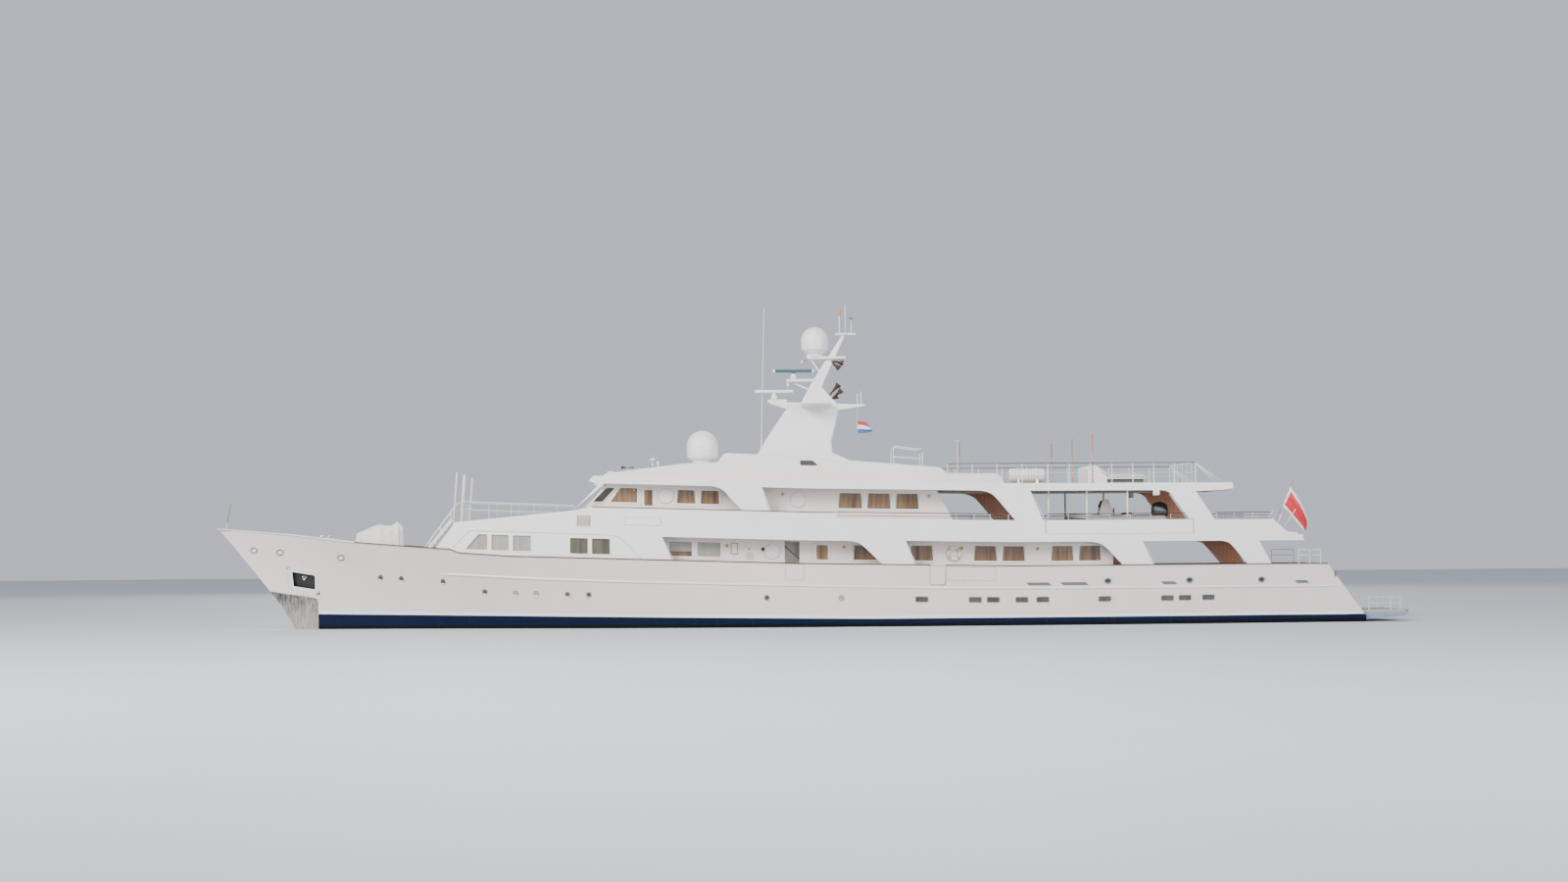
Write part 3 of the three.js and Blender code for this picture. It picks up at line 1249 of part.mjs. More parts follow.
// Ensign on its raked staff at the stern, and the courtesy flag under the mast's crosstree
const STAFF = { foot: [-13130, 0, UPPER_DECK + GAP + 6], head: [-13780, 0, 3800] };
place("ensign_staff", bar(STAFF.foot, STAFF.head, 14, 6), TEAK);
const ensignShape = [[-13709, 3640], [-13990, 3160], [-14200, 2740], [-14130, 2300], [-13860, 2640], [-13478, 3120]];
const hoistSide = profile(ensignShape, -11, 11).subtract(bar(STAFF.foot, STAFF.head, 14 + GAP, 6));
place("ensign", largest(hoistSide), RED);

function makeCourtesyFlag() {
  const [x, y] = [-1975, 300];
  const halyard = bar([x, y, 5130], [x, y, 5815], 4, 6);
  return joined([halyard, box(-2390, x, y - 6, y + 6, 5130, 5480)]);
}

place("courtesy_flag", makeCourtesyFlag(), RED, false);

// Glazing inside the house walls: one strip of glass behind the windows of the sides and the ends, with the
// doorways cut out of its lower part
function glazing(fore, aft, sill, head, sideDoors, aftHead) {
  const glass = 12;
  const half = HOUSE_HALF - WALL - GAP;
  const outer = box(aft, fore, -half, half, sill, head);
  const room = box(aft + glass, fore - glass, -half + glass, half - glass, sill - 50, head + 50);
  const sides = sideDoors.map((door) => box(door.aftX, door.foreX, -WIDE, WIDE, sill - 50, door.head));
  const doorway = box(aft - 50, aft + 50, -AFT_DOOR.half, AFT_DOOR.half, sill - 50, aftHead);
  return cut(outer, [room, ...sides, doorway]);
}

const mainGlazing = glazing(
  MAIN_HOUSE.foreX - WALL - GAP,
  MAIN_HOUSE.aftX + WALL + GAP,
  1600,
  2140,
  [MAIN_DOORS.side, MAIN_DOORS.companion],
  MAIN_DECK + AFT_DOOR.height,
);
const upperGlazing = glazing(
  4400,
  UPPER_HOUSE.aftX + WALL + GAP,
  2960,
  3480,
  [UPPER_DOORS.side],
  UPPER_DECK + AFT_DOOR.height,
);
place("main_glazing", mainGlazing, GLASS);
place("upper_glazing", upperGlazing, GLASS);

export default group;
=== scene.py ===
import math
import bmesh
import bpy
import numpy as np
from mathutils import Matrix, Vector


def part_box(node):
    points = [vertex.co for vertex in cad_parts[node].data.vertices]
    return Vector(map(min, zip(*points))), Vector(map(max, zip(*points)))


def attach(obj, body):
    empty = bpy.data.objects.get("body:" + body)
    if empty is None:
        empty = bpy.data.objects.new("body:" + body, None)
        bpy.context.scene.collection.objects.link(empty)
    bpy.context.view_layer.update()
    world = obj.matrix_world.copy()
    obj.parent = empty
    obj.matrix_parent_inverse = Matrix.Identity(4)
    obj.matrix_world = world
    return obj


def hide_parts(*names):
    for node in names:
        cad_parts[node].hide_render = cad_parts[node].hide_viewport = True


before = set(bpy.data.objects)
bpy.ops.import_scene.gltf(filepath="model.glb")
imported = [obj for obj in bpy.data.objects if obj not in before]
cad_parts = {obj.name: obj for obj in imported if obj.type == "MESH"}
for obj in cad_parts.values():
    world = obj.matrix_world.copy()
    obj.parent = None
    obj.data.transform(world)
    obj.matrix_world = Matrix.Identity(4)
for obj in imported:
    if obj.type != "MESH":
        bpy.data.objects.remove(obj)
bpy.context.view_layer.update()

# Metres, +X forward, +Y to port, +Z up, with the water at Z = 0

# Camera: a long lens from the port beam, level with the side deck
CAMERA_PLACE = (2.85, 82.0, 2.1)
CAMERA_LENS = 70.0
YAW_AFT, PITCH_UP, ROLL = math.radians(2.0), math.atan(108 / 3111), math.radians(0.45)


def into_scene(made):
    bpy.context.scene.collection.objects.link(made)


def aim_camera():
    forward = np.array([-math.sin(YAW_AFT) * math.cos(PITCH_UP), -math.cos(YAW_AFT) * math.cos(PITCH_UP),
                        math.sin(PITCH_UP)])
    right = np.cross(forward, (0, 0, 1))
    right /= np.linalg.norm(right)
    up = np.cross(right, forward)
    turned_right = right * math.cos(ROLL) - up * math.sin(ROLL)
    turned_up = up * math.cos(ROLL) + right * math.sin(ROLL)
    lens = bpy.data.cameras.new("port_beam_camera")
    lens.lens, lens.sensor_width, lens.clip_end = CAMERA_LENS, 36.0, 400.0
    camera = bpy.data.objects.new("port_beam_camera", lens)
    turn = np.eye(4)
    turn[:3, 0], turn[:3, 1], turn[:3, 2], turn[:3, 3] = turned_right, turned_up, -forward, CAMERA_PLACE
    camera.matrix_world = Matrix(turn.tolist())
    into_scene(camera)
    bpy.context.scene.camera = camera


aim_camera()

# Hull lines. Columns: share of the length from the transom, half-breadth on deck, at the water, keel depth
LINES = np.array([
    (0.0, 1.78, 1.56, 0.13), (0.08, 2.1, 1.88, 0.36), (0.15, 2.35, 2.13, 0.64), (0.25, 2.57, 2.38, 1.08),
    (0.35, 2.61, 2.48, 1.45), (0.45, 2.61, 2.5, 1.68), (0.55, 2.57, 2.42, 1.75), (0.62, 2.46, 2.23, 1.75),
    (0.69, 2.26, 1.88, 1.75), (0.76, 1.94, 1.43, 1.75), (0.83, 1.48, 0.93, 1.75), (0.9, 0.95, 0.47, 1.75),
    (0.96, 0.43, 0.17, 1.75), (1.0, 0.0, 0.0, 1.75),
])
# Cap rail ahead of the houses. Columns: x, height
BOW_CAP = np.array([(7.3, 1.9285), (8.62, 2.03), (8.84, 2.12), (10.1, 2.215), (11.6, 2.34),
                    (13.3, 2.55), (15.3, 2.72)])
DRAUGHT = 1.75
STEM_TIP, STEM_FOOT_X, FOREFOOT_X = (15.14, 2.712), 13.072, 10.7
TRANSOM_TOP, TRANSOM_RAKE, TRANSOM_FOOT_Z = (-14.31, 1.57), 0.757, 0.15
MAIN_DECK, CAP_TOP, CAP_THICK, BULWARK = 1.02, 1.57, 0.026, 0.08
UPPER_DECK, SUN_UNDER, SUN_DECK, UPPER_BULWARK_AFT = 2.33, 3.52, 3.71, 2.745
HOUSE_HALF, FOREDECK_BELOW_CAP, PLATE_OUT = 1.95, 0.42, 0.03
# Where the hull's stations start to lean with the stem and the transom, and how far the last one stops short
BOW_X, STERN_X, STEM_SHORT = 9.5, -12.5, 0.012
FRAME_STEP = 0.7


def curve_through(table, column, at):
    """Smooth cubic through a table's rows, with each row's slope taken from its two neighbours."""
    xs, ys = table[:, 0], table[:, column]
    slope = np.empty_like(ys)
    slope[1:-1] = (ys[2:] - ys[:-2]) / (xs[2:] - xs[:-2])
    slope[0], slope[-1] = (ys[1] - ys[0]) / (xs[1] - xs[0]), (ys[-1] - ys[-2]) / (xs[-1] - xs[-2])
    i = np.clip(np.searchsorted(xs, at, side="left"), 1, len(xs) - 1)
    h = xs[i] - xs[i - 1]
    t = np.clip((at - xs[i - 1]) / h, 0, 1)
    bend = h * (slope[i - 1] * t * (1 - t) ** 2 - slope[i] * t * t * (1 - t))
    return ys[i - 1] * (1 + 2 * t) * (1 - t) ** 2 + ys[i] * t * t * (3 - 2 * t) + bend


def sheer(x):
    """Rise of every deck: none aft of -6 m, a short slope, then a steady one to the bow."""
    x = np.asarray(x, float)
    return np.where(x > -0.5, 0.105 + (x + 0.5) * 0.0325, np.clip((x + 6) / 5.5, 0, 1) * 0.105)


def sheer_at(x):
    """The sheer at one place, as a plain number."""
    return float(sheer(x))


def cap_top(x):
    x = np.asarray(x, float)
    return np.where(x <= BOW_CAP[0, 0], CAP_TOP + sheer(x), np.interp(x, BOW_CAP[:, 0], BOW_CAP[:, 1]))


def stem_x(z):
    """Raked stem above the water, quarter ellipse to the forefoot below it."""
    down = np.clip(-z / DRAUGHT, 0, 1)
    above = STEM_FOOT_X + (STEM_TIP[0] - STEM_FOOT_X) * (np.maximum(z, 0) / STEM_TIP[1]) ** 1.12
    return np.where(z >= 0, above, FOREFOOT_X + (STEM_FOOT_X - FOREFOOT_X) * np.sqrt(1 - down * down))


def transom_x(z):
    return TRANSOM_TOP[0] - TRANSOM_RAKE * (TRANSOM_TOP[1] - np.maximum(z, TRANSOM_FOOT_Z))


def hull_half(x, z):
    """Half-breadth: straight flare from the waterline to the deck line above, a superellipse to the keel
    below."""
    x, z = np.asarray(x, float), np.asarray(z, float)
    u = np.clip((x - transom_x(z)) / (stem_x(z) - transom_x(z)), 0, 1)
    water, deck = curve_through(LINES, 2, u), curve_through(LINES, 1, u)
    up = np.maximum(z, 0) / cap_top(x)
    flare = 1 + 1.1 * np.maximum(u - 0.45, 0)
    down = np.clip(-z / curve_through(LINES, 3, u), 0, 1)
    fullness = 3.4 - 4.0 * np.maximum(u - 0.5, 0)
    return np.where(z >= 0, water + (deck - water) * up ** flare, water * (1 - down ** fullness) ** 0.62)


def side_half(x):
    """Half-breadth at the cap rail, straight between frames 0.7 m apart, as the plates are."""
    x = np.asarray(x, float)
    low = np.floor(x / FRAME_STEP)
    ends = [np.clip(k * FRAME_STEP, TRANSOM_TOP[0], STEM_TIP[0]) for k in (low, low + 1)]
    near, far = [hull_half(end, cap_top(end)) for end in ends]
    return near + (far - near) * (x / FRAME_STEP - low)


# Mesh making: each shape is a pair of points and faces, made from whole arrays
def quads(rows, cols, round_rows=False, round_cols=False):
    """Faces of a grid: every point with the next along its row and its column, wrapped where that way is
    closed."""
    i = np.arange(rows if round_rows else rows - 1)[:, None]
    j = np.arange(cols if round_cols else cols - 1)[None, :]
    a, b = i * cols + j, i * cols + (j + 1) % cols
    c, d = ((i + 1) % rows) * cols + (j + 1) % cols, ((i + 1) % rows) * cols + j
    return np.stack([a, b, c, d], -1).reshape(-1, 4).tolist()


def grid_shape(points, round_rows=False, round_cols=False, capped=False):
    rows, cols = points.shape[:2]
    faces = quads(rows, cols, round_rows, round_cols)
    if capped:
        faces += [list(range(cols))[::-1], list(range((rows - 1) * cols, rows * cols))]
    return points.reshape(-1, 3), faces


def unit(ways):
    """Directions of length one, a row each."""
    return ways / np.linalg.norm(ways, axis=1, keepdims=True)


def table_at(places, known, table):
    """Rows of a table at places between its known ones, each column on straight lines."""
    return np.stack([np.interp(places, known, column) for column in np.asarray(table).T], -1)


def solid(rings):
    """Closed rings of points joined one to the next, with the first and the last capped."""
    return grid_shape(np.asarray(rings), round_cols=True, capped=True)


def hoop(rings):
    """Closed rings of points joined one to the next, and the last to the first."""
    return grid_shape(np.asarray(rings), round_rows=True, round_cols=True)


def together(shapes):
    points, faces, start = [], [], 0
    for these, their_faces in shapes:
        points.append(these)
        faces += [[start + k for k in face] for face in their_faces]
        start += len(these)
    return np.concatenate(points), faces


def both_sides(shape):
    """A shape and its mirror image across the centreline."""
    points, faces = shape
    return together([shape, (points * (1, -1, 1), [face[::-1] for face in faces])])


def mirrored(shapes):
    """Shapes joined to one, with their mirror images."""
    return both_sides(together(shapes))


def moved_across(shapes, y):
    """Shapes joined to one and moved to port."""
    points, faces = together(shapes)
    return points + (0, y, 0), faces


def on_side_of(shape, sign):
    """A port shape for a sign of 1, its mirror image for -1."""
    return shape[0] * (1, sign, 1), shape[1]


def turns(steps):
    """Equal steps of a full turn."""
    return np.linspace(0, 2 * math.pi, steps, endpoint=False)


def piece(name, shape, material, body="yacht", sharp=38, join=1e-5):
    """One object: doubles merged, faces turned outward, and smooth up to the sharp angle."""
    points, faces = shape
    mesh = bpy.data.meshes.new(name)
    mesh.from_pydata(np.asarray(points, float).tolist(), [], faces)
    work = bmesh.new()
    work.from_mesh(mesh)
    bmesh.ops.remove_doubles(work, verts=work.verts, dist=join)
    bmesh.ops.dissolve_degenerate(work, edges=work.edges, dist=join)
    bmesh.ops.recalc_face_normals(work, faces=work.faces)
    work.to_mesh(mesh)
    work.free()
    mesh.polygons.foreach_set("use_smooth", np.ones(len(mesh.polygons), bool))
    mesh.set_sharp_from_angle(angle=math.radians(sharp))
    finishes = material if isinstance(material, list) else [material]
    for each in finishes:
        mesh.materials.append(each)
    made = bpy.data.objects.new(name, mesh)
    into_scene(made)
    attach(made, body)
    return made


def tube(path, radius, sides=10, ring=False, flat=1.0):
    """Circle of the radius carried along a path, square to it, with its ends closed."""
    path = np.asarray(path, float)
    radius = np.broadcast_to(np.asarray(radius, float), (len(path),))
    ahead = np.roll(path, -1, 0) - path if ring else np.gradient(path, axis=0)
    if ring:
        ahead = ahead + path - np.roll(path, 1, 0)
    ahead = unit(ahead)
    reference = np.where(np.abs(ahead[:, 2:]) > 0.9, (1.0, 0.0, 0.0), (0.0, 0.0, 1.0))
    side = unit(np.cross(ahead, reference))
    up = np.cross(side, ahead)
    turn = turns(sides)
    circle = side[:, None] * np.cos(turn)[None, :, None] + up[:, None] * np.sin(turn)[None, :, None] * flat
    return grid_shape(path[:, None] + circle * radius[:, None, None], round_rows=ring, round_cols=True,
                      capped=not ring)


def rod(start, end, radius, far_radius=None, sides=10):
    far_radius = radius if far_radius is None else far_radius
    start, end = np.asarray(start, float), np.asarray(end, float)
    chamfer = min(radius * 0.35, np.linalg.norm(end - start) * 0.2)
    way = (end - start) / np.linalg.norm(end - start)
    path = [start, start + way * chamfer, end - way * chamfer, end]
    radii = [radius - chamfer * 0.8, radius, far_radius, far_radius - min(chamfer, far_radius * 0.35) * 0.8]
    return tube(path, radii, sides)


def block(low, high, radius, steps=3):
    """Box with rounded edges: a sphere's points pushed out to the box's eight corners."""
    low, high = np.asarray(low, float), np.asarray(high, float)
    radius = min(radius, (high - low).min() * 0.49)
    quarter = np.linspace(0, math.pi / 2, steps)
    around = np.concatenate([quarter + k * math.pi / 2 for k in range(4)])
    corner = np.repeat(np.arange(4), steps)
    rise = np.concatenate([quarter - math.pi / 2, quarter])
    half = (high - low) / 2 - radius
    signs = np.array([(1, 1), (-1, 1), (-1, -1), (1, -1)])[corner]
    ball = np.stack([np.cos(rise)[:, None] * np.cos(around), np.cos(rise)[:, None] * np.sin(around),
                     np.broadcast_to(np.sin(rise)[:, None], (len(rise), len(around)))], -1)
    push = np.stack([np.broadcast_to(signs[:, 0], ball.shape[:2]),
                     np.broadcast_to(signs[:, 1], ball.shape[:2]),
                     np.broadcast_to(np.repeat([-1, 1], steps)[:, None], ball.shape[:2])], -1)
    points = (low + high) / 2 + ball * radius + push * half
    return solid(points)


def lathe(profile, centre, sides, axis="z"):
    """Profile of radius and height turned round an axis through the centre."""
    profile = np.asarray(profile, float)
    turn = turns(sides)
    radius, height = profile[:, 0][:, None], np.broadcast_to(profile[:, 1][:, None], (len(profile), sides))
    a, b = radius * np.cos(turn), radius * np.sin(turn)
    order = {"z": (a, b, height), "x": (height, a, b), "y": (a, height, b)}[axis]
    return solid(np.stack(order, -1) + np.asarray(centre, float))


def loop_points(corners, radius, steps=4):
    """Closed outline with rounded corners: a quadratic arc at each corner between two points on its sides."""
    corners = np.asarray(corners, float)
    before, after = np.roll(corners, 1, 0) - corners, np.roll(corners, -1, 0) - corners
    reach = np.broadcast_to(np.asarray(radius, float), (len(corners),))[:, None]
    lengths = [np.linalg.norm(way, axis=1, keepdims=True) for way in (before, after)]
    start = corners + before / lengths[0] * np.minimum(reach, lengths[0] * 0.45)
    end = corners + after / lengths[1] * np.minimum(reach, lengths[1] * 0.45)
    t = np.linspace(0, 1, steps)[None, :, None]
    arcs = start[:, None] * (1 - t) ** 2 + corners[:, None] * 2 * t * (1 - t) + end[:, None] * t * t
    return arcs.reshape(-1, corners.shape[1])


def grown(loop, distance):
    """Closed flat outline moved outward by a distance, square to its sides."""
    ahead = np.roll(loop, -1, 0) - np.roll(loop, 1, 0)
    ahead /= np.maximum(np.linalg.norm(ahead, axis=1, keepdims=True), 1e-9)
    normal = np.stack([ahead[:, 1], -ahead[:, 0]], -1)
    area = (loop[:, 0] * np.roll(loop[:, 1], -1) - np.roll(loop[:, 0], -1) * loop[:, 1]).sum()
    return loop + normal * distance * math.copysign(1, area)


def side_ring(loop, surface, steps):
    """Ring round an outline in x and z on a side surface: each step is an outward reach and a lift off the
    surface."""
    rows = []
    for reach, lift in steps:
        edge = grown(loop, reach)
        rows.append(np.stack([edge[:, 0], surface(edge[:, 0], edge[:, 1]) + lift, edge[:, 1]], -1))
    return np.array(rows)


def side_frame(loop, surface, width, lift, sink=0.004):
    steps = [(0, -sink), (0, lift * 0.7), (width * 0.25, lift), (width * 0.75, lift),
             (width, lift * 0.6), (width, -sink)]
    return hoop(side_ring(loop, surface, steps))


def side_pane(loop, surface, lift, thick=0.006):
    """Thin plate inside an outline that follows the surface."""
    outline = side_ring(loop, surface, [(0, lift - thick), (0, lift)])
    return solid(outline)


def oval(x, z, radius_x, radius_z=None):
    turn = turns(28)
    return np.stack([x + radius_x * np.cos(turn), z + (radius_z or radius_x) * np.sin(turn)], -1)


def resampled(loop, step):
    """Closed outline with points about a step apart along its sides."""
    closed = np.concatenate([loop, loop[:1]])
    length = np.concatenate([[0], np.cumsum(np.linalg.norm(np.diff(closed, axis=0), axis=1))])
    at = np.linspace(0, length[-1], max(8, round(length[-1] / step)), endpoint=False)
    return table_at(at, length, closed)


def depth_inside(corners, x, z):
    """How far a point lies inside the nearest side of an outline that runs anticlockwise."""
    ahead = unit(np.roll(corners, -1, 0) - corners)
    gaps = [dx * (z - cz) - dz * (x - cx) for (dx, dz), (cx, cz) in zip(ahead, corners)]
    return np.min(gaps, 0)


def plating_side(x, z):
    return side_half(x) - PLATE_OUT


def house_side(x, z):
    return np.full(np.shape(x), HOUSE_HALF)


# Materials
class Finish:
    """A material being wired: its nodes, its links and its surface shader."""

    def __init__(self, name, base, roughness, metallic=0.0, **sockets):
        self.material = bpy.data.materials.new(name)
        self.material.use_nodes = True
        self.nodes, self.links = self.material.node_tree.nodes, self.material.node_tree.links
        self.shader = self.nodes["Principled BSDF"]
        self.set(self.shader, Base_Color=(*base, 1), Roughness=roughness, Metallic=metallic, **sockets)

    @staticmethod
    def set(node, **sockets):
        for key, value in sockets.items():
            node.inputs[key.replace("_", " ")].default_value = value

    def node(self, kind, links=(), settings=(), **sockets):
        made = self.nodes.new(kind)
        for key, value in dict(settings).items():
            setattr(made, key, value)
        self.set(made, **sockets)
        for socket, source in dict(links).items():
            self.links.new(source, made.inputs[socket])
        return made

    def place(self, scale=(1, 1, 1)):
        where = self.node("ShaderNodeTexCoord")
        mapped = self.node("ShaderNodeMapping", {"Vector": where.outputs["Object"]})
        self.set(mapped, Scale=scale)
        return mapped.outputs["Vector"]

    def noise(self, scale, detail=4.0, roughness=0.5, place=None):
        made = self.node("ShaderNodeTexNoise", {"Vector": place or self.place()})
        self.set(made, Scale=scale, Detail=detail, Roughness=roughness)
        return made.outputs["Fac"]

    def ramp(self, source, stops):
        made = self.node("ShaderNodeValToRGB", {"Fac": source})
        while len(made.color_ramp.elements) < len(stops):
            made.color_ramp.elements.new(0.5)
        for element, (at, color) in zip(made.color_ramp.elements, stops):
            element.position, element.color = at, (*color, 1)
        return made.outputs["Color"]

    def math(self, operation, a, b=0.0, clamp=False):
        made = self.node("ShaderNodeMath", settings={"operation": operation, "use_clamp": clamp})
        for socket, value in zip(made.inputs, (a, b)):
            if isinstance(value, (int, float)):
                socket.default_value = value
            else:
                self.links.new(value, socket)
        return made.outputs[0]

    def times(self, a, b, clamp=False):
        return self.math("MULTIPLY", a, b, clamp)

    def minus(self, a, b, clamp=False):
        return self.math("SUBTRACT", a, b, clamp)

    def plus(self, a, b):
        return self.math("ADD", a, b)

    def under(self, a, b):
        return self.math("LESS_THAN", a, b)

    def over(self, a, b):
        return self.math("GREATER_THAN", a, b)

    def mix(self, share, a, b, blend="MIX"):
        made = self.node("ShaderNodeMix", settings={"data_type": "RGBA", "blend_type": blend})
        for key, value in ((0, share), (6, a), (7, b)):
            socket = made.inputs[key]
            if isinstance(value, tuple):
                socket.default_value = (*value, 1)
            elif isinstance(value, (int, float)):
                socket.default_value = value
            else:
                self.links.new(value, socket)
        return made.outputs[2]

    def color(self, source):
        self.links.new(source, self.shader.inputs["Base Color"])

    def rough(self, source, low, high):
        made = self.node("ShaderNodeMapRange", {"Value": source})
        self.set(made, To_Min=low, To_Max=high)
        self.links.new(made.outputs["Result"], self.shader.inputs["Roughness"])

    def bump(self, source, strength, distance):
        made = self.node("ShaderNodeBump", {"Height": source})
        self.set(made, Strength=strength, Distance=distance)
        self.links.new(made.outputs["Normal"], self.shader.inputs["Normal"])

    def split(self, place=None):
        made = self.node("ShaderNodeSeparateXYZ", {"Vector": place or self.place()})
        return made.outputs["X"], made.outputs["Y"], made.outputs["Z"]


def gloss_paint(name, base, shade, roughness=0.28, wood_and_warm_shade_aft_of=None):
    """Gloss paint with a faint drift of tone, water streaks down the sides and a trace of unevenness. The
    faces that look inboard aft of a given x are coloured as varnished wood with board lines, its warm brown
    partly painted warm shade on those faces."""
    paint = Finish(name, base, roughness, Coat_Weight=0.25, Coat_Roughness=0.08)
    drift = paint.noise(0.55, 3.0)
    streaks = paint.noise(1.0, 5.0, 0.6, paint.place(scale=(3.2, 3.2, 0.35)))
    tone = paint.mix(paint.times(drift, 0.5), base, shade)
    stained = paint.mix(paint.times(paint.minus(streaks, 0.55, True), 0.9), tone, shade)
    if wood_and_warm_shade_aft_of is not None:
        # Inboard faces aft: varnished wood colour and board lines, the warm brown partly painted warm shade
        # on these faces
        x, y, _ = paint.split()
        _, across, _ = paint.split(paint.node("ShaderNodeNewGeometry").outputs["Normal"])
        inboard = paint.under(paint.times(y, across), -0.8)
        lined = paint.times(inboard, paint.under(x, wood_and_warm_shade_aft_of))
        grain = paint.noise(4.0, 7.0, 0.6, paint.place(scale=(14.0, 1.0, 0.9)))
        board = paint.under(paint.math("FRACT", paint.times(x, 9.0)), 0.05)
        wood = paint.mix(grain, (0.8, 0.4, 0.25), (0.64, 0.3, 0.18))
        stained = paint.mix(lined, stained, paint.mix(board, wood, (0.4, 0.19, 0.12)))
    paint.color(stained)
    paint.rough(streaks, roughness - 0.06, roughness + 0.14)
    paint.bump(paint.noise(2.2, 2.0), 0.06, 0.02)
    return paint.material


def topsides_paint():
    """Hull paint by height: dark bottom, navy boot stripe, a white line, and topsides in the houses'
    off-white painted darker for the shade on the flared sides."""
    paint = Finish("topsides_paint", (0.68, 0.65, 0.61), 0.22, Coat_Weight=0.4, Coat_Roughness=0.06)
    x, _, z = paint.split()
    drift = paint.noise(0.5, 3.0)
    streaks = paint.noise(1.0, 5.0, 0.6, paint.place(scale=(3.0, 3.0, 0.3)))
    # Painted shade: the topsides are the houses' off-white, darkened here for the shade on the flared sides
    shaded_topsides = paint.mix(drift, (0.63, 0.585, 0.545), (0.72, 0.68, 0.645))
    shaded_topsides = paint.mix(paint.times(paint.minus(streaks, 0.56, True), 0.7), shaded_topsides, (0.5, 0.44, 0.38))
    ahead = paint.math("MAXIMUM", paint.plus(x, 2.2), 0.0)
    stripe_top = paint.plus(paint.times(ahead, 0.0133), 0.205)
    above = paint.minus(z, stripe_top)
    navy = paint.mix(paint.times(paint.noise(3.0), 0.6), (0.002, 0.006, 0.024), (0.004, 0.009, 0.032))
    wet = paint.times(paint.minus(0.11, z, True), 25.0, True)
    navy = paint.mix(wet, navy, (0.003, 0.003, 0.004))
    line = paint.mix(paint.over(above, 0.018), (0.45, 0.5, 0.55), (0.8, 0.8, 0.8))
    striped = paint.mix(paint.over(above, 0.0), navy, line)
    sides = paint.mix(paint.over(above, 0.075), striped, shaded_topsides)
    paint.color(sides)
    bright = paint.over(above, 0.0)
    for socket, low, high in (("Coat Weight", 0.0, 0.4), ("Specular IOR Level", 0.12, 0.5)):
        paint.links.new(paint.plus(paint.times(bright, high - low), low), paint.shader.inputs[socket])
    paint.rough(streaks, 0.16, 0.34)
    paint.bump(paint.noise(1.8, 2.0), 0.05, 0.02)
    return paint.material


def plank_teak():
    """Scrubbed teak planks laid fore and aft, with dark caulking between them and a butt every few metres."""
    teak = Finish("laid_teak", (0.42, 0.3, 0.19), 0.62)
    x, y, _ = teak.split()
    across = teak.math("DIVIDE", y, 0.058)
    plank = teak.math("FLOOR", across)
    grain = teak.noise(9.0, 6.0, 0.62, teak.place(scale=(0.8, 14.0, 1.0)))
    each = teak.node("ShaderNodeTexWhiteNoise", settings={"noise_dimensions": "1D"})
    teak.links.new(plank, each.inputs["W"])
    wood = teak.mix(each.outputs["Value"], (0.36, 0.25, 0.155), (0.5, 0.375, 0.25))
    wood = teak.mix(teak.times(grain, 0.6), wood, (0.27, 0.18, 0.11))
    seam = teak.over(teak.math("ABSOLUTE", teak.minus(teak.math("FRACT", across), 0.5)), 0.455)
    along = teak.plus(teak.math("DIVIDE", x, 2.1), teak.times(each.outputs["Value"], 7.0))
    butt = teak.under(teak.math("FRACT", along), 0.003)
    caulk = teak.math("MAXIMUM", seam, butt)
    deck = teak.mix(caulk, wood, (0.03, 0.026, 0.024))
    face = teak.node("ShaderNodeNewGeometry")
    _, _, up = teak.split(face.outputs["Normal"])
    teak.color(teak.mix(teak.over(up, 0.5), (0.8, 0.765, 0.735), deck))
    teak.rough(grain, 0.5, 0.78)
    teak.bump(teak.minus(grain, caulk), 0.25, 0.004)
    return teak.material


def varnished_wood(name, light, dark, painted_ahead_of=None):
    """Dark varnished wood with grain along the piece, painted cream ahead of a given x."""
    wood = Finish(name, dark, 0.22, Coat_Weight=0.7, Coat_Roughness=0.06)
    grain = wood.noise(5.0, 8.0, 0.65, wood.place(scale=(0.9, 12.0, 12.0)))
    tone = wood.ramp(grain, [(0.3, dark), (0.62, light), (0.75, dark)])
    if painted_ahead_of is not None:
        x, _, z = wood.split()
        painted = wood.times(wood.over(x, painted_ahead_of), wood.under(z, 2.86))
        tone = wood.mix(painted, tone, wood.mix(grain, (0.74, 0.68, 0.6), (0.6, 0.54, 0.46)))
    wood.color(tone)
    wood.rough(grain, 0.16, 0.34)
    wood.bump(grain, 0.08, 0.002)
    return wood.material


def polished_metal(name, base, roughness, metallic=1.0):
    metal = Finish(name, base, roughness, metallic)
    rub = metal.noise(30.0, 5.0, 0.6, metal.place(scale=(1, 1, 6)))
    metal.color(metal.mix(metal.times(rub, 0.35), base, tuple(c * 0.72 for c in base)))
    metal.rough(rub, roughness * 0.7, roughness * 1.5)
    metal.bump(rub, 0.04, 0.001)
    return metal.material


def tinted_glass(name, base, deep):
    """Window seen from outside by day: a tinted pane with the room's tones behind it, and a clear gloss."""
    glass = Finish(name, base, 0.06, Coat_Weight=1.0, Coat_Roughness=0.02, Specular_IOR_Level=0.6)
    room = glass.noise(1.9, 3.0, 0.55, glass.place(scale=(3.4, 1.0, 0.3)))
    glass.color(glass.ramp(room, [(0.35, deep), (0.6, base)]))
    glass.rough(room, 0.04, 0.09)
    return glass.material


def cloth(name, base, shade, weave=900.0):
    """Woven cloth: two crossed threads as bump, a drift of tone in the folds."""
    woven = Finish(name, base, 0.82, Sheen_Weight=0.25, Sheen_Roughness=0.4)
    x, y, z = woven.split()
    threads = woven.times(woven.math("SINE", woven.times(x, weave)),
                          woven.math("SINE", woven.times(woven.plus(z, y), weave)))
    drift = woven.noise(3.0, 5.0)
    woven.color(woven.mix(drift, base, shade))
    woven.rough(drift, 0.7, 0.9)
    woven.bump(woven.plus(threads, woven.times(drift, 2.0)), 0.18, 0.002)
    return woven.material


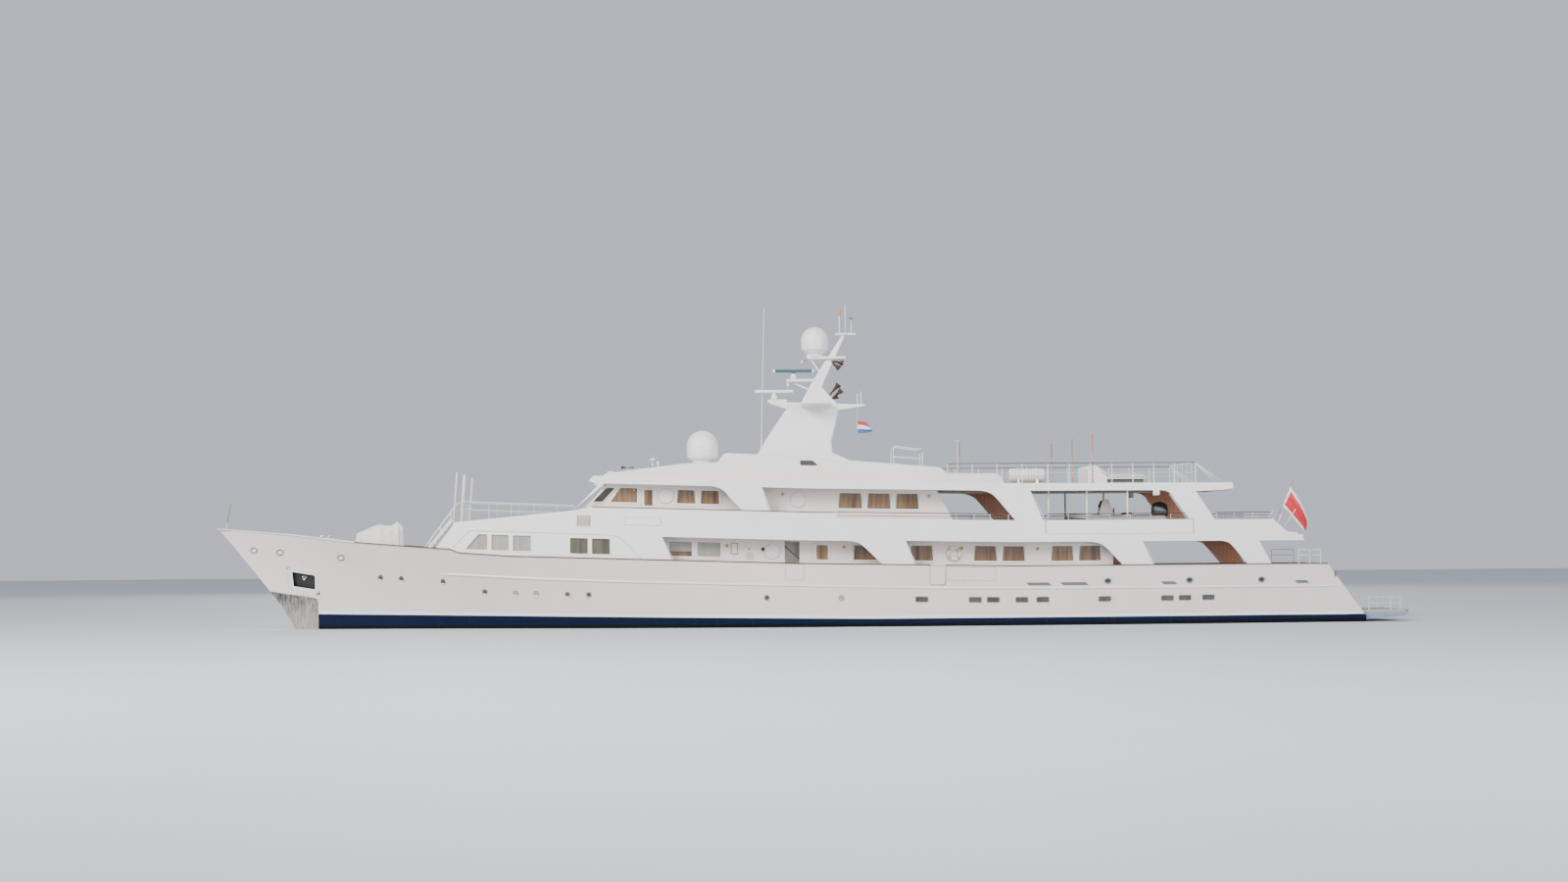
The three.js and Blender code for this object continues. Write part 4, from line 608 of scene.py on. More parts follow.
def moulded(name, base, roughness):
    """Moulded or coated part with a fine even texture and slightly worn tone."""
    part = Finish(name, base, roughness)
    fine = part.noise(60.0, 3.0)
    wide = part.noise(2.5, 4.0)
    part.color(part.mix(part.times(wide, 0.5), base, tuple(c * 0.78 for c in base)))
    part.rough(wide, roughness - 0.05, roughness + 0.1)
    part.bump(fine, 0.03, 0.0006)
    return part.material


TOPSIDES = topsides_paint()
SUPER_WHITE = gloss_paint("superstructure_white", (0.83, 0.815, 0.805), (0.66, 0.63, 0.6))
PLATING_WHITE = gloss_paint("side_plating_white", (0.83, 0.815, 0.805), (0.66, 0.63, 0.6), wood_and_warm_shade_aft_of=-9.0)
SCREEN_WHITE = gloss_paint("upper_screen_white", (0.83, 0.815, 0.805), (0.66, 0.63, 0.6), wood_and_warm_shade_aft_of=-4.0)
WALL_CREAM = gloss_paint("house_wall_cream", (0.83, 0.765, 0.715), (0.72, 0.63, 0.57))
INNER_WHITE = gloss_paint("bulwark_inner_white", (0.78, 0.73, 0.69), (0.62, 0.55, 0.5))
LAID_TEAK = plank_teak()
VARNISH = varnished_wood("cap_rail_varnish", (0.1, 0.042, 0.024), (0.045, 0.018, 0.012))
BOW_CAP_FINISH = varnished_wood("bow_cap_rail_finish", (0.1, 0.042, 0.024), (0.045, 0.018, 0.012), 11.4)
COPPER_WOOD = varnished_wood("awning_pole_varnish", (0.42, 0.2, 0.12), (0.26, 0.11, 0.07))
LINING = varnished_wood("wing_lining_teak", (0.6, 0.3, 0.19), (0.42, 0.19, 0.11))
STAINLESS = polished_metal("rail_stainless", (0.72, 0.73, 0.73), 0.18)
BRASS = polished_metal("lamp_brass", (0.78, 0.52, 0.22), 0.2)
PROP_BRONZE = polished_metal("propeller_bronze", (0.72, 0.5, 0.24), 0.3)
CAST = polished_metal("anchor_galvanised", (0.3, 0.3, 0.3), 0.55, 0.7)
AMBER_GLASS = tinted_glass("house_window_glass", (0.25, 0.145, 0.07), (0.1, 0.05, 0.025))
OLIVE_GLASS = tinted_glass("forward_window_glass", (0.1, 0.1, 0.062), (0.05, 0.052, 0.034))
BLIND_GLASS = tinted_glass("blind_behind_glass", (0.33, 0.33, 0.27), (0.27, 0.27, 0.22))
DARK_GLASS = tinted_glass("hull_window_glass", (0.06, 0.045, 0.035), (0.02, 0.018, 0.016))
CURTAIN = tinted_glass("curtain_behind_glass", (0.6, 0.5, 0.36), (0.42, 0.33, 0.22))
DOME_WHITE = moulded("dome_white", (0.84, 0.83, 0.81), 0.35)
BLACK = moulded("fitting_black", (0.018, 0.018, 0.02), 0.45)
DARK_GREY = moulded("fitting_dark_grey", (0.13, 0.125, 0.12), 0.45)
PLATFORM = moulded("platform_coating", (0.26, 0.32, 0.4), 0.55)
HORN_BROWN = moulded("horn_brown", (0.05, 0.019, 0.013), 0.4)
TUBE_FABRIC = moulded("tender_tube_fabric", (0.42, 0.44, 0.45), 0.6)
ORANGE_LAMP = moulded("lamp_orange", (0.85, 0.24, 0.05), 0.25)
TEAL_DARK = moulded("scanner_teal", (0.03, 0.1, 0.11), 0.35)
BRIGHT_STEEL = polished_metal("bright_steel", (0.84, 0.85, 0.86), 0.2)
COVER_CLOTH = cloth("foredeck_cover_cloth", (0.78, 0.765, 0.745), (0.6, 0.58, 0.56))
RAIL_WHITE = moulded("rail_white", (0.72, 0.73, 0.7), 0.3)
TERRACE_GREEN = moulded("terrace_rail_pale_green", (0.55, 0.63, 0.58), 0.32)
POLE_CREAM = moulded("awning_pole_cream", (0.78, 0.72, 0.6), 0.35)
# Grey for the mouldings and raised edges on the sides: painted shade lines along them
MOULDING_SHADE_GREY = moulded("moulding_painted_shade_grey", (0.42, 0.4, 0.38), 0.4)
TREAD = moulded("ladder_tread_dark", (0.06, 0.055, 0.05), 0.6)
CONSOLE_CREAM = moulded("boat_console_cream", (0.74, 0.69, 0.58), 0.42)
COWL_BLACK = gloss_paint("outboard_cowl_black", (0.02, 0.021, 0.023), (0.05, 0.05, 0.055), 0.16)
LOBBY_GREY = gloss_paint("companion_lobby_grey", (0.72, 0.68, 0.64), (0.6, 0.56, 0.52))
NAVY = moulded("tender_navy", (0.025, 0.035, 0.07), 0.4)
CUSHION_WHITE = cloth("sun_bed_cushion_cloth", (0.8, 0.79, 0.77), (0.66, 0.65, 0.63), 1400.0)

# Finish of every node of the assembly. A star stands for its port and starboard ones
CAD_FINISH = [
    (SUPER_WHITE,
     "aft_bulwark forward_bulkhead roof_house mast boat_flap* forward_ladder foredeck_hatch side_door*"),
    (SUPER_WHITE, "bridge_door*"),
    (WALL_CREAM, "main_house upper_house"),
    (PLATING_WHITE, "side_plating*"),
    (SCREEN_WHITE, "upper_screen*"),
    (LAID_TEAK, "upper_deck sun_deck"),
    (BOW_CAP_FINISH, "cap_rail_forward"),
    (VARNISH, "cap_rail_aft upper_rail*"),
    (DOME_WHITE,
     "radar_lower_gearbox radar_upper_gearbox radar_lower_scanner radar_upper_scanner liferaft sun_bed"),
    (DOME_WHITE, "satellite_dome_roof satellite_dome_mast foredeck_cover ensign courtesy_flag"),
    (TOPSIDES, "hull bulwarks boarding_gate* rudder* stabiliser_fin*"),
    (PROP_BRONZE, "propeller*"),
    (STAINLESS, "shaft* sun_deck_rail terrace_rail windlass"),
    (PLATFORM, "swim_platform"),
    (CAST, "anchor_starboard"),
    (COPPER_WOOD, "ensign_staff"),
    (TUBE_FABRIC, "tender"),
    (AMBER_GLASS, "main_glazing upper_glazing"),
    (LINING, "saloon_door* upper_door*"),
]
for finish, names in CAD_FINISH:
    for name in names.split():
        for node in [name[:-1] + "_port", name[:-1] + "_starboard"] if name.endswith("*") else [name]:
            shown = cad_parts[node]
            shown.data.materials.clear()
            shown.data.materials.append(finish)


# Anchor pocket in the bow: four corners in x and height, and the depth of its floor inside the side
POCKET = np.array([(13.14, 1.535), (12.52, 1.433), (12.53, 1.06), (13.11, 1.151)])
POCKET_DEPTH = 0.12
# How far round the pocket the hull's skin is drawn in, and how deep
POCKET_MARGIN, POCKET_SINK = 0.09, 0.17

# Hull: one closed skin, with the bulwarks' inner faces, the decks inside them and the raked transom
GATE, GATE_SILL = (-4.11, -3.72), 0.02
WELLS = [(-14.15, 3.48), (9.42, 14.35)]


def deck_level(x):
    """Main deck aft, foredeck forward, and the cap rail's underside where the hull is closed to the side."""
    top = cap_top(x) - CAP_THICK
    main, fore = MAIN_DECK + sheer(x), cap_top(x) - FOREDECK_BELOW_CAP
    return np.where((x > WELLS[0][0]) & (x < WELLS[0][1]), main,
                    np.where((x > WELLS[1][0]) & (x < WELLS[1][1]), fore, top))


def hull_stations():
    """Stations along the deck edge, doubled where a well or a gate starts or ends."""
    tiny = 1e-4
    steps = [x for well in WELLS for x in well] + list(GATE)
    places = np.concatenate([np.linspace(TRANSOM_TOP[0], STERN_X, 14), np.arange(STERN_X + 0.1, BOW_X, 0.16),
                             np.linspace(BOW_X, STEM_TIP[0] - STEM_SHORT, 100)])
    places = places[np.abs(places[:, None] - np.array(steps)).min(1) > 0.02]
    bends = np.array([-6.0, -0.5, *BOW_CAP[:-1, 0]])
    edges = np.array([x + side * tiny for x in steps for side in (-1, 1)])
    return np.unique(np.concatenate([places, bends, edges]))


def hull_surface():
    """For each station a ring from the keel up the port side, over the bulwark, across the deck and down
    starboard."""
    nominal = hull_stations()
    in_gate = ((nominal > GATE[0]) & (nominal < GATE[1]))[:, None]
    shares = np.concatenate([-(np.cos(np.linspace(0, math.pi / 2, 15)[:-1]) ** 0.8),
                             np.linspace(0, 1, 45)])[None, :]
    deck_share = 0.63
    top, floor = (cap_top(nominal) - CAP_THICK)[:, None], (MAIN_DECK + sheer(nominal))[:, None]
    keel = curve_through(LINES, 3, (nominal - TRANSOM_TOP[0]) / (STEM_TIP[0] - TRANSOM_TOP[0]))[:, None]
    above = np.where(shares < deck_share, floor * shares / deck_share,
                     floor + (top - floor) * (shares - deck_share) / (1 - deck_share))
    z = np.where(shares < 0, keel * shares, np.where(in_gate, np.minimum(above, floor + GATE_SILL), above))
    at = np.broadcast_to(nominal[:, None], z.shape)
    bow = BOW_X + (stem_x(z) - BOW_X) * np.clip((at - BOW_X) / (STEM_TIP[0] - STEM_SHORT - BOW_X), 0, 1)
    stern = STERN_X + (transom_x(z) - STERN_X) * np.clip((STERN_X - at) / (STERN_X - TRANSOM_TOP[0]), 0, 1)
    x = np.where(at > BOW_X, bow, np.where(at < STERN_X, stern, at))
    y = hull_half(x, z)
    y[:, 0] = 0
    y = np.where(at >= STEM_TIP[0] - (STEM_SHORT + 0.001), 0, y)
    y = np.where(depth_inside(POCKET, x, z) > -POCKET_MARGIN, np.maximum(y - POCKET_SINK, 0.02), y)
    edge_x = x[:, -1]
    level, rim = deck_level(edge_x), top[:, 0]
    level = np.where(in_gate[:, 0], floor[:, 0], level)
    rim = np.where(in_gate[:, 0], floor[:, 0] + GATE_SILL, rim)
    heights = rim[:, None] + (level - rim)[:, None] * np.linspace(0, 1, 4)[None, :]
    inner_y = np.maximum(hull_half(edge_x[:, None], heights) - BULWARK, 0.0)
    inner_y = np.minimum(inner_y, y[:, -1:])
    across = inner_y[:, -1:] * np.linspace(0.75, 0, 4)[None, :]
    ring_x = np.concatenate([x, np.repeat(edge_x[:, None], 8, 1)], 1)
    ring_y = np.concatenate([y, inner_y, across], 1)
    ring_z = np.concatenate([z, heights, np.repeat(level[:, None], 4, 1)], 1)
    port = np.stack([ring_x, ring_y, ring_z], -1)
    starboard = (port * (1, -1, 1))[:, -2:0:-1]
    return np.concatenate([port, starboard], 1), port.shape[1]


def make_hull():
    rings, half = hull_surface()
    points, faces = grid_shape(rings, round_cols=True)
    cols = rings.shape[1]
    # Transom and stem ends: strips from each port point to its mirror image
    for row, order in ((0, 1), (rings.shape[0] - 1, -1)):
        for j in range(half - 1):
            a, b = row * cols + j, row * cols + j + 1
            c, d = row * cols + (cols - j - 1) % cols, row * cols + (cols - j) % cols
            faces.append([a, b, c, d][::order])
    made = piece("hull_skin", (points, faces), [TOPSIDES, INNER_WHITE, LAID_TEAK], sharp=30,
                 join=3e-4)
    mesh = made.data
    centre, normal = np.empty(len(mesh.polygons) * 3), np.empty(len(mesh.polygons) * 3)
    mesh.polygons.foreach_get("center", centre)
    mesh.polygons.foreach_get("normal", normal)
    centre, normal = centre.reshape(-1, 3), normal.reshape(-1, 3)
    inward = np.abs(centre[:, 1]) < hull_half(centre[:, 0], centre[:, 2]) - 0.03
    above_water = (centre[:, 2] > 0.6) & (centre[:, 0] > WELLS[0][0]) & (centre[:, 0] < WELLS[1][1])
    slot = np.where(above_water & (normal[:, 2] > 0.6), 2, np.where(above_water & inward, 1, 0))
    mesh.polygons.foreach_set("material_index", slot.astype(np.int32))
    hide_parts("hull", "bulwarks")


make_hull()


def sheared(points):
    """Points drawn over level decks, each lifted by the sheer at its x."""
    points = np.array(points, float)
    points[..., 2] += sheer(points[..., 0])
    return points


def lifted(shape):
    return sheared(shape[0]), shape[1]


def spread(low, high, step):
    return np.linspace(low, high, max(2, round(abs(high - low) / step) + 1))


def level_line(fore, aft, step, z):
    """Points in x and z along one height."""
    return np.insert(spread(fore, aft, step)[:, None], 1, z, 1)


def on_side(loop):
    """Outline in x and height over level decks, lifted by the sheer."""
    return np.stack([loop[:, 0], loop[:, 1] + sheer(loop[:, 0])], -1)


def rectangle(fore, aft, low, high, radius):
    return loop_points([(aft, low), (fore, low), (fore, high), (aft, high)], radius)


# Rails let into the hull's side. Columns: x, height
RUB_RAIL = [(9.23, 1.47), (6.7, 1.323), (4.19, 1.224), (1.38, 1.136), (-1.43, 1.055), (-4.11, 0.994),
            (-7.0, 0.972), (-14.64, 0.958)]
SPRAY_RAIL = [(-12.2, 0.232), (-15.22, 0.215)]


def side_rail(table, radius):
    """Half-round rail: half a circle carried along the hull's side and narrowed towards both ends."""
    table = np.array(table)[::-1]
    x = spread(table[0, 0], table[-1, 0], 0.2)
    z = np.interp(x, table[:, 0], table[:, 1])
    size = (radius * np.clip(np.minimum(x - x[0], x[-1] - x) / 0.4, 0.12, 1))[:, None]
    turn = np.linspace(-math.pi / 2, math.pi / 2, 9)
    y = hull_half(x, z)[:, None]
    ring_y = np.concatenate([y + size * np.cos(turn), y - 0.04 + 0 * size, y - 0.04 + 0 * size], 1)
    ring_z = np.concatenate([z[:, None] + size * 0.85 * np.sin(turn), z[:, None] + size * 0.85,
                             z[:, None] - size * 0.85], 1)
    rings = np.stack([np.broadcast_to(x[:, None], ring_y.shape), ring_y, ring_z], -1)
    return solid(rings)


piece("rub_rails", both_sides(side_rail(RUB_RAIL, 0.034)), SUPER_WHITE)
piece("spray_rails", both_sides(side_rail(SPRAY_RAIL, 0.026)), SUPER_WHITE)

RUDDER_X, RUDDER_Y, RUDDER_TOP = -12.98, 1.08, -0.62
FIN_X, FIN_Z, FIN_DROOP = 0.45, -1.12, math.radians(38)


def make_appendages():
    """Below the water: a lens-shaped skeg, round rudder trunks and the round seats of the stabiliser fins."""
    x = np.array([-7.0, -7.3, -9.0, -11.2, -11.5, -12.1])
    low = np.array([-1.69, -1.69, -1.69, -1.69, -1.66, -0.35])
    half = np.array([0.012, 0.045, 0.055, 0.055, 0.045, 0.012])
    turn = np.linspace(0, math.pi, 9)
    across = np.concatenate([np.cos(turn), [-1]])[None, :] * half[:, None]
    down = low[:, None] + np.concatenate([1 - np.sin(turn), [0]])[None, :] * 0.05
    down[:, -1] = down[:, 0] = -0.3
    skeg = solid(np.stack([np.broadcast_to(x[:, None], across.shape), across, down], -1))
    trunk = rod((RUDDER_X, RUDDER_Y, 0.1), (RUDDER_X, RUDDER_Y, RUDDER_TOP + 0.04), 0.075, sides=24)
    root = np.array([FIN_X, float(hull_half(FIN_X, FIN_Z)), FIN_Z])
    out = np.array([0, math.cos(FIN_DROOP), -math.sin(FIN_DROOP)])
    seat = rod(root - out * 0.2, root + out * 0.025, 0.09, sides=24)
    piece("skeg", skeg, TOPSIDES)
    piece("rudder_trunks_and_fin_seats", together([both_sides(trunk), both_sides(seat)]), TOPSIDES)


make_appendages()

# Round ports in the topsides. Columns: x, height over the sheer, and 0 for dark glass, 1 for amber, 2 for
# a pale cover
PORTHOLES = [(10.74, 0.9, 0), (10.18, 0.885, 0), (9.06, 0.838, 0), (7.95, 0.596, 0), (7.13, 0.58, 2),
             (6.59, 0.59, 2), (5.76, 0.587, 1), (5.2, 0.594, 0), (0.55, 0.64, 0), (-1.39, 0.666, 2)]
HULL_WINDOWS = [(-3.49, 0.655), (-4.89, 0.66), (-5.36, 0.665), (-6.11, 0.67), (-6.66, 0.67), (-8.3, 0.675),
                (-9.97, 0.68), (-10.44, 0.685), (-11.07, 0.69)]
# Freeing ports. Columns: fore end, aft end
FREEING_PORTS = [(-6.21, -6.9), (-7.11, -7.88), (-9.78, -10.25), (-13.4, -13.83)]
# Fairleads through the bulwark. Columns: x, height over the sheer
FAIRLEADS = [(14.17, 1.533), (13.45, 1.494), (11.79, 1.396), (-8.38, 1.144), (-10.56, 1.147), (-12.51, 1.142)]


def make_hull_fittings():
    rims, amber, dark, pale = [], [], [], []
    for x, z, kind in PORTHOLES:
        ring = oval(x, z + sheer_at(x), 0.058)
        rims.append(side_frame(ring, hull_half, 0.024, 0.016))
        (dark, amber, pale)[kind].append(side_pane(ring, hull_half, 0.005))
    for x, z in HULL_WINDOWS:
        ring = on_side(rectangle(x + 0.16, x - 0.16, z - 0.065, z + 0.065, 0.03))
        rims.append(side_frame(ring, hull_half, 0.02, 0.014))
        dark.append(side_pane(ring, hull_half, 0.005))
    piece("hull_port_rims", mirrored(rims), STAINLESS)
    piece("hull_port_amber_glass", mirrored(amber), AMBER_GLASS)
    piece("hull_port_dark_glass", mirrored(dark), DARK_GLASS)
    piece("hull_port_pale_cover", mirrored(pale), BLIND_GLASS)
    frames, hole_shade = [], []
    for fore, aft in FREEING_PORTS:
        ring = on_side(loop_points([(aft, 1.035), (fore - 0.09, 1.035), (fore, 1.12), (aft + 0.09, 1.12)],
                                   0.02))
        frames.append(side_frame(ring, hull_half, 0.012, 0.01))
        hole_shade.append(side_pane(ring, hull_half, 0.003))
    leads, throats = [], ([], [])
    for x, z in FAIRLEADS:
        ring = oval(x, z + sheer_at(x), 0.068, 0.05)
        leads.append(side_frame(ring, hull_half, 0.032, 0.026))
        throats[x > 0].append(side_pane(ring, hull_half, 0.004))
    piece("freeing_port_frames", mirrored(frames), SUPER_WHITE)
    # The dark grey panes in the freeing ports are painted shade in the openings
    piece("freeing_port_painted_shade", mirrored(hole_shade), DARK_GREY)
    piece("fairlead_rings", mirrored(leads), CAST)
    # Fairlead throats as flat panes: the black ones are painted shade in the aft holes, the white ones
    # painted light in the bow ones
    piece("fairlead_throats", mirrored(throats[0]), BLACK)
    piece("bow_fairlead_throats", mirrored(throats[1]), SUPER_WHITE)
    seams = []
    for fore, aft, low, high in ((-4.15, -5.42, 1.166, 1.51), (-3.7, -4.13, 1.03, 1.535),
                                 (0.06, -0.42, 1.12, 1.53)):
        seams.append(side_frame(on_side(rectangle(fore, aft, low, high, 0.015)), hull_half,
                                0.007, 0.0015, 0.002))
    piece("shell_door_seams", mirrored(seams), DARK_GREY)


make_hull_fittings()

# Openings in the side plating and the upper screen. Columns: front edge at the top and bottom, where the aft
# curve starts at the top, the two coordinates of its slope, aft edge at the bottom, top, bottom
SIDE_OPENINGS = [(3.28, 2.99, -1.5, -1.96, 2.04, -2.53, 2.165, 1.575),
                 (-3.07, -3.345, -7.79, -8.33, 2.04, -8.84, 2.185, 1.575),
                 (-9.31, -9.625, -11.35, -11.74, 2.04, -12.19, 2.18, 1.575)]
UPPER_OPENINGS = [(4.76, 5.48, 2.05, 1.52, 3.25, 1.17, 3.52, 2.9),
                  (0.67, 0.37, -4.95, -5.47, 3.32, -6.08, 3.52, 2.75),
                  (-6.35, -6.745, -9.8, -10.18, 3.28, -10.7, 3.52, 2.75)]


def opening_line(row):
    """Edge of an opening from its lower fore corner round the top and down the curved aft side."""
    front_top, front_low, start, slope_x, slope_z, aft_low, top, low = row
    t = np.linspace(0, 1, 9)[:, None]
    ends = np.array([(start, top), ((start + slope_x) / 2 - 0.11, top), (slope_x, slope_z)])
    bend = ends[0] * (1 - t) ** 2 + ends[1] * 2 * t * (1 - t) + ends[2] * t * t
    top_line = level_line(front_top, start, 0.7, top)[:-1]
    return np.concatenate([[(front_low, low)], top_line, bend, [(aft_low, low)]])


def edge_strip(line, middle, section):
    """Section carried along a line in the side's plane: its first number is a reach square to the line, its
    second a distance out from the plate's middle."""
    ahead = unit(np.gradient(line, axis=0))
    normal = np.stack([-ahead[:, 1], ahead[:, 0]], -1)
    reach, out = np.array(section).T
    flat = line[:, None] + normal[:, None] * reach[None, :, None]
    y = middle(line[:, 0])[:, None] + out[None, :]
    points = np.stack([flat[..., 0], np.broadcast_to(y, flat.shape[:2]), flat[..., 1]], -1)
    return solid(sheared(points))


def rounded_section(width, height, centre=(0.0, 0.0)):
    corners = [(-width / 2, -height / 2), (width / 2, -height / 2), (width / 2, height / 2),
               (-width / 2, height / 2)]
    return loop_points(corners, 0.006, 3) + np.array(centre)


def plate_middle(x):
    return side_half(x) - PLATE_OUT - 0.03


LIP = rounded_section(0.014, 0.072)
lips = [edge_strip(opening_line(row), plate_middle, LIP) for row in SIDE_OPENINGS + UPPER_OPENINGS]
piece("opening_lips", mirrored(lips), SUPER_WHITE)

# Varnished cap between the upper bulwark and the screen above it, and the teak rail at the stern
cap_line = level_line(5.09, -1.26, 0.35, 2.898)
piece("upper_bulwark_caps", both_sides(edge_strip(cap_line, plate_middle,
                                                  rounded_section(0.02, 0.07, (0.0, 0.014)))), VARNISH)
stern_cap_line = level_line(-11.27, -12.83, 0.3, 2.757)
piece("stern_bulwark_caps", both_sides(edge_strip(stern_cap_line, plate_middle,
                                                  rounded_section(0.022, 0.095))), VARNISH)

# Forward windows in the plating. Columns: four corners in x and height, and 0 for a blind, 1 for olive glass
FORWARD_WINDOWS = [
    ([(8.08, 2.11), (7.85, 2.11), (7.85, 1.705), (8.43, 1.705)], 0),
    ([(7.74, 2.105), (7.29, 2.105), (7.29, 1.7), (7.74, 1.7)], 0),
    ([(7.17, 2.1), (6.705, 2.1), (6.705, 1.695), (7.17, 1.695)], 0),
    ([(5.67, 2.07), (5.21, 2.07), (5.21, 1.665), (5.67, 1.665)], 1),
    ([(5.1, 2.07), (4.635, 2.07), (4.635, 1.665), (5.1, 1.665)], 1),
]


def make_forward_windows():
    frames, blinds, olive, bars = [], [], [], []
    for corners, kind in FORWARD_WINDOWS:
        loop = on_side(loop_points(corners, 0.03))
        frames.append(side_frame(loop, plating_side, 0.03, 0.012))
        inner = on_side(grown(loop_points(corners, 0.03), 0.012))
        pane = side_pane(inner, plating_side, -0.035, 0.01)
        (blinds, olive)[kind].append(pane)
        if kind:
            middle = (corners[0][0] + corners[1][0]) / 2
            bar = on_side(rectangle(middle + 0.008, middle - 0.008, 1.67, 2.065, 0.003))
            bars.append(side_pane(bar, plating_side, -0.022, 0.012))
    piece("forward_window_frames", mirrored(frames), WALL_CREAM)
    piece("forward_window_blinds", mirrored(blinds), BLIND_GLASS)
    piece("forward_window_panes", mirrored(olive), OLIVE_GLASS)
    piece("forward_window_bars", mirrored(bars), DARK_GREY)


make_forward_windows()

# Windows of the houses. Columns: fore edge, aft edge, sill, head
MAIN_WINDOWS = [(3.11, 2.48, 1.65, 2.06), (2.36, 1.73, 1.65, 2.06), (-1.74, -2.37, 1.65, 2.06),
                (-3.22, -3.86, 1.65, 2.07), (-4.91, -5.54, 1.66, 2.08), (-5.66, -6.28, 1.66, 2.08),
                (-6.95, -7.56, 1.66, 2.08), (-7.68, -8.29, 1.66, 2.08)]
UPPER_WINDOWS = [(2.89, 2.38, 3.035, 3.415), (2.27, 1.75, 3.035, 3.415), (-1.35, -2.0, 3.0, 3.43),
                 (-2.11, -2.75, 3.0, 3.43), (-2.86, -3.49, 3.0, 3.43)]
RAKED_PANE = [(4.36, 3.415), (3.92, 3.415), (3.92, 3.04), (4.62, 3.04)]
RAKED_DARK_PANE = [(4.73, 3.405), (4.5, 3.41), (4.83, 3.04), (5.08, 3.036)]
# Panes of the windscreen. Columns: y of its two edges
WINDSCREEN = [(-1.84, -1.33), (-1.27, -0.76), (-0.7, -0.19), (0.19, 0.7), (0.76, 1.27), (1.33, 1.84)]
SCREEN_SILL, SCREEN_HEAD = 3.03, 3.4
# Wall round the panes: half its width, its foot and its top
SCREEN_HALF, SCREEN_FOOT, SCREEN_TOP = 1.9, 3.051, 3.519


def screen_x(z):
    return 5.25 + (z - 2.9) / (3.52 - 2.9) * (4.7 - 5.25)


def screen_slab(low, high, sill, head):
    """Part of the windscreen's wall: a rectangle on its raked plane, carried back by the wall's thickness."""
    corners = np.array([(low, sill), (high, sill), (high, head), (low, head)])
    rows = [np.stack([screen_x(corners[:, 1]) + lift, corners[:, 0], corners[:, 1]], -1)
            for lift in (-0.05, 0.0)]
    return solid(sheared(rows))


def make_house_windows():
    frames = []
    for fore, aft, low, high in MAIN_WINDOWS + UPPER_WINDOWS:
        loop = on_side(rectangle(fore, aft, low, high, 0.035))
        frames += [side_frame(loop, house_side, 0.042, 0.016),
                   side_frame(loop, house_side, -0.014, 0.004, 0.02)]
    frames.append(side_frame(on_side(loop_points(RAKED_PANE, 0.035)), house_side, 0.042, 0.016))
    frames.append(side_frame(on_side(loop_points(RAKED_DARK_PANE, 0.03)), house_side, 0.035, 0.014))
    piece("house_window_frames", mirrored(frames), SUPER_WHITE)
    dark = side_pane(on_side(loop_points(RAKED_DARK_PANE, 0.03)), house_side, 0.004)
    piece("wheelhouse_quarter_glass", both_sides(dark), DARK_GLASS)
    raked_pane = side_pane(on_side(loop_points(RAKED_PANE, 0.035)), house_side, -0.002)
    piece("wheelhouse_side_glass", both_sides(raked_pane), AMBER_GLASS)
    blinds = [side_pane(on_side(rectangle(fore, aft, low, high, 0.03)), house_side, -0.008)
              for fore, aft, low, high in ((3.1, 2.49, 1.79, 2.05), (2.35, 1.74, 1.66, 2.05))]
    piece("main_window_blinds", mirrored(blinds), BLIND_GLASS)
    curtains = []
    for fore, aft, low, high in MAIN_WINDOWS[2:] + UPPER_WINDOWS:
        for edge, way in ((fore, -1), (aft, 1)):
            drop = loop_points([(edge, high), (edge + way * 0.06, high), (edge + way * 0.012, low),
                                (edge, low)], 0.006, 3)
            curtains.append(side_pane(on_side(drop), house_side, -0.008))
    piece("window_curtains", mirrored(curtains), CURTAIN)
    screens, rims, wipers = [], [], []
    for low, high in WINDSCREEN:
        loop = loop_points([(low, SCREEN_SILL), (high, SCREEN_SILL), (high, SCREEN_HEAD), (low, SCREEN_HEAD)],
                           0.04)

        def raked(reach, lift):
            edge = grown(loop, reach)
            return np.stack([screen_x(edge[:, 1]) + lift, edge[:, 0], edge[:, 1]], -1)

        steps = ((0, -0.02), (0, 0.008), (0.01, 0.014), (0.026, 0.01), (0.028, -0.004))
        rims.append(hoop(sheared([raked(*step) for step in steps])))
        screens.append(solid(sheared([raked(0, -0.022), raked(0, -0.012)])))
        foot = sheared((float(screen_x(3.01)) + 0.03, (low + high) / 2, 3.01))
        head = sheared((float(screen_x(3.3)) + 0.03, (low + high) / 2 + 0.1, 3.3))
        wipers.append(rod(foot, head, 0.006))
    edges = [-SCREEN_HALF, *(y for pane in WINDSCREEN for y in pane), SCREEN_HALF]
    walls = [screen_slab(low, high, SCREEN_FOOT, SCREEN_HEAD) for low, high in zip(edges[::2], edges[1::2])]
    walls.append(screen_slab(-SCREEN_HALF, SCREEN_HALF, SCREEN_HEAD, SCREEN_TOP))
    piece("windscreen_wall", together(walls), WALL_CREAM)
    piece("windscreen_rims", together(rims), SUPER_WHITE)
    piece("windscreen_panes", together(screens), DARK_GLASS)
    piece("windscreen_wipers", together(wipers), BLACK)


make_house_windows()


# Wheelhouse roof and the casings behind it along the centreline. Columns: x, height of the edge of the top
ROOF_LINE = np.array([(4.8, 3.72), (4.79, 3.77), (4.6, 3.81), (2.7, 4.1), (2.45, 4.125), (1.86, 4.163),
                      (1.78, 4.19), (1.62, 4.39), (1.54, 4.41), (0.76, 4.4), (-1.67, 4.29), (-4.04, 4.138),
                      (-4.12, 4.12), (-4.23, 4.0), (-4.3, 3.98), (-5.6, 3.976), (-5.68, 3.95),
                      (-5.78, 3.72)])[::-1]


def roof_top(x):
    """Height of the roof's crown at the centreline."""
    return float(np.interp(x, ROOF_LINE[:, 0], ROOF_LINE[:, 1]) + 0.035 + sheer(x))


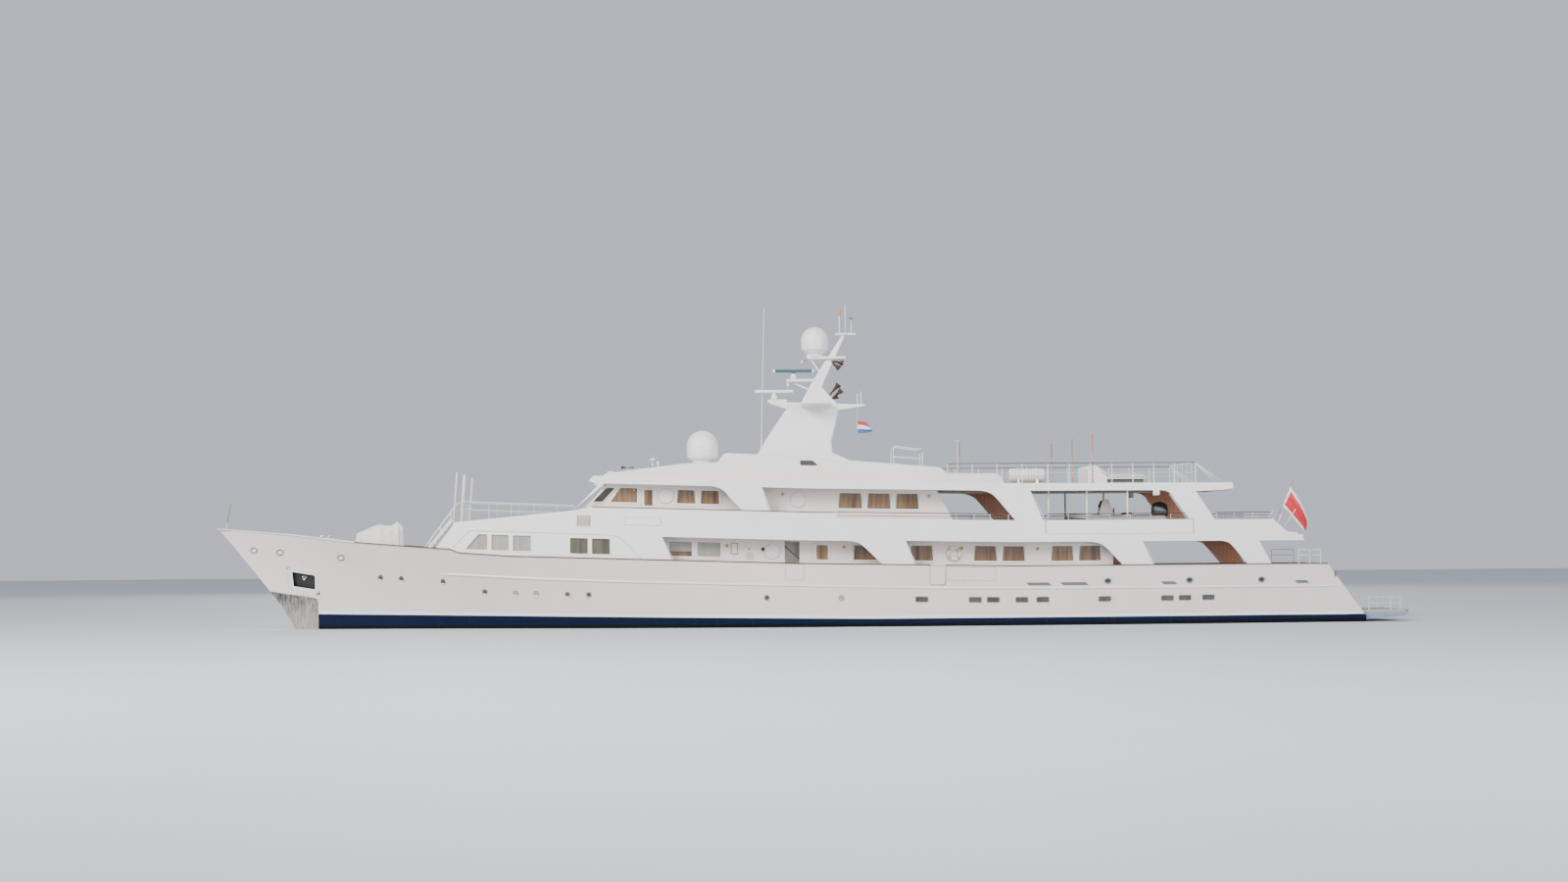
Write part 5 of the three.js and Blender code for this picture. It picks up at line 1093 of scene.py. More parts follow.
def make_roof_house():
    """Wheelhouse roof and casings: for each x a section of leaning sides, rounded edges and a lightly crowned
    top."""
    line = ROOF_LINE
    top = line[:, 1]
    turn = np.linspace(0, math.pi / 2, 6)
    radius = np.clip((top - SUN_DECK) * 0.45, 0.003, 0.09)[:, None]
    lean = 0.26 / 0.9
    wall_top = top[:, None] - radius
    half = 1.76 - (wall_top - 3.6) * lean
    arc_y, arc_z = half - radius * (1 - np.cos(turn)), wall_top + radius * np.sin(turn)
    crown = np.array([0.66, 0.33, 0.0])
    crown_y = arc_y[:, -1:] * crown
    crown_z = arc_z[:, -1:] + 0.035 * (1 - crown ** 2)
    port_y = np.concatenate([np.full((len(top), 1), 1.76 - (SUN_DECK - 3.6) * lean), arc_y, crown_y], 1)
    port_z = np.concatenate([np.full((len(top), 1), SUN_DECK + 0.0005), arc_z, crown_z], 1)
    ring_y = np.concatenate([port_y, -port_y[:, -2::-1]], 1)
    ring_z = np.concatenate([port_z, port_z[:, -2::-1]], 1)
    rings = np.stack([np.broadcast_to(line[:, :1], ring_y.shape), ring_y, ring_z], -1)
    made = piece("roof_house_shell", lifted(solid(rings)), SUPER_WHITE, sharp=50)
    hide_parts("roof_house")


make_roof_house()


def tower(levels, radius, steps=4):
    """Stacked rounded rectangles. Each level is a height, an aft and a fore edge and a half-breadth."""
    rings = []
    for z, aft, fore, half in levels:
        edge = loop_points([(aft, -half), (fore, -half), (fore, half), (aft, half)],
                           min(radius, half * 0.45), steps)
        rings.append(np.insert(edge, 2, z, 1))
    return solid(rings)


# Mast, above the water. Its foot stands on the roof house
MAST_BASE = [(4.3, -1.72, 0.76, 0.7), (4.41, -1.72, 0.755, 0.7), (4.56, -1.4, 0.73, 0.69),
             (4.59, -1.3, 0.7, 0.66), (4.92, -1.27, 0.52, 0.56), (5.4, -1.4, 0.2, 0.43),
             (5.78, -1.48, -0.06, 0.33), (5.88, -1.5, -0.12, 0.32)]
MAST_PYLON = [(5.85, -1.54, -0.42, 0.2), (6.1, -1.3, -0.55, 0.175), (6.39, -1.04, -0.7, 0.15),
              (7.0, -1.32, -1.08, 0.115), (7.79, -1.69, -1.6, 0.07)]


def make_mast():
    base = tower(MAST_BASE, 0.07)
    pylon = tower(MAST_PYLON, 0.04)
    tree_line = np.array([(0.43, 6.01, 5.985), (0.33, 6.01, 5.93), (-0.06, 5.98, 5.8), (-0.9, 5.95, 5.77),
                          (-1.48, 5.93, 5.76), (-2.12, 5.905, 5.85), (-2.19, 5.9, 5.88)])
    rings = [np.insert(edge, 0, x, 1) for x, high, low in tree_line
             for edge in [loop_points([(-0.33, low), (0.33, low), (0.33, high), (-0.33, high)], 0.02, 3)]]
    tree = solid(rings)
    wing_y = np.array([-1.15, -0.75, -0.3, 0.3, 0.75, 1.15])
    wing_low = np.array([5.91, 5.875, 5.84, 5.84, 5.875, 5.91])
    wing = solid([np.insert(edge, 1, y, 1) for y, low in zip(wing_y, wing_low)
                  for edge in [loop_points([(-1.25, low), (-0.45, low), (-0.45, 5.96), (-1.25, 5.96)], 0.02,
                                           3)]])
    shelves = [block((-0.9, -0.15, 6.54), (-0.08, 0.15, 6.61), 0.02),
               block((-0.1, -0.15, 5.985), (0.42, 0.15, 6.06), 0.02),
               block((-1.69, -0.19, 7.14), (-0.64, 0.19, 7.21), 0.025),
               block((-1.98, -0.045, 7.79), (-1.42, 0.045, 7.85), 0.02),
               block((-1.72, -0.33, 7.79), (-1.62, 0.33, 7.83), 0.015)]
    brackets = [rod((-0.75, 0, 6.3), (-0.2, 0, 6.55), 0.025),
                rod((-1.05, 0.05, 6.7), (-0.75, 0.1, 7.15), 0.022),
                rod((-1.05, -0.05, 6.7), (-0.75, -0.1, 7.15), 0.022)]
    poles = [rod((-1.53, 0, 7.8), (-1.53, 0, 8.33), 0.014), rod((-1.69, 0, 7.8), (-1.69, 0, 8.62), 0.008),
             rod((-1.85, 0, 7.8), (-1.85, 0, 8.2), 0.01)]
    whip = [rod((0.62, 0.6, 4.58), (0.52, 0.6, 8.49), 0.012, 0.005),
            rod((0.62, 0.6, 4.58), (0.61, 0.6, 4.8), 0.024)]
    made = piece("mast_tower", together([base, pylon, tree, wing, *shelves, *brackets]),
                 SUPER_WHITE, sharp=50)
    piece("mast_poles_and_whip", together(poles + whip), DOME_WHITE)
    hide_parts("mast")


make_mast()


def dome_profile(radius, height, foot, chamfer):
    """Drum on a foot with a round top: the last part is a quarter circle of the dome's own radius."""
    turn = np.linspace(0, math.pi / 2, 14)[:-1]
    arc = [(radius * math.cos(a), height - radius + radius * math.sin(a)) for a in turn]
    return [(foot * 0.98, 0), (foot, 0.01), (foot, height * 0.1), *chamfer, *arc, (0.004, height)]


ROOF_DOME = (2.185, float(np.interp(2.185, [1.79, 2.59], [4.165, 4.115]) + sheer(2.185)) + 0.012)
roof_profile = dome_profile(0.425, 0.888, 0.264, [(0.3, 0.1), (0.36, 0.13), (0.405, 0.18), (0.422, 0.24)])
roof_dome = piece("roof_dome_shell", lathe(roof_profile, (ROOF_DOME[0], 0, ROOF_DOME[1]), 56), DOME_WHITE,
                  sharp=50)
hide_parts("satellite_dome_roof")
mast_profile = dome_profile(0.37, 0.8, 0.23, [(0.25, 0.08), (0.36, 0.19), (0.368, 0.22)])
mast_dome = piece("mast_dome_shell", lathe(mast_profile, (-0.86, 0, 7.2105), 56), DOME_WHITE,
                  sharp=30)
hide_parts("satellite_dome_mast")

# Radars. Columns: name, x, shelf height, length, bar's finish, whether its ends are white
RADARS = [("radar_lower", 0.245, 6.06, 1.04, DOME_WHITE, 0),
          ("radar_upper", -0.285, 6.61, 1.13, TEAL_DARK, 1)]
for name, x, shelf, length, finish, white_ends in RADARS:
    box_shape = lathe([(0.07, 0), (0.078, 0.008), (0.09, 0.05), (0.088, 0.075), (0.07, 0.11), (0.058, 0.135),
                       (0.04, 0.15), (0.004, 0.15)], (x, 0, shelf + 0.0005), 32)
    gearbox = piece(f"{name}_gearbox_housing", box_shape, DOME_WHITE)
    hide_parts(f"{name}_gearbox")
    bar = block((x - length / 2, -0.045, shelf + 0.185), (x + length / 2, 0.045, shelf + 0.265), 0.03, 5)
    hub = lathe([(0.036, shelf + 0.152), (0.04, shelf + 0.16), (0.04, shelf + 0.19)], (x, 0, 0), 24)
    scanner = piece(f"{name}_bar", together([bar, hub]), finish, name)
    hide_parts(f"{name}_scanner")
    if white_ends:
        caps = [block((x + s * length / 2 - (0.09 if s > 0 else -0.001), -0.046, shelf + 0.184),
                      (x + s * length / 2 + (0.001 if s > 0 else 0.09), 0.046, shelf + 0.266), 0.03, 5)
                for s in (1, -1)]
        piece(f"{name}_bar_ends", together(caps), DOME_WHITE, name)


def hull_sheet(x, z, lift, thick=0.02):
    """Sheet on the topsides over a grid of places: its face lifted off the side, its back sunk into it."""
    side = hull_half(x, z)
    front = np.stack([x, side + lift, z], -1)
    back = np.stack([x, np.maximum(side - thick, 0.0005), z], -1)
    return solid(np.concatenate([front, back[:, ::-1]], 1))


def pocket_floor(x, z):
    """Plane through three corners of the pocket's floor, a set depth inside the side."""
    a, b, c = [np.array((px, float(hull_half(px, pz)) - POCKET_DEPTH, pz)) for px, pz in POCKET[:3]]
    normal = np.cross(b - a, c - b)
    return a[1] - (normal[0] * (x - a[0]) + normal[2] * (z - a[2])) / normal[1]


def ring_of(centre, radius, thick, plane="xz", steps=28, sides=8):
    """Round wire: a circle carried round a larger circle in one of the three planes."""
    turn = turns(steps)
    a, b, none = radius * np.cos(turn), radius * np.sin(turn), np.zeros(steps)
    path = np.stack({"xz": (a, none, b), "yz": (none, a, b), "xy": (a, b, none)}[plane], -1)
    return tube(path + np.asarray(centre, float), thick, sides, ring=True)


STEM_METAL = Finish("stem_plate_metal", (0.34, 0.34, 0.35), 0.5, 0.35)
_, _, plate_z = STEM_METAL.split()
brushed = STEM_METAL.noise(1.0, 6.0, 0.65, STEM_METAL.place(scale=(26, 26, 0.7)))
# Painted reflection: the polished plate runs from warm grey near the water to near black at the top
plate_reflection_ramp = STEM_METAL.ramp(plate_z,
                                 [(0.0, (0.3, 0.23, 0.16)), (0.25, (0.27, 0.24, 0.2)),
                                  (0.6, (0.15, 0.145, 0.14)), (0.95, (0.02, 0.02, 0.022))])
STEM_METAL.color(STEM_METAL.mix(STEM_METAL.times(STEM_METAL.minus(brushed, 0.42, True), 2.6, True),
                                plate_reflection_ramp, (0.55, 0.53, 0.5)))
STEM_METAL.rough(brushed, 0.28, 0.5)
STEM_METAL.bump(brushed, 0.1, 0.002)


def make_anchor_pockets():
    edge = resampled(POCKET, 0.04)
    wide = grown(edge, 0.006)

    def row(line, y):
        return np.stack([line[:, 0], y, line[:, 1]], -1)

    tray = solid([row(wide, pocket_floor(*wide.T) - 0.01), row(wide, hull_half(*wide.T) + 0.002),
                  row(edge, hull_half(*edge.T) + 0.002), row(edge, pocket_floor(*edge.T))])
    collar = side_ring(edge, hull_half,
                       [(0.003, -0.01), (0.003, 0.004), (0.03, 0.008), (0.12, 0.008),
                        (0.143, 0.001), (0.15, -0.03)])
    piece("anchor_pocket_trays", both_sides(tray), BLACK)
    piece("anchor_pocket_collars", both_sides(hoop(collar)), TOPSIDES, sharp=50)
    piece("anchor_pocket_rims", both_sides(side_frame(edge, hull_half, 0.022, 0.018)), SUPER_WHITE)
    u, v = np.meshgrid(np.linspace(0, 1, 109), np.linspace(0, 1, 7))
    low, high = 0.825 + 0.095 * u, 1.03 + 0.091 * u
    swelling = 0.012 + 0.02 * np.abs(np.sin(9 * math.pi * u)) * np.sin(math.pi * v) ** 0.3
    band = hull_sheet(12.53 + 0.58 * u, low + (high - low) * v, swelling)
    piece("pocket_ribbed_bands", both_sides(band), DOME_WHITE, sharp=60)
    # Dark strips laid in the troughs between the ribs are painted shade
    a, b = np.meshgrid(np.linspace(-0.5, 0.5, 3), np.linspace(0.04, 0.96, 7))
    groove_shade = [hull_sheet(12.53 + 0.58 * (k + a * 0.22) / 9, 0.825 + 0.095 * (k + a * 0.22) / 9 + 0.205 * b,
                          0.0165, 0.006) for k in range(1, 9)]
    piece("pocket_band_groove_shade", mirrored(groove_shade), DARK_GREY)
    u, v = np.meshgrid(np.linspace(0, 1, 40), np.linspace(0, 1, 24))
    fore_x, fore_z = stem_x(1.02 * v) - 0.004, 1.02 * v
    x, z = 12.46 + (fore_x - 12.46) * u, 0.81 * v + (fore_z - 0.81 * v) * u
    piece("stem_plates", both_sides(hull_sheet(x, z, 0.005 * (1 - u ** 6))), STEM_METAL.material)
    eye = (12.83, float(pocket_floor(12.83, 1.4)), 1.4)
    lip = ring_of((eye[0], eye[1] + 0.008, eye[2] - 0.02), 0.042, 0.01)
    hanging = ring_of((eye[0], eye[1] + 0.05, eye[2] - 0.065), 0.042, 0.008, "yz")
    pin = rod(eye, (eye[0], eye[1] + 0.06, eye[2] - 0.02), 0.012)
    piece("port_hawse_lip_and_ring", together([lip, pin, hanging]), BRIGHT_STEEL)


make_anchor_pockets()


def foredeck_z(x):
    return float(cap_top(x)) - FOREDECK_BELOW_CAP


def make_foredeck_gear():
    """Windlass with two drums and chain wheels on one shaft, the hatch's pane and handle, hoops and a mast
    ball."""
    x, floor = 12.75, foredeck_z(12.75)
    bed = block((12.5, -0.32, floor - 0.03), (13.0, 0.32, floor + 0.065), 0.02)
    case = tower([(floor + 0.06, 12.58, 12.92, 0.12), (floor + 0.2, 12.62, 12.88, 0.11),
                  (floor + 0.26, 12.66, 12.84, 0.09), (floor + 0.28, 12.7, 12.8, 0.05)], 0.05)
    shaft = rod((x, -0.315, floor + 0.16), (x, 0.315, floor + 0.16), 0.026, sides=20)
    drum = [(0.03, 0), (0.1, 0), (0.106, 0.01), (0.1, 0.02), (0.066, 0.035), (0.06, 0.06), (0.066, 0.085),
            (0.092, 0.098), (0.096, 0.108), (0.03, 0.11)]
    wheel = [(0.03, 0), (0.115, 0), (0.118, 0.012), (0.085, 0.022), (0.085, 0.034), (0.118, 0.044),
             (0.115, 0.056), (0.03, 0.056)]
    turning = [both_sides(lathe(drum, (x, 0.2, floor + 0.16), 36, "y")),
               both_sides(lathe(wheel, (x, 0.132, floor + 0.16), 36, "y"))]
    motor = both_sides(rod((12.62, 0.22, floor + 0.06), (12.62, 0.22, floor + 0.2), 0.05, sides=20))
    stoppers = mirrored([block((12.9, 0.1, floor + 0.06), (12.99, 0.2, floor + 0.13), 0.015),
                         ring_of((12.95, 0.15, floor + 0.16), 0.035, 0.008, "yz")])
    made = piece("windlass_gear", together([bed, case, shaft, *turning, motor, stoppers]), BRIGHT_STEEL)
    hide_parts("windlass")

    def over_hatch(shape, lift):
        points = shape[0].copy()
        points[:, 2] += np.array([foredeck_z(px) for px in points[:, 0]]) + 0.04 + lift
        return points, shape[1]

    pane = over_hatch(block((13.49, -0.135, -0.006), (13.81, 0.135, 0.008), 0.006), 0)
    grip = over_hatch(tube([(13.48, -0.05, 0), (13.475, -0.05, 0.022), (13.475, 0.05, 0.022),
                            (13.48, 0.05, 0)], 0.005), 0)
    piece("hatch_pane", pane, DARK_GLASS, "foredeck_hatch")
    piece("hatch_grip", grip, BRIGHT_STEEL, "foredeck_hatch")
    turn = np.linspace(0, math.pi, 12)
    hoop_x, base = 12.24, cap_top(12.24)
    arch = np.stack([hoop_x + 0.08 * np.cos(turn), np.full(12, float(side_half(hoop_x)) - 0.04),
                     base + 0.075 * np.sin(turn) ** 0.5], -1)
    bitts = []
    for bx in (13.2, 11.7):
        for dx in (-0.08, 0.08):
            bitts.append(lathe([(0.05, 0), (0.05, 0.02), (0.032, 0.04), (0.032, 0.17), (0.042, 0.19),
                                (0.03, 0.205), (0.003, 0.207)],
                               (bx + dx, float(side_half(bx)) * 0.62, foredeck_z(bx) - 0.004), 24))
    piece("foredeck_hoops_and_bitts", mirrored([tube(arch, 0.012), *bitts]), BRIGHT_STEEL)
    ball = lathe([(0.003, -0.026), (0.018, -0.019), (0.026, 0), (0.018, 0.019), (0.003, 0.026)],
                 (14.8, 0, 3.365), 20)
    piece("jackstaff_ball", ball, BRASS)


make_foredeck_gear()


def sheet_shell(face, thick, round_cols=False):
    """A sheet's face and its back a thickness behind it, square to it, joined by a strip along every open
    edge."""
    down = np.gradient(face, axis=0)
    along = (np.roll(face, -1, 1) - np.roll(face, 1, 1)) if round_cols else np.gradient(face, axis=1)
    normal = np.cross(down, along)
    back = face - normal / np.maximum(np.linalg.norm(normal, axis=-1, keepdims=True), 1e-12) * thick
    strips = [np.stack([face[0], back[0]]), np.stack([back[-1], face[-1]])]
    shapes = [grid_shape(face, round_cols=round_cols), grid_shape(back[::-1], round_cols=round_cols)]
    shapes += [grid_shape(strip, round_cols=round_cols) for strip in strips]
    if not round_cols:
        shapes += [grid_shape(np.stack([back[:, 0], face[:, 0]])),
                   grid_shape(np.stack([face[:, -1], back[:, -1]]))]
    return together(shapes)


# Ridge of the cover over the gear on the foredeck. Columns: x, height
COVER_RIDGE = np.array([(10.19, 2.66), (10.25, 2.75), (10.37, 2.85), (10.46, 2.79), (10.55, 2.755),
                        (10.7, 2.76), (10.82, 2.79), (11.0, 2.74), (11.2, 2.65), (11.43, 2.55)])


def make_foredeck_cover():
    """Cloth over the gear: from a foot line up to the ridge in a superellipse, with pleats that grow
    downward, creases that fan out from the two peaks and a tuck where a line draws it in near the foot."""
    around = turns(180)[None, :]
    up = np.linspace(0, 1, 46)[:, None]
    cos, sin = np.cos(around), np.sin(around)
    foot_x = 10.83 + 0.66 * np.sign(cos) * np.abs(cos) ** 0.75
    half = np.interp(foot_x, [10.15, 10.4, 10.9, 11.3, 11.5], [0.29, 0.31, 0.335, 0.28, 0.18])
    foot_y = half * np.sign(sin) * np.abs(sin) ** 0.7
    ridge_x = np.clip(10.83 + 0.62 * cos, 10.22, 11.42)
    ridge_z = np.interp(ridge_x, COVER_RIDGE[:, 0], COVER_RIDGE[:, 1])
    foot_z = cap_top(foot_x) - FOREDECK_BELOW_CAP + 0.004
    inward, rise = 1 - np.cos(up * math.pi / 2) ** 0.85, np.sin(up * math.pi / 2) ** 0.9
    x, y = foot_x + (ridge_x - foot_x) * inward, foot_y * (1 - inward)
    z = foot_z + (ridge_z - foot_z) * rise
    low = (1 - rise) ** 0.8
    wide_pleats = 0.014 * np.cos(13 * around + 1.7 * np.sin(3 * around))
    push = low * (wide_pleats + 0.007 * np.cos(31 * around + 4 * up))
    for peak_x, peak_z, many in ((10.37, 2.85, 9.0), (10.82, 2.79, 7.0)):
        reach, angle = np.hypot(x - peak_x, z - peak_z), np.arctan2(x - peak_x, peak_z - z)
        push = push + 0.016 * np.cos(many * angle + 0.8) * np.exp(-((reach - 0.28) / 0.22) ** 2)
    push = push - 0.035 * np.exp(-((z - foot_z - 0.16) / 0.035) ** 2)
    push = push * np.clip(y / np.where(np.abs(foot_y) < 0.02, 0.02, foot_y) * 1.6, 0, 1)
    face = np.stack([x + push * cos, y + push * sin, z], -1)
    made = piece("foredeck_cover_cloth", sheet_shell(face, -0.004, round_cols=True), COVER_CLOTH, sharp=70)
    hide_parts("foredeck_cover")
    line = face[8] + (face[8] - face[8].mean(0)) * (0.01, 0.02, 0)
    lashing = piece("foredeck_cover_lashing", tube(line, 0.007, 6, ring=True), DOME_WHITE)


make_foredeck_cover()


def along_side(x, inset, z):
    """Path on the port side, inset from the deck's edge, at one or more heights."""
    x = np.atleast_1d(np.asarray(x, float))
    return np.stack([x, side_half(x) - inset, np.broadcast_to(np.asarray(z, float), x.shape)], -1)


def upright(x, inset, low, high, radius=0.009):
    """Stanchion with a round base flange and a small ball under the rail."""
    y = float(side_half(x)) - inset
    return lathe([(radius * 2.6, 0), (radius * 2.6, 0.006), (radius * 1.3, 0.014), (radius, 0.02),
                  (radius, high - low - 0.03), (radius * 1.5, high - low - 0.022),
                  (radius * 1.5, high - low - 0.012), (radius * 0.8, high - low)], (x, y, low), 12)


def make_terrace():
    """Rails round the terrace before the wheelhouse, the awning poles at its fore end and the ladder up to
    it."""
    def top(x):
        return 2.915 + 0.04 * (np.asarray(x) - 5.54) / 3.0 + sheer(x)

    fore_end, inset = 8.53, 0.14
    x = spread(fore_end, 5.56, 0.3)
    deck = UPPER_DECK + 0.0005
    bars = [tube(along_side(x, inset, top(x) - drop), radius) for drop, radius in ((0, 0.015), (0.2, 0.009))]
    posts = [upright(px, inset, deck + sheer_at(px), float(top(px)))
             for px in (fore_end, 7.81, 7.216, 6.62, 6.01, 5.56)]
    corner = along_side(fore_end, inset, float(top(fore_end)))[0]
    across = [tube([(fore_end, y, corner[2] - drop) for y in np.linspace(corner[1], -corner[1], 9)], radius)
              for drop, radius in ((0, 0.015), (0.2, 0.009))]
    middle = [lathe([(0.022, 0), (0.022, 0.006), (0.009, 0.02),
                     (0.009, corner[2] - deck - sheer_at(fore_end))],
                    (fore_end, y, deck + sheer_at(fore_end)), 12) for y in (-1.1, -0.5, 0.5, 1.1)]
    made = piece("terrace_rails", together([mirrored(bars + posts), *across, *middle]), TERRACE_GREEN)
    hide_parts("terrace_rail")
    pair = [rod((8.56, corner[1], deck + sheer_at(8.56)), (8.47, corner[1], 4.03), 0.02),
            rod((8.76, corner[1] - 0.08, deck + sheer_at(8.7) - 0.02), (8.66, corner[1] - 0.08, 4.1), 0.02)]
    caps = [lathe([(0.024, -0.01), (0.026, 0.01), (0.004, 0.03)], (px, py, pz), 16)
            for px, py, pz in ((8.47, corner[1], 4.03), (8.66, corner[1] - 0.08, 4.1))]
    piece("terrace_awning_poles", mirrored(pair + caps), POLE_CREAM)
    foot, head = np.array((9.72, foredeck_z(9.72) + 0.012)), np.array((8.83, 2.47 + sheer_at(8.83)))
    way = (head - foot) / np.linalg.norm(head - foot)
    square = np.array((-way[1], way[0]))
    boards, treads, grips = [], [], []
    for y in (0.9, 1.18):
        corners = np.array([foot + square * 0.045, foot - square * 0.045, head - square * 0.045,
                            head + square * 0.045])
        edge = loop_points(corners, 0.02, 3)
        boards.append(solid([np.insert(edge, 1, y + off, 1) for off in (-0.016, 0.016)]))
        rail_foot, rail_head = foot + (0.0, 0.06), np.array((8.62, 2.94 + sheer_at(8.62)))
        line = np.array([foot + way * 0.02, rail_foot + (0.0, 0.07), rail_foot + (-0.06, 0.16),
                         rail_head + (0.1, -0.06), rail_head, rail_head + (-0.05, -0.02)])
        path = np.insert(line, 1, y, 1)
        grips.append(tube(path, 0.013))
        for share in (0.33, 0.66, 0.97):
            at = foot + way * share * np.linalg.norm(head - foot)
            high = np.interp(at[0], [path[3][0], path[2][0]], [path[3][2], path[2][2]])
            grips.append(rod((at[0], y, at[1]), (at[0], y, high), 0.009))
    for share in np.linspace(0.1, 0.95, 9):
        at = foot + way * share * np.linalg.norm(head - foot)
        treads.append(block((at[0] - 0.06, 0.912, at[1] - 0.011),
                            (at[0] + 0.06, 1.168, at[1] + 0.011), 0.006))
    made = piece("forward_ladder_boards", together(boards), RAIL_WHITE)
    piece("forward_ladder_treads", together(treads), TREAD)
    piece("forward_ladder_handrails", together(grips), RAIL_WHITE)
    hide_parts("forward_ladder")


make_terrace()


# Distance of the double rails from the deck's edge
RAIL_INSET = 0.06


def double_rail(x, top, low, radius=0.015):
    """A rail slightly flattened, and a thin one under it."""
    return together([tube(along_side(x, RAIL_INSET, top), radius, flat=0.8),
                     tube(along_side(x, RAIL_INSET, low), 0.008)])


def make_side_rails():
    """Varnished double rails: over the upper bulwark, over each fold-down bulwark, and at the stern."""
    x = spread(-1.29, -5.79, 0.3)
    wood = double_rail(x, 2.905 + sheer(x), 2.82 + sheer(x))
    posts = [upright(px, RAIL_INSET, UPPER_BULWARK_AFT + 0.0005 + sheer_at(px), 2.9 + sheer_at(px), 0.007)
             for px in (-1.3, -1.95, -2.59, -3.22, -3.85, -4.42, -4.88, -5.3, -5.78)]
    made = piece("upper_side_rails", both_sides(wood), VARNISH)
    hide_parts("upper_rail_port", "upper_rail_starboard")
    piece("upper_side_rail_posts", mirrored(posts), RAIL_WHITE)
    x = spread(-6.8, -10.64, 0.32)
    flap_rail = double_rail(x, 2.905, 2.82)
    flap_posts = together([upright(px, RAIL_INSET, UPPER_BULWARK_AFT - 0.001, 2.9, 0.007)
                           for px in spread(-6.81, -10.63, 0.55)])
    cap = edge_strip(level_line(-6.775, -10.67, 0.35, 2.751), plate_middle, rounded_section(0.014, 0.07))
    marks = together([side_pane(loop_points([(px - 0.05, 2.4), (px + 0.05, 2.4), (px, 2.345)], 0.008, 3),
                                plating_side, 0.012, 0.02) for px in (-7.16, -8.59, -10.16)])
    piece("boat_flap_hinge_fairings", both_sides(marks), INNER_WHITE)
    for side, sign in (("port", 1), ("starboard", -1)):
        for name, shape, finish in (("rail", flap_rail, VARNISH), ("rail_posts", flap_posts, RAIL_WHITE),
                                    ("cap", cap, VARNISH)):
            piece(f"boat_flap_{name}_{side}", on_side_of(shape, sign), finish, f"boat_flap_{side}")
    x = spread(-11.3, -12.8, 0.3)
    stern = double_rail(x, 2.92, 2.84, 0.014)
    piece("stern_bulwark_rails", both_sides(stern), VARNISH)
    posts = [upright(px, RAIL_INSET, 2.766, 2.915, 0.007) for px in (-11.32, -11.8, -12.3, -12.78)]
    piece("stern_bulwark_rail_posts", mirrored(posts), RAIL_WHITE)
    # Only the port rail gets white paint; the starboard one keeps its dark varnish, a painted shade for the
    # far side
    x = np.array([-13.54, -13.84, -14.14])
    bars = [tube(along_side(x, 0.04, CAP_TOP + lift), 0.012) for lift in (0.35, 0.2)]
    posts = [upright(px, 0.04, CAP_TOP - 0.002, CAP_TOP + 0.345, 0.012) for px in x]
    piece("stern_mooring_rail_paint", together(bars + posts), RAIL_WHITE)


make_side_rails()


def make_sun_deck_fittings():
    """Rail with its thin varnished top, the slanted end bars, the awning poles, the T aerial and the hatch's
    frame."""
    inset, top, wire_drop, rail_end = 0.16, 4.24, 0.26, -10.78
    x = spread(-4.2, rail_end, 0.33)
    wood = tube(along_side(x, inset, top), 0.014, flat=0.8)
    wire = tube(along_side(x, inset, top - wire_drop), 0.005)
    posts = [upright(px, inset, SUN_DECK, top - 0.01, 0.013)
             for px in (-4.2, -4.85, -5.5, -6.16, -6.84, -7.41, -7.97, -8.54, -9.10, -9.66, -10.22, rail_end)]
    ends = [rod(along_side(rail_end, inset, top - 0.008)[0],
                along_side(-11.53 + 0.12 * k, inset, SUN_DECK + 0.008)[0], 0.01) for k in range(3)]
    y = float(side_half(rail_end)) - inset
    stern_wood = tube([(rail_end, s, top) for s in np.linspace(y, -y, 15)], 0.014, flat=0.8)
    stern_wire = tube([(rail_end, s, top - wire_drop) for s in np.linspace(y, -y, 15)], 0.005)
    stern_posts = [lathe([(0.023, 0), (0.023, 0.006), (0.009, 0.02), (0.009, top - SUN_DECK)],
                         (rail_end, s, SUN_DECK), 12) for s in (-1.5, -0.75, 0, 0.75, 1.5)]
    made = piece("sun_deck_rail_tops", together([both_sides(wood), stern_wood]), VARNISH)
    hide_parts("sun_deck_rail")
    piece("sun_deck_stanchions", together([mirrored([wire, *posts, *ends]), stern_wire, *stern_posts]),
          RAIL_WHITE)
    poles = []
    for px, side, high in ((-4.97, -1, 5.04), (-7.53, -1, 4.93), (-8.03, 1, 5.03), (-8.1, -1, 5.05)):
        place = along_side(px, inset, 0)[0] * (1, side, 1)
        place[1] -= side * 0.035
        poles.append(lathe([(0.034, 0), (0.034, 0.01), (0.02, 0.03), (0.019, high - SUN_DECK - 0.02),
                            (0.026, high - SUN_DECK - 0.015), (0.024, high - SUN_DECK),
                            (0.003, high - SUN_DECK + 0.006)], (place[0], place[1], SUN_DECK), 20))
    piece("awning_poles", together(poles), COPPER_WOOD)
    thin = [rod((-4.58, 1.2, SUN_DECK), (-4.58, 1.2, 4.9), 0.01, 0.005),
            rod((-4.66, 1.2, 4.88), (-4.5, 1.2, 4.88), 0.006)]
    piece("sun_deck_aerial", together(thin), DOME_WHITE)
    base, frames = 4.2, []
    for y in (-0.45, 0.45):
        legs = [(-3.71, base - 0.05), (-3.71, 4.62), (-3.64, 4.7), (-3.0, 4.774),
                (-2.93, 4.72), (-2.93, base)]
        frames.append(tube([(px, y, pz + sheer_at(px) - 0.06) for px, pz in legs], 0.012))
        frames.append(rod((-3.71, y, 4.45), (-2.93, y, 4.5), 0.008))
    frames += [rod((px, -0.45, pz), (px, 0.45, pz), 0.012) for px, pz in ((-3.66, 4.7), (-2.96, 4.78))]
    piece("roof_hatch_frame", together(frames), RAIL_WHITE)


make_sun_deck_fittings()


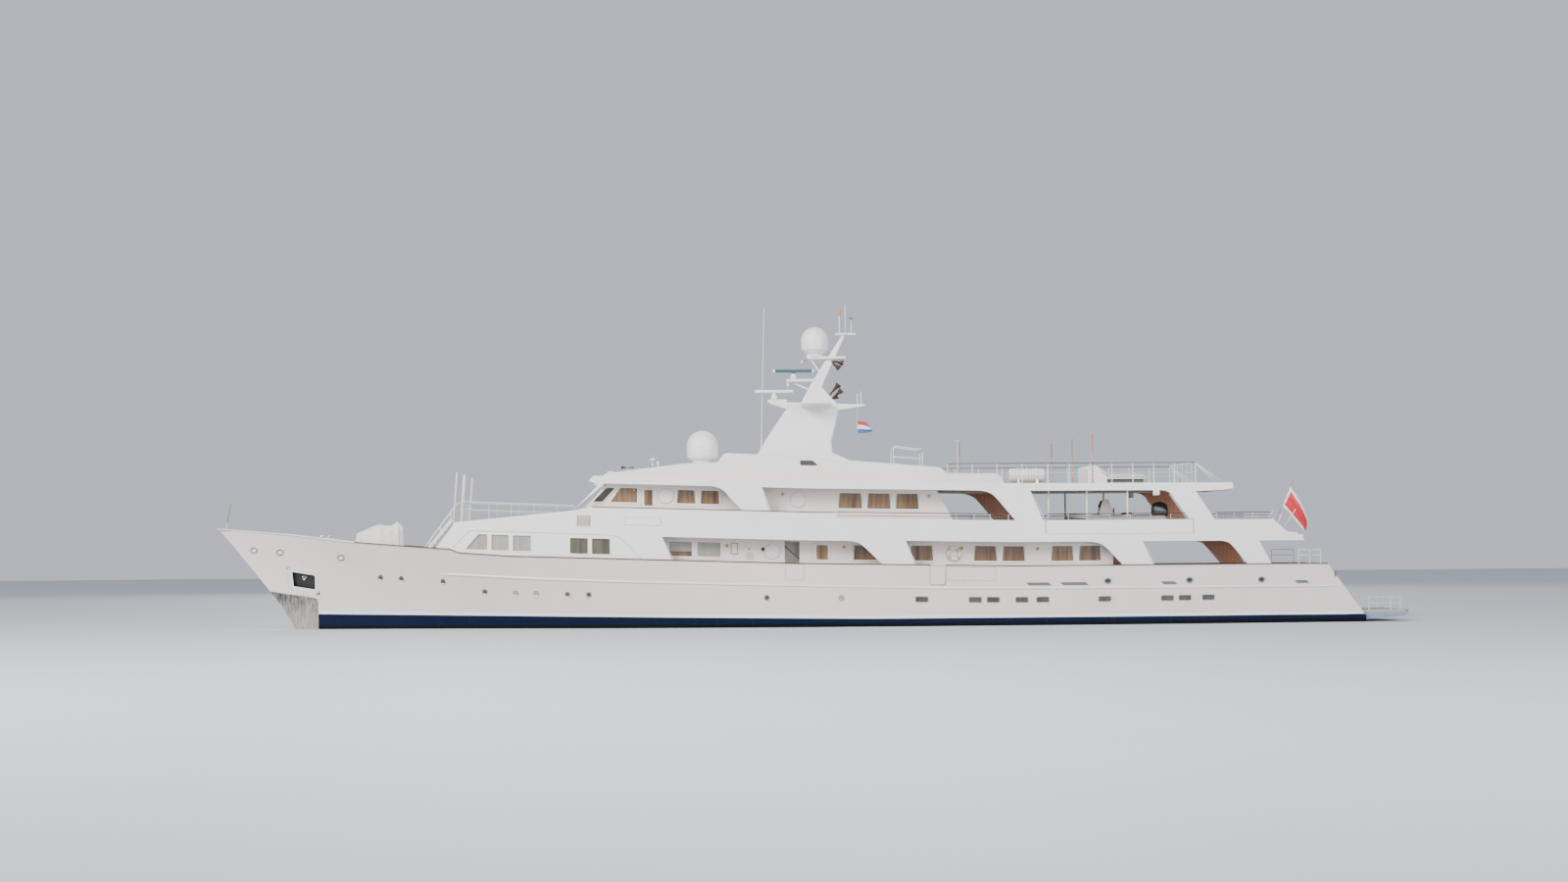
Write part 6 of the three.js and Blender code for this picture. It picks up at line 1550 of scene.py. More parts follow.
def wall_disc(x, z, radius, depth=0.03, groove=True):
    """Round cover on a house's side wall: a raised rim, a shallow groove and a slightly domed face."""
    rim = [(radius, -0.01), (radius, depth * 0.7), (radius * 0.97, depth), (radius * 0.9, depth)]
    inner = [(radius * 0.87, depth * 0.75), (radius * 0.84, depth * 0.95), (radius * 0.5, depth * 1.2),
             (0.003, depth * 1.25)]
    return lathe(rim + (inner if groove else inner[1:]), (x, HOUSE_HALF, z + sheer_at(x)), 40, "y")


def lifebuoy(x, z):
    """Ring on the house's side wall, and its four straps."""
    y, z, radius = HOUSE_HALF + 0.04, z + sheer_at(x), 0.2 - 0.045
    body = ring_of((x, y, z), radius, 0.042, steps=40, sides=14)
    straps = []
    for angle in (0.785, 2.356, 3.927, 5.498):
        centre = np.array((x + radius * math.cos(angle), y, z + radius * math.sin(angle)))
        path = centre + 0.02 * np.array([(-math.sin(angle), 0, math.cos(angle)),
                                         (math.sin(angle), 0, -math.cos(angle))])
        straps.append(tube(path, 0.0445, 14))
    return body, straps


def make_side_fittings():
    """What is fixed to the plating and the house walls: grilles, blank plates, covers, lifebuoys and
    lamps."""
    slats = [side_pane(on_side(rectangle(5.47, 5.16, z, z + 0.012, 0.004)), plating_side, 0.008)
             for z in spread(2.395, 2.645, 0.0277)]
    frame_line = on_side(rectangle(5.49, 5.14, 2.385, 2.666, 0.012))
    piece("side_grille", mirrored([side_frame(frame_line, plating_side, 0.014, 0.008), *slats]), WALL_CREAM)
    # The dark grey plate behind the slats is painted shade in the grille's recess
    piece("side_grille_painted_shade", both_sides(side_pane(frame_line, plating_side, 0.002)), DARK_GREY)
    plate = on_side(rectangle(4.23, 3.31, 2.458, 2.64, 0.02))
    piece("blank_name_board", mirrored([side_pane(plate, plating_side, 0.014, 0.02),
                                        side_frame(plate, plating_side, 0.01, 0.018)]), SUPER_WHITE)
    corners = np.array([(8.76, 1.737), (8.32, 2.2), (4.75, 2.173), (4.5, 2.16), (4.37, 2.1),
                        (4.115, 1.88), (3.83, 1.575)])
    length = np.concatenate([[0], np.cumsum(np.linalg.norm(np.diff(corners, axis=0), axis=1))])
    at = spread(0, length[-1], 0.08)
    line = table_at(at, length, corners)
    path = np.stack([line[:, 0], plating_side(line[:, 0], 0) + 0.002, line[:, 1] + sheer(line[:, 0])], -1)
    # The mouldings and edges are real, and their grey is a painted shade line along them
    piece("forward_panel_mouldings", both_sides(tube(path, 0.008, 6)), MOULDING_SHADE_GREY)
    board_edge = side_frame(grown(plate, 0.012), plating_side, 0.005, 0.006)
    piece("name_board_shade_edges", both_sides(board_edge), MOULDING_SHADE_GREY)
    covers = ((3.16, 3.234), (-0.3, 3.216), (0.39, 1.85))
    rims = [ring_of((x, HOUSE_HALF + 0.004, z + sheer_at(x)), 0.2, 0.007, steps=48) for x, z in covers]
    piece("round_cover_shade_rings", mirrored(rims), MOULDING_SHADE_GREY)
    discs = [wall_disc(x, z, 0.2) for x, z in covers]
    piece("wall_round_covers", mirrored(discs), SUPER_WHITE)
    body, straps = lifebuoy(-4.39, 1.86)
    piece("lifebuoys", both_sides(body), DOME_WHITE)
    piece("lifebuoy_straps", mirrored(straps), ORANGE_LAMP)
    x, y, z, reach = 0.99, HOUSE_HALF + 0.035, 1.728 + sheer_at(0.99), 0.08
    valve = [ring_of((x, y, z), 0.085, 0.01),
             rod((x, HOUSE_HALF - 0.01, z), (x, HOUSE_HALF + 0.04, z), 0.018)]
    spokes = [rod((x - reach * math.cos(a), y, z - reach * math.sin(a)),
                  (x + reach * math.cos(a), y, z + reach * math.sin(a)), 0.006) for a in (0.4, 1.45, 2.5)]
    piece("valve_wheels", mirrored(valve + spokes), RAIL_WHITE)
    dots = [wall_disc(0.626, 1.9, 0.05, 0.02, groove=False), wall_disc(0.99, 1.9, 0.02, 0.02, groove=False)]
    piece("wall_speakers", mirrored(dots), BLACK)
    notice = on_side(rectangle(1.47, 1.29, 1.75, 2.05, 0.01))
    piece("blank_notice_boards", both_sides(side_pane(notice, house_side, 0.014, 0.02)), HORN_BROWN)
    paper = on_side(rectangle(1.455, 1.305, 1.765, 2.035, 0.008))
    piece("blank_notice_faces", both_sides(side_pane(paper, house_side, 0.017, 0.006)), WALL_CREAM)
    lamps = [lathe([(0.045, -0.005), (0.045, 0.012), (0.038, 0.02), (0.03, 0.045), (0.012, 0.06),
                    (0.002, 0.062)], (x, HOUSE_HALF, z + sheer_at(x)), 24, "y")
             for x, z in ((1.58, 1.97), (-1.5, 2.0), (-2.7, 1.98), (-4.6, 2.0), (-6.6, 2.0), (4.0, 3.36),
                          (0.1, 3.36), (-3.75, 3.36))]
    piece("wall_lamps", mirrored(lamps), BRASS)
    posts = [rod((px, 2.25, UPPER_DECK), (px, 2.25, SUN_UNDER), 0.026, sides=14)
             for px in (-6.87, -7.88, -8.95)]
    piece("boat_deck_posts", mirrored(posts), POLE_CREAM)
    box_piece = block((-9.79, 2.22, 3.38), (-9.62, 2.36, SUN_UNDER + 0.004), 0.02)
    piece("boat_deck_junction_box", both_sides(box_piece), SUPER_WHITE)
    stays = [rod((-12.87, 1.72, 2.33), (-13.14, 1.72, 2.88), 0.012),
             rod((-13.1, 1.5, 2.33), (-13.55, 1.5, 3.0), 0.012)]
    piece("stern_slanted_poles", mirrored(stays), POLE_CREAM)


make_side_fittings()


# Outer faces of the door leaves in the side walls, and of the saloon's
DOOR_FACE, SALOON_DOOR_FACE = HOUSE_HALF + 0.004, -8.572
# Doors in the side walls. Columns: name, the pane's fore edge, aft edge, sill and head, lever's x, height
SIDE_DOORS = [("side_door", -0.776, -1.074, 1.66, 2.04, -1.118, 1.45),
              ("bridge_door", 3.734, 3.516, 2.97, 3.38, 3.473, 2.88)]


def door_side(x, z):
    return np.full(np.shape(x), DOOR_FACE)


def make_door_fittings():
    """Raised frame, pane and lever handle on each door leaf, riding with the leaf."""
    for side, sign in (("port", 1), ("starboard", -1)):
        for door, fore, aft, low, high, knob, knob_z in SIDE_DOORS:
            outline = on_side(rectangle(fore, aft, low, high, 0.03))
            z = knob_z + sheer_at(knob)
            lever = together([rod((knob, DOOR_FACE - 0.02, z), (knob, DOOR_FACE + 0.035, z), 0.008),
                              rod((knob, DOOR_FACE + 0.032, z), (knob + 0.07, DOOR_FACE + 0.032, z), 0.007),
                              lathe([(0.022, -0.01), (0.022, 0.005), (0.015, 0.01)],
                                    (knob, DOOR_FACE, z), 16, "y")])
            parts = [("frame", side_frame(outline, door_side, 0.022, 0.012), WALL_CREAM),
                     ("pane", side_pane(outline, door_side, 0.005, 0.012), AMBER_GLASS),
                     ("handle", lever, BRASS)]
            for name, shape, finish in parts:
                piece(f"{door}_{name}_{side}", on_side_of(shape, sign), finish, f"{door}_{side}")
        for door, low, high, knob_z in (("saloon_door", 1.2, 1.97, 1.5), ("upper_door", 2.51, 3.28, 2.85)):
            node = f"{door}_{side}"
            face = float(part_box(node)[0][0])
            near, lift = (face, sheer_at(face)) if door == "upper_door" else (SALOON_DOOR_FACE, 0.0)
            edge = loop_points([(0.073, low + lift), (0.384, low + lift), (0.384, high + lift),
                                (0.073, high + lift)], 0.03, 4)
            rings = [np.insert(grown(edge, reach), 0, near - depth, 1)
                     for reach, depth in ((0, -0.02), (0, 0.008), (0.006, 0.012), (0.018, 0.012),
                                          (0.022, 0.008), (0.022, -0.02))]
            pane = [np.insert(edge, 0, near + depth, 1) for depth in (0.01, -0.004)]
            lever = together([rod((near + 0.01, 0.04, knob_z + lift), (near - 0.035, 0.04, knob_z + lift),
                                  0.008),
                              rod((near - 0.032, 0.04, knob_z + lift - 0.13),
                                  (near - 0.032, 0.04, knob_z + lift + 0.13), 0.007)])
            parts = [("frame", hoop(rings), LINING), ("pane", solid(pane), AMBER_GLASS),
                     ("handle", lever, BRASS)]
            for name, shape, finish in parts:
                piece(f"{door}_{name}_{side}", on_side_of(shape, sign), finish, node)
    stair_rail = rod((0.065, 1.93, 2.0), (-0.335, 1.93, 1.655), 0.014)
    piece("companion_stair_rail", both_sides(lifted(stair_rail)), VARNISH)
    lobby = [block((-0.75, 1.5, 1.08), (0.5, 1.52, 2.3), 0.005),
             block((-0.36, 1.5, 1.08), (-0.34, 1.9, 2.3), 0.005)]
    piece("companion_lobby_panels", mirrored(lobby), LOBBY_GREY)


make_door_fittings()


def make_tender():
    """Inflatable boat on its chocks: tubes, a hull lofted under them, console, seat, wheel and outboard
    motor."""
    centre, tube_z, tube_radius = 1.18, 2.735, 0.122
    port = np.array([(-10.1, 0.4, 0), (-9.98, 0.4, 0), (-9.4, 0.405, 0), (-8.8, 0.405, 0.0),
                     (-8.12, 0.395, 0.02), (-7.85, 0.32, 0.045), (-7.67, 0.2, 0.06), (-7.57, 0.08, 0.065)])
    bow = np.concatenate([port, port[::-1] * (1, -1, 1)])
    t, fine = np.arange(len(bow)), np.linspace(0, len(bow) - 1, 90)
    path = table_at(fine, t, bow)
    for _ in range(6):
        path[1:-1] = (path[:-2] + 2 * path[1:-1] + path[2:]) / 4
    path += (0, centre, tube_z)
    radius = tube_radius * np.clip(np.minimum(np.arange(90), np.arange(90)[::-1]) / 4 + 0.35, 0, 1)
    collar = tube(path, radius, 22)
    out = unit(np.cross(np.gradient(path, axis=0), (0, 0, 1.0)))
    out *= np.sign(((path - (-8.9, centre, tube_z)) * out).sum(1, keepdims=True))
    strake = tube((path + out * tube_radius)[4:-4], 0.014, 8)
    made = piece("tender_tubes", collar, TUBE_FABRIC)
    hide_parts("tender")
    cos, sin = np.cos(turns(24))[:, None], np.sin(turns(24))[:, None]
    seams = [tube(path[k] + 0.1235 * (out[k] * cos + np.array([0, 0, 1.0]) * sin), 0.004, 6, ring=True)
             for k in (14, 26, 38, 51, 63, 75)]
    grips = []
    for k in (18, 22, 30, 34, 55, 59, 67, 71):
        base = path[k:k + 3] + out[k:k + 3] * 0.07 + (0, 0, 0.098)
        arch = np.array([base[0], base[0] + (0, 0, 0.03), base[1] + (0, 0, 0.045),
                         base[2] + (0, 0, 0.03), base[2]])
        grips.append(tube(arch, 0.006, 6))
    piece("tender_strake_seams_and_grips", together([strake, *seams, *grips]), NAVY)
    stations = [(-9.98, 0.37, 2.42, 2.71), (-9.5, 0.375, 2.42, 2.71), (-8.8, 0.375, 2.425, 2.715),
                (-8.12, 0.34, 2.45, 2.73), (-7.8, 0.2, 2.52, 2.77), (-7.62, 0.05, 2.62, 2.79)]
    rings = []
    for x, half, keel, top in stations:
        section = np.array([(0, keel), (half * 0.45, keel + 0.055), (half * 0.88, keel + 0.13),
                            (half, keel + 0.15), (half, top), (half * 0.5, top - 0.01), (0, top - 0.012)])
        whole = np.concatenate([section, section[-2:0:-1] * (-1, 1)])
        rings.append(np.insert(whole, 0, x, 1) + (0, centre, 0))
    chines = [tube([(x, centre + s * half * 0.6, keel + 0.075) for x, half, keel, top in stations[:5]], 0.008,
                   6) for s in (-1, 1)]
    piece("tender_hull", together([solid(rings), *chines]), SUPER_WHITE, sharp=30)
    floor_z = 2.7
    body = tower([(floor_z, -8.7, -8.3, 0.17), (2.98, -8.68, -8.32, 0.165), (3.1, -8.66, -8.36, 0.155),
                  (3.27, -8.6, -8.42, 0.11), (3.3, -8.57, -8.45, 0.08)], 0.05, 5)
    seat = tower([(floor_z, -9.22, -8.95, 0.2), (2.88, -9.22, -8.95, 0.2)], 0.03)
    board = block((-9.99, -0.37, 2.5), (-9.93, 0.37, 2.83), 0.012)
    bow_locker = tower([(floor_z, -8.12, -7.86, 0.16), (2.8, -8.1, -7.9, 0.13), (2.81, -8.09, -7.92, 0.12)],
                       0.04)
    piece("tender_console_and_seat", moved_across([body, seat, board, bow_locker], centre), CONSOLE_CREAM)
    pad = tower([(2.875, -9.2, -8.97, 0.185), (2.89, -9.215, -8.955, 0.2), (2.925, -9.215, -8.955, 0.2),
                 (2.945, -9.19, -8.98, 0.175)], 0.05, 5)
    glass_face = np.array([[(-8.34 + 0.03 * (1 - s * s), s * 0.135, 3.08),
                            (-8.41 + 0.03 * (1 - s * s), s * 0.105, 3.26)] for s in np.linspace(-1, 1, 13)])
    windscreen = sheet_shell(glass_face, 0.006)
    wheel = ring_of((-8.74, 0, 3.0), 0.075, 0.008, "yz")
    spokes = [rod((-8.74, 0, 3.0), (-8.74, 0.074 * math.cos(a), 3.0 + 0.074 * math.sin(a)), 0.005)
              for a in (0.5, 2.6, 4.71)]
    column = rod((-8.74, 0, 3.0), (-8.67, 0, 2.98), 0.012)
    black = [pad, windscreen, wheel, *spokes, column]
    piece("tender_black_fittings", moved_across(black, centre), BLACK)
    cowl = tower([(2.8, -10.1, -9.86, 0.09), (2.84, -10.17, -9.78, 0.12), (2.95, -10.19, -9.74, 0.13),
                  (3.06, -10.18, -9.74, 0.128), (3.15, -10.14, -9.77, 0.112), (3.2, -10.06, -9.83, 0.08),
                  (3.22, -10.0, -9.9, 0.04)], 0.09, 6)
    leg = tower([(2.47, -10.13, -10.02, 0.03), (2.6, -10.12, -9.99, 0.035), (2.82, -10.1, -9.93, 0.06)], 0.02)
    clamp = block((-10.0, -0.08, 2.74), (-9.9, 0.08, 2.86), 0.01)
    gear_case = lathe([(0.004, -0.13), (0.028, -0.06), (0.034, 0.02), (0.02, 0.09), (0.004, 0.11)],
                      (-10.09, 0, 2.455), 16, "x")
    piece("tender_outboard_motor", moved_across([cowl, leg, clamp, gear_case], centre), COWL_BLACK)
    chocks = []
    for x in (-8.1, -9.4):
        shape = np.array([(-0.3, 2.329), (0.3, 2.329), (0.3, 2.36), (0.27, 2.6), (0.2, 2.56), (0.0, 2.44),
                          (-0.2, 2.56), (-0.27, 2.6), (-0.3, 2.36)])
        rings = [np.stack([np.full(9, x + off), shape[:, 0] + centre, shape[:, 1]], -1)
                 for off in (-0.04, 0.04)]
        chocks.append(solid(rings))
        chocks.append(block((x - 0.07, centre - 0.33, 2.329), (x + 0.07, centre + 0.33, 2.345), 0.006))
    piece("tender_chocks", together(chocks), SUPER_WHITE, sharp=25)


make_tender()


def make_liferaft():
    """Canister in two ribbed halves with a lip between them, straps, a dark end cap and two cradles on the
    deck."""
    start, end, y, z, radius = -6.83, -5.88, 1.85, 3.935, 0.186
    along = spread(start + 0.07, end - 0.07, 0.006)
    ribs = radius * (0.965 + 0.035 * np.clip(3 * np.cos((along - start) * 2 * math.pi / 0.081), -1, 1))
    profile = [(0.02, start), (radius * 0.75, start + 0.002), (radius * 0.92, start + 0.02),
               (radius * 0.97, start + 0.06), *zip(ribs, along), (radius * 0.97, end - 0.06),
               (radius * 0.92, end - 0.02), (radius * 0.75, end - 0.002), (0.02, end)]
    body = lathe(profile, (0, y, z), 48, "x")
    loop = loop_points([(start + 0.02, -0.196), (end - 0.02, -0.196), (end - 0.02, 0.196),
                        (start + 0.02, 0.196)], 0.04)
    lip = solid([np.insert(loop, 2, z + dz, 1) + (0, y, 0) for dz in (-0.01, 0.01)])
    made = piece("liferaft_canister", together([body, lip]), DOME_WHITE, sharp=50)
    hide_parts("liferaft")
    turn = turns(40)
    straps = []
    for x in (-6.6, -6.35, -6.11):
        section = loop_points([(x - 0.02, radius - 0.004), (x + 0.02, radius - 0.004),
                               (x + 0.02, radius + 0.007), (x - 0.02, radius + 0.007)], 0.003, 2)
        ring = np.stack([np.broadcast_to(section[:, 0], (40, len(section))),
                         y + section[:, 1] * np.cos(turn)[:, None],
                         z + section[:, 1] * np.sin(turn)[:, None]], -1)
        straps.append(hoop(ring))
    piece("liferaft_straps", together(straps), WALL_CREAM)
    cap = lathe([(0.02, start - 0.012), (0.1, start - 0.012), (0.135, start - 0.004), (0.14, start + 0.01)],
                (0, y, z), 36, "x")
    feet = []
    for x in (-6.6, -6.11):
        outline = np.array([(-0.2, SUN_DECK), (0.2, SUN_DECK), (0.2, SUN_DECK + 0.03), (0.16, 3.86),
                            (0.13, 3.79), (0.0, 3.753), (-0.13, 3.79), (-0.16, 3.86),
                            (-0.2, SUN_DECK + 0.03)])
        rings = [np.insert(outline, 0, x + off, 1) + (0, y, 0) for off in (-0.028, 0.028)]
        feet.append(solid(rings))
    piece("liferaft_end_cap", cap, BLACK)
    piece("liferaft_cradles", together(feet), STAINLESS, sharp=25)


make_liferaft()


def cushion(name, low, high, finish, crown, swell):
    """Stuffed pad: a rounded block with a piped edge seam."""
    low, high = np.asarray(low, float), np.asarray(high, float)
    size, middle = high - low, (high + low) / 2
    n = 28
    u, v = np.meshgrid(np.linspace(-1, 1, n), np.linspace(-1, 1, n), indexing="ij")
    bulge = (1 - u ** 2) * (1 - v ** 2)
    waist_x, waist_y = 1 - 0.018 * (1 - v ** 2), 1 - 0.018 * (1 - u ** 2)
    rounding = 1 - 0.035 * np.abs(u * v) ** 6
    sheets = []
    for sign in (-1, 1):
        edge = np.maximum(np.abs(u), np.abs(v)) ** 10
        z = middle[2] + sign * (size[2] / 2 * (1 - 0.5 * edge) + (crown * bulge ** 0.5 if sign > 0 else 0.0))
        sheets.append(np.stack([middle[0] + u * waist_x * rounding * size[0] / 2,
                                middle[1] + v * waist_y * rounding * size[1] / 2, z], -1))
    faces = quads(n, n)
    border = np.concatenate([np.arange(n - 1) * n, (n - 1) * n + np.arange(n - 1),
                             (n - 1 - np.arange(n - 1)) * n + n - 1, (n - 1) - np.arange(n - 1)])
    after = np.roll(border, -1)
    walls = np.stack([border, after, after + n * n, border + n * n], -1).tolist()
    points = np.concatenate([sheet.reshape(-1, 3) for sheet in sheets])
    under, over = [face[::-1] for face in faces], [[k + n * n for k in face] for face in faces]
    made = piece(name, (points, under + over + walls), finish, sharp=75)
    swell_cloth(made, swell)
    rim = sheets[1].reshape(-1, 3)[border]
    rim[:, 2] = middle[2] + size[2] * 0.25
    piece(name + "_piping", tube(rim + (rim - middle) * (0.006, 0.006, 0), 0.006, 6, ring=True), finish)


def swell_cloth(made, cap):
    """Voxel remesh, cloth pressure with gravity off for twenty frames, movement capped, then one
    subdivision."""
    scene = bpy.context.scene
    remesh = made.modifiers.new("even_mesh", "REMESH")
    remesh.mode, remesh.voxel_size = "VOXEL", 0.015
    bake(made)
    count = len(made.data.vertices)
    rest = np.empty(count * 3)
    made.data.vertices.foreach_get("co", rest)
    soft = made.modifiers.new("swell", "CLOTH")
    soft.settings.use_pressure = True
    soft.settings.uniform_pressure_force = 4.0
    soft.settings.effector_weights.gravity = 0.0
    for step in range(1, 21):
        scene.frame_set(step)
    shaped = made.evaluated_get(bpy.context.evaluated_depsgraph_get()).data
    after = np.empty(count * 3)
    shaped.vertices.foreach_get("co", after)
    made.modifiers.remove(soft)
    scene.frame_set(1)
    move = (after - rest).reshape(-1, 3)
    far = np.linalg.norm(move, axis=1, keepdims=True)
    move *= np.minimum(1.0, cap / np.maximum(far, 1e-9))
    floor = rest.reshape(-1, 3)[:, 2].min()
    final = rest.reshape(-1, 3) + move
    final[:, 2] = np.maximum(final[:, 2], floor)
    made.data.vertices.foreach_set("co", final.ravel())
    made.data.polygons.foreach_set("use_smooth", np.ones(len(made.data.polygons), bool))
    made.data.update()
    finer = made.modifiers.new("finer", "SUBSURF")
    finer.levels = finer.render_levels = 1


def bake(made):
    """A modifier's result put in the piece's own mesh."""
    shown = made.evaluated_get(bpy.context.evaluated_depsgraph_get())
    finish = list(made.data.materials)
    mesh = bpy.data.meshes.new_from_object(shown)
    made.modifiers.clear()
    made.data = mesh
    mesh.materials.clear()
    for each in finish:
        mesh.materials.append(each)


def make_sun_bed():
    """Sun bed across the deck: base box with slats, a slab, two long pads, head pads and a fluted backrest
    behind them."""
    fluting = np.linspace(-0.69, 1.29, 240)
    ribs = 0.012 * np.abs(np.sin((fluting + 0.69) * math.pi / 0.11)) ** 0.6
    profile = np.array([(-8.06, 3.725), (-8.045, 4.15), (-8.06, 4.178), (-8.12, 4.186), (-8.24, 4.196),
                        (-8.29, 4.185), (-8.31, 4.15)])
    outward = np.array([1.0, 1.0, 0.7, 0.0, 0.0, 0.0, 0.0])
    rows = [np.stack([px + ribs * push, fluting, np.full(240, pz)], -1)
            for (px, pz), push in zip(profile, outward)]
    rows += [np.stack([np.full(240, px), fluting, np.full(240, pz)], -1)
             for px, pz in ((-8.56, 3.9), (-8.56, 3.725))]
    back = solid(np.array(rows).transpose(1, 0, 2))
    slab = block((-9.6, -0.7, 3.83), (-8.5, 1.3, 3.868), 0.014)
    made = piece("sun_bed_backrest_and_slab", together([back, slab]), SUPER_WHITE, sharp=35)
    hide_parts("sun_bed")
    slats = [block((x - 0.012, -0.62, SUN_DECK), (x + 0.012, 1.22, 3.832), 0.004)
             for x in spread(-8.62, -9.5, 0.11)]
    slats += [block((-9.54, y - 0.012, SUN_DECK + 0.02), (-8.56, y + 0.012, 3.832), 0.004)
              for y in (-0.6, 0.3, 1.2)]
    piece("sun_bed_slatted_base", together(slats), DARK_GREY)
    for k, (fore, aft) in enumerate(((-0.685, 0.292), (0.308, 1.285))):
        cushion(f"sun_bed_pad_{k + 1}", (-9.59, fore, 3.868), (-8.57, aft, 3.955),
                CUSHION_WHITE, 0.006, 0.008)
    slope_low, slope_high = np.array((-8.555, 3.955)), np.array((-8.3, 4.165))
    way = (slope_high - slope_low) / np.linalg.norm(slope_high - slope_low)
    normal = np.array((-way[1], way[0]))
    for k, (near, far) in enumerate(((-0.68, -0.03), (-0.01, 0.62), (0.64, 1.28))):
        s, t = np.meshgrid(np.linspace(-1, 1, 22), np.linspace(-1, 1, 26), indexing="ij")
        fat = np.clip((1 - s ** 8) * (1 - t ** 8), 0, 1) ** 0.5
        centre = (slope_low + slope_high) / 2
        span = np.linalg.norm(slope_high - slope_low) / 2 * 0.94
        sheets = []
        for sign in (1, -1):
            crowned = 0.03 * fat + 0.012 * (1 - s ** 2) * (1 - t ** 2)
            depth = crowned if sign > 0 else np.full(s.shape, -0.012)
            x = centre[0] + way[0] * s * span + normal[0] * depth
            z = centre[1] + way[1] * s * span + normal[1] * depth
            sheets.append(np.stack([x, (near + far) / 2 + t * (far - near) / 2, z], -1))
        n, m = s.shape
        grid = quads(n, m)
        border = np.concatenate([np.arange(n - 1) * m, (n - 1) * m + np.arange(m - 1),
                                 (n - 1 - np.arange(n - 1)) * m + m - 1, (m - 1) - np.arange(m - 1)])
        walls = np.stack([border, np.roll(border, -1), np.roll(border, -1) + n * m, border + n * m],
                         -1).tolist()
        points = np.concatenate([sheet.reshape(-1, 3) for sheet in sheets])
        made = piece(f"sun_bed_head_pad_{k + 1}",
                     (points, grid + [[i + n * m for i in face][::-1] for face in grid] + walls),
                     CUSHION_WHITE, sharp=75)


make_sun_bed()


def flag_paint(name, bands, border=None):
    """Flag cloth: colours by place on the cloth, across for the bands and inward for a border, with a woven
    bump."""
    flag = Finish(name, bands[0][1], 0.75, Sheen_Weight=0.2, Sheen_Roughness=0.4)
    where = flag.node("ShaderNodeAttribute", settings={"attribute_name": "cloth_place"})
    x, y, z = flag.split(where.outputs["Vector"])
    color = bands[0][1]
    for start, band in bands[1:]:
        color = flag.mix(flag.over(x, start), color, band)
    if border:
        color = flag.mix(flag.under(z, border), color, (0.85, 0.84, 0.82))
    threads = flag.times(flag.math("SINE", flag.times(x, 900.0)), flag.math("SINE", flag.times(y, 1500.0)))
    drift = flag.noise(5.0, 4.0)
    shade = flag.mix(flag.times(drift, 0.35), (1.0, 1.0, 1.0), (0.72, 0.7, 0.7))
    flag.color(flag.mix(1.0, color, shade, "MULTIPLY"))
    flag.bump(threads, 0.15, 0.001)
    return flag.material


def flag_piece(name, top, low, long, wide, folds, swing, material):
    """Flag: hoist along u between two edge curves, fly along v. Folds across the fly are a sine whose height
    grows from the hoist, as large as the cloth's own length between the edges allows."""
    rows, cols = 41, 61
    v = np.linspace(0, 1, cols)[None, :, None]
    u = np.linspace(0, 1, rows)[:, None, None]
    t = np.linspace(0, 1, len(top))
    upper = table_at(v[0, :, 0], t, top)
    lower = table_at(v[0, :, 0], t, low)
    for _ in range(5):
        upper[1:-1] = (upper[:-2] + 2 * upper[1:-1] + upper[2:]) / 4
        lower[1:-1] = (lower[:-2] + 2 * lower[1:-1] + lower[2:]) / 4
    face = upper[None] * (1 - u) + lower[None] * u
    chord = np.linalg.norm(lower - upper, axis=-1)
    spare = np.clip((wide / np.maximum(chord, 1e-6)) ** 2 - 1, 0, None)
    height = np.clip(chord * np.sqrt(2 * spare) / (2 * math.pi * folds), 0, 0.09)
    phase = 2 * math.pi * folds * u[:, :, 0] + 1.4 * np.sin(2.2 * v[:, :, 0] * math.pi)
    between_edges = np.sin(u[:, :, 0] * math.pi) ** 0.25
    sway = swing * np.sin(v[:, :, 0] * 4.0) * v[:, :, 0]
    face[..., 1] += height * np.sin(phase) * between_edges + sway
    made = piece(name, sheet_shell(face, 0.002), material, sharp=75, join=1e-6)
    share_u = np.broadcast_to(u[:, :, 0], (rows, cols))
    share_v = np.broadcast_to(v[:, :, 0], (rows, cols))
    inward = np.minimum(np.minimum(share_u, 1 - share_u) * wide, np.minimum(share_v, 1 - share_v) * long)
    marks = np.stack([share_u * wide, share_v * long, inward], -1).reshape(-1, 3)
    co = np.empty(len(made.data.vertices) * 3)
    made.data.vertices.foreach_get("co", co)
    co = co.reshape(-1, 3)
    flat = face.reshape(-1, 3)
    nearest = np.array([((flat - point) ** 2).sum(1).argmin() for point in co])
    place = made.data.attributes.new("cloth_place", "FLOAT_VECTOR", "POINT")
    place.data.foreach_set("vector", marks[nearest].astype(np.float32).ravel())
    return made


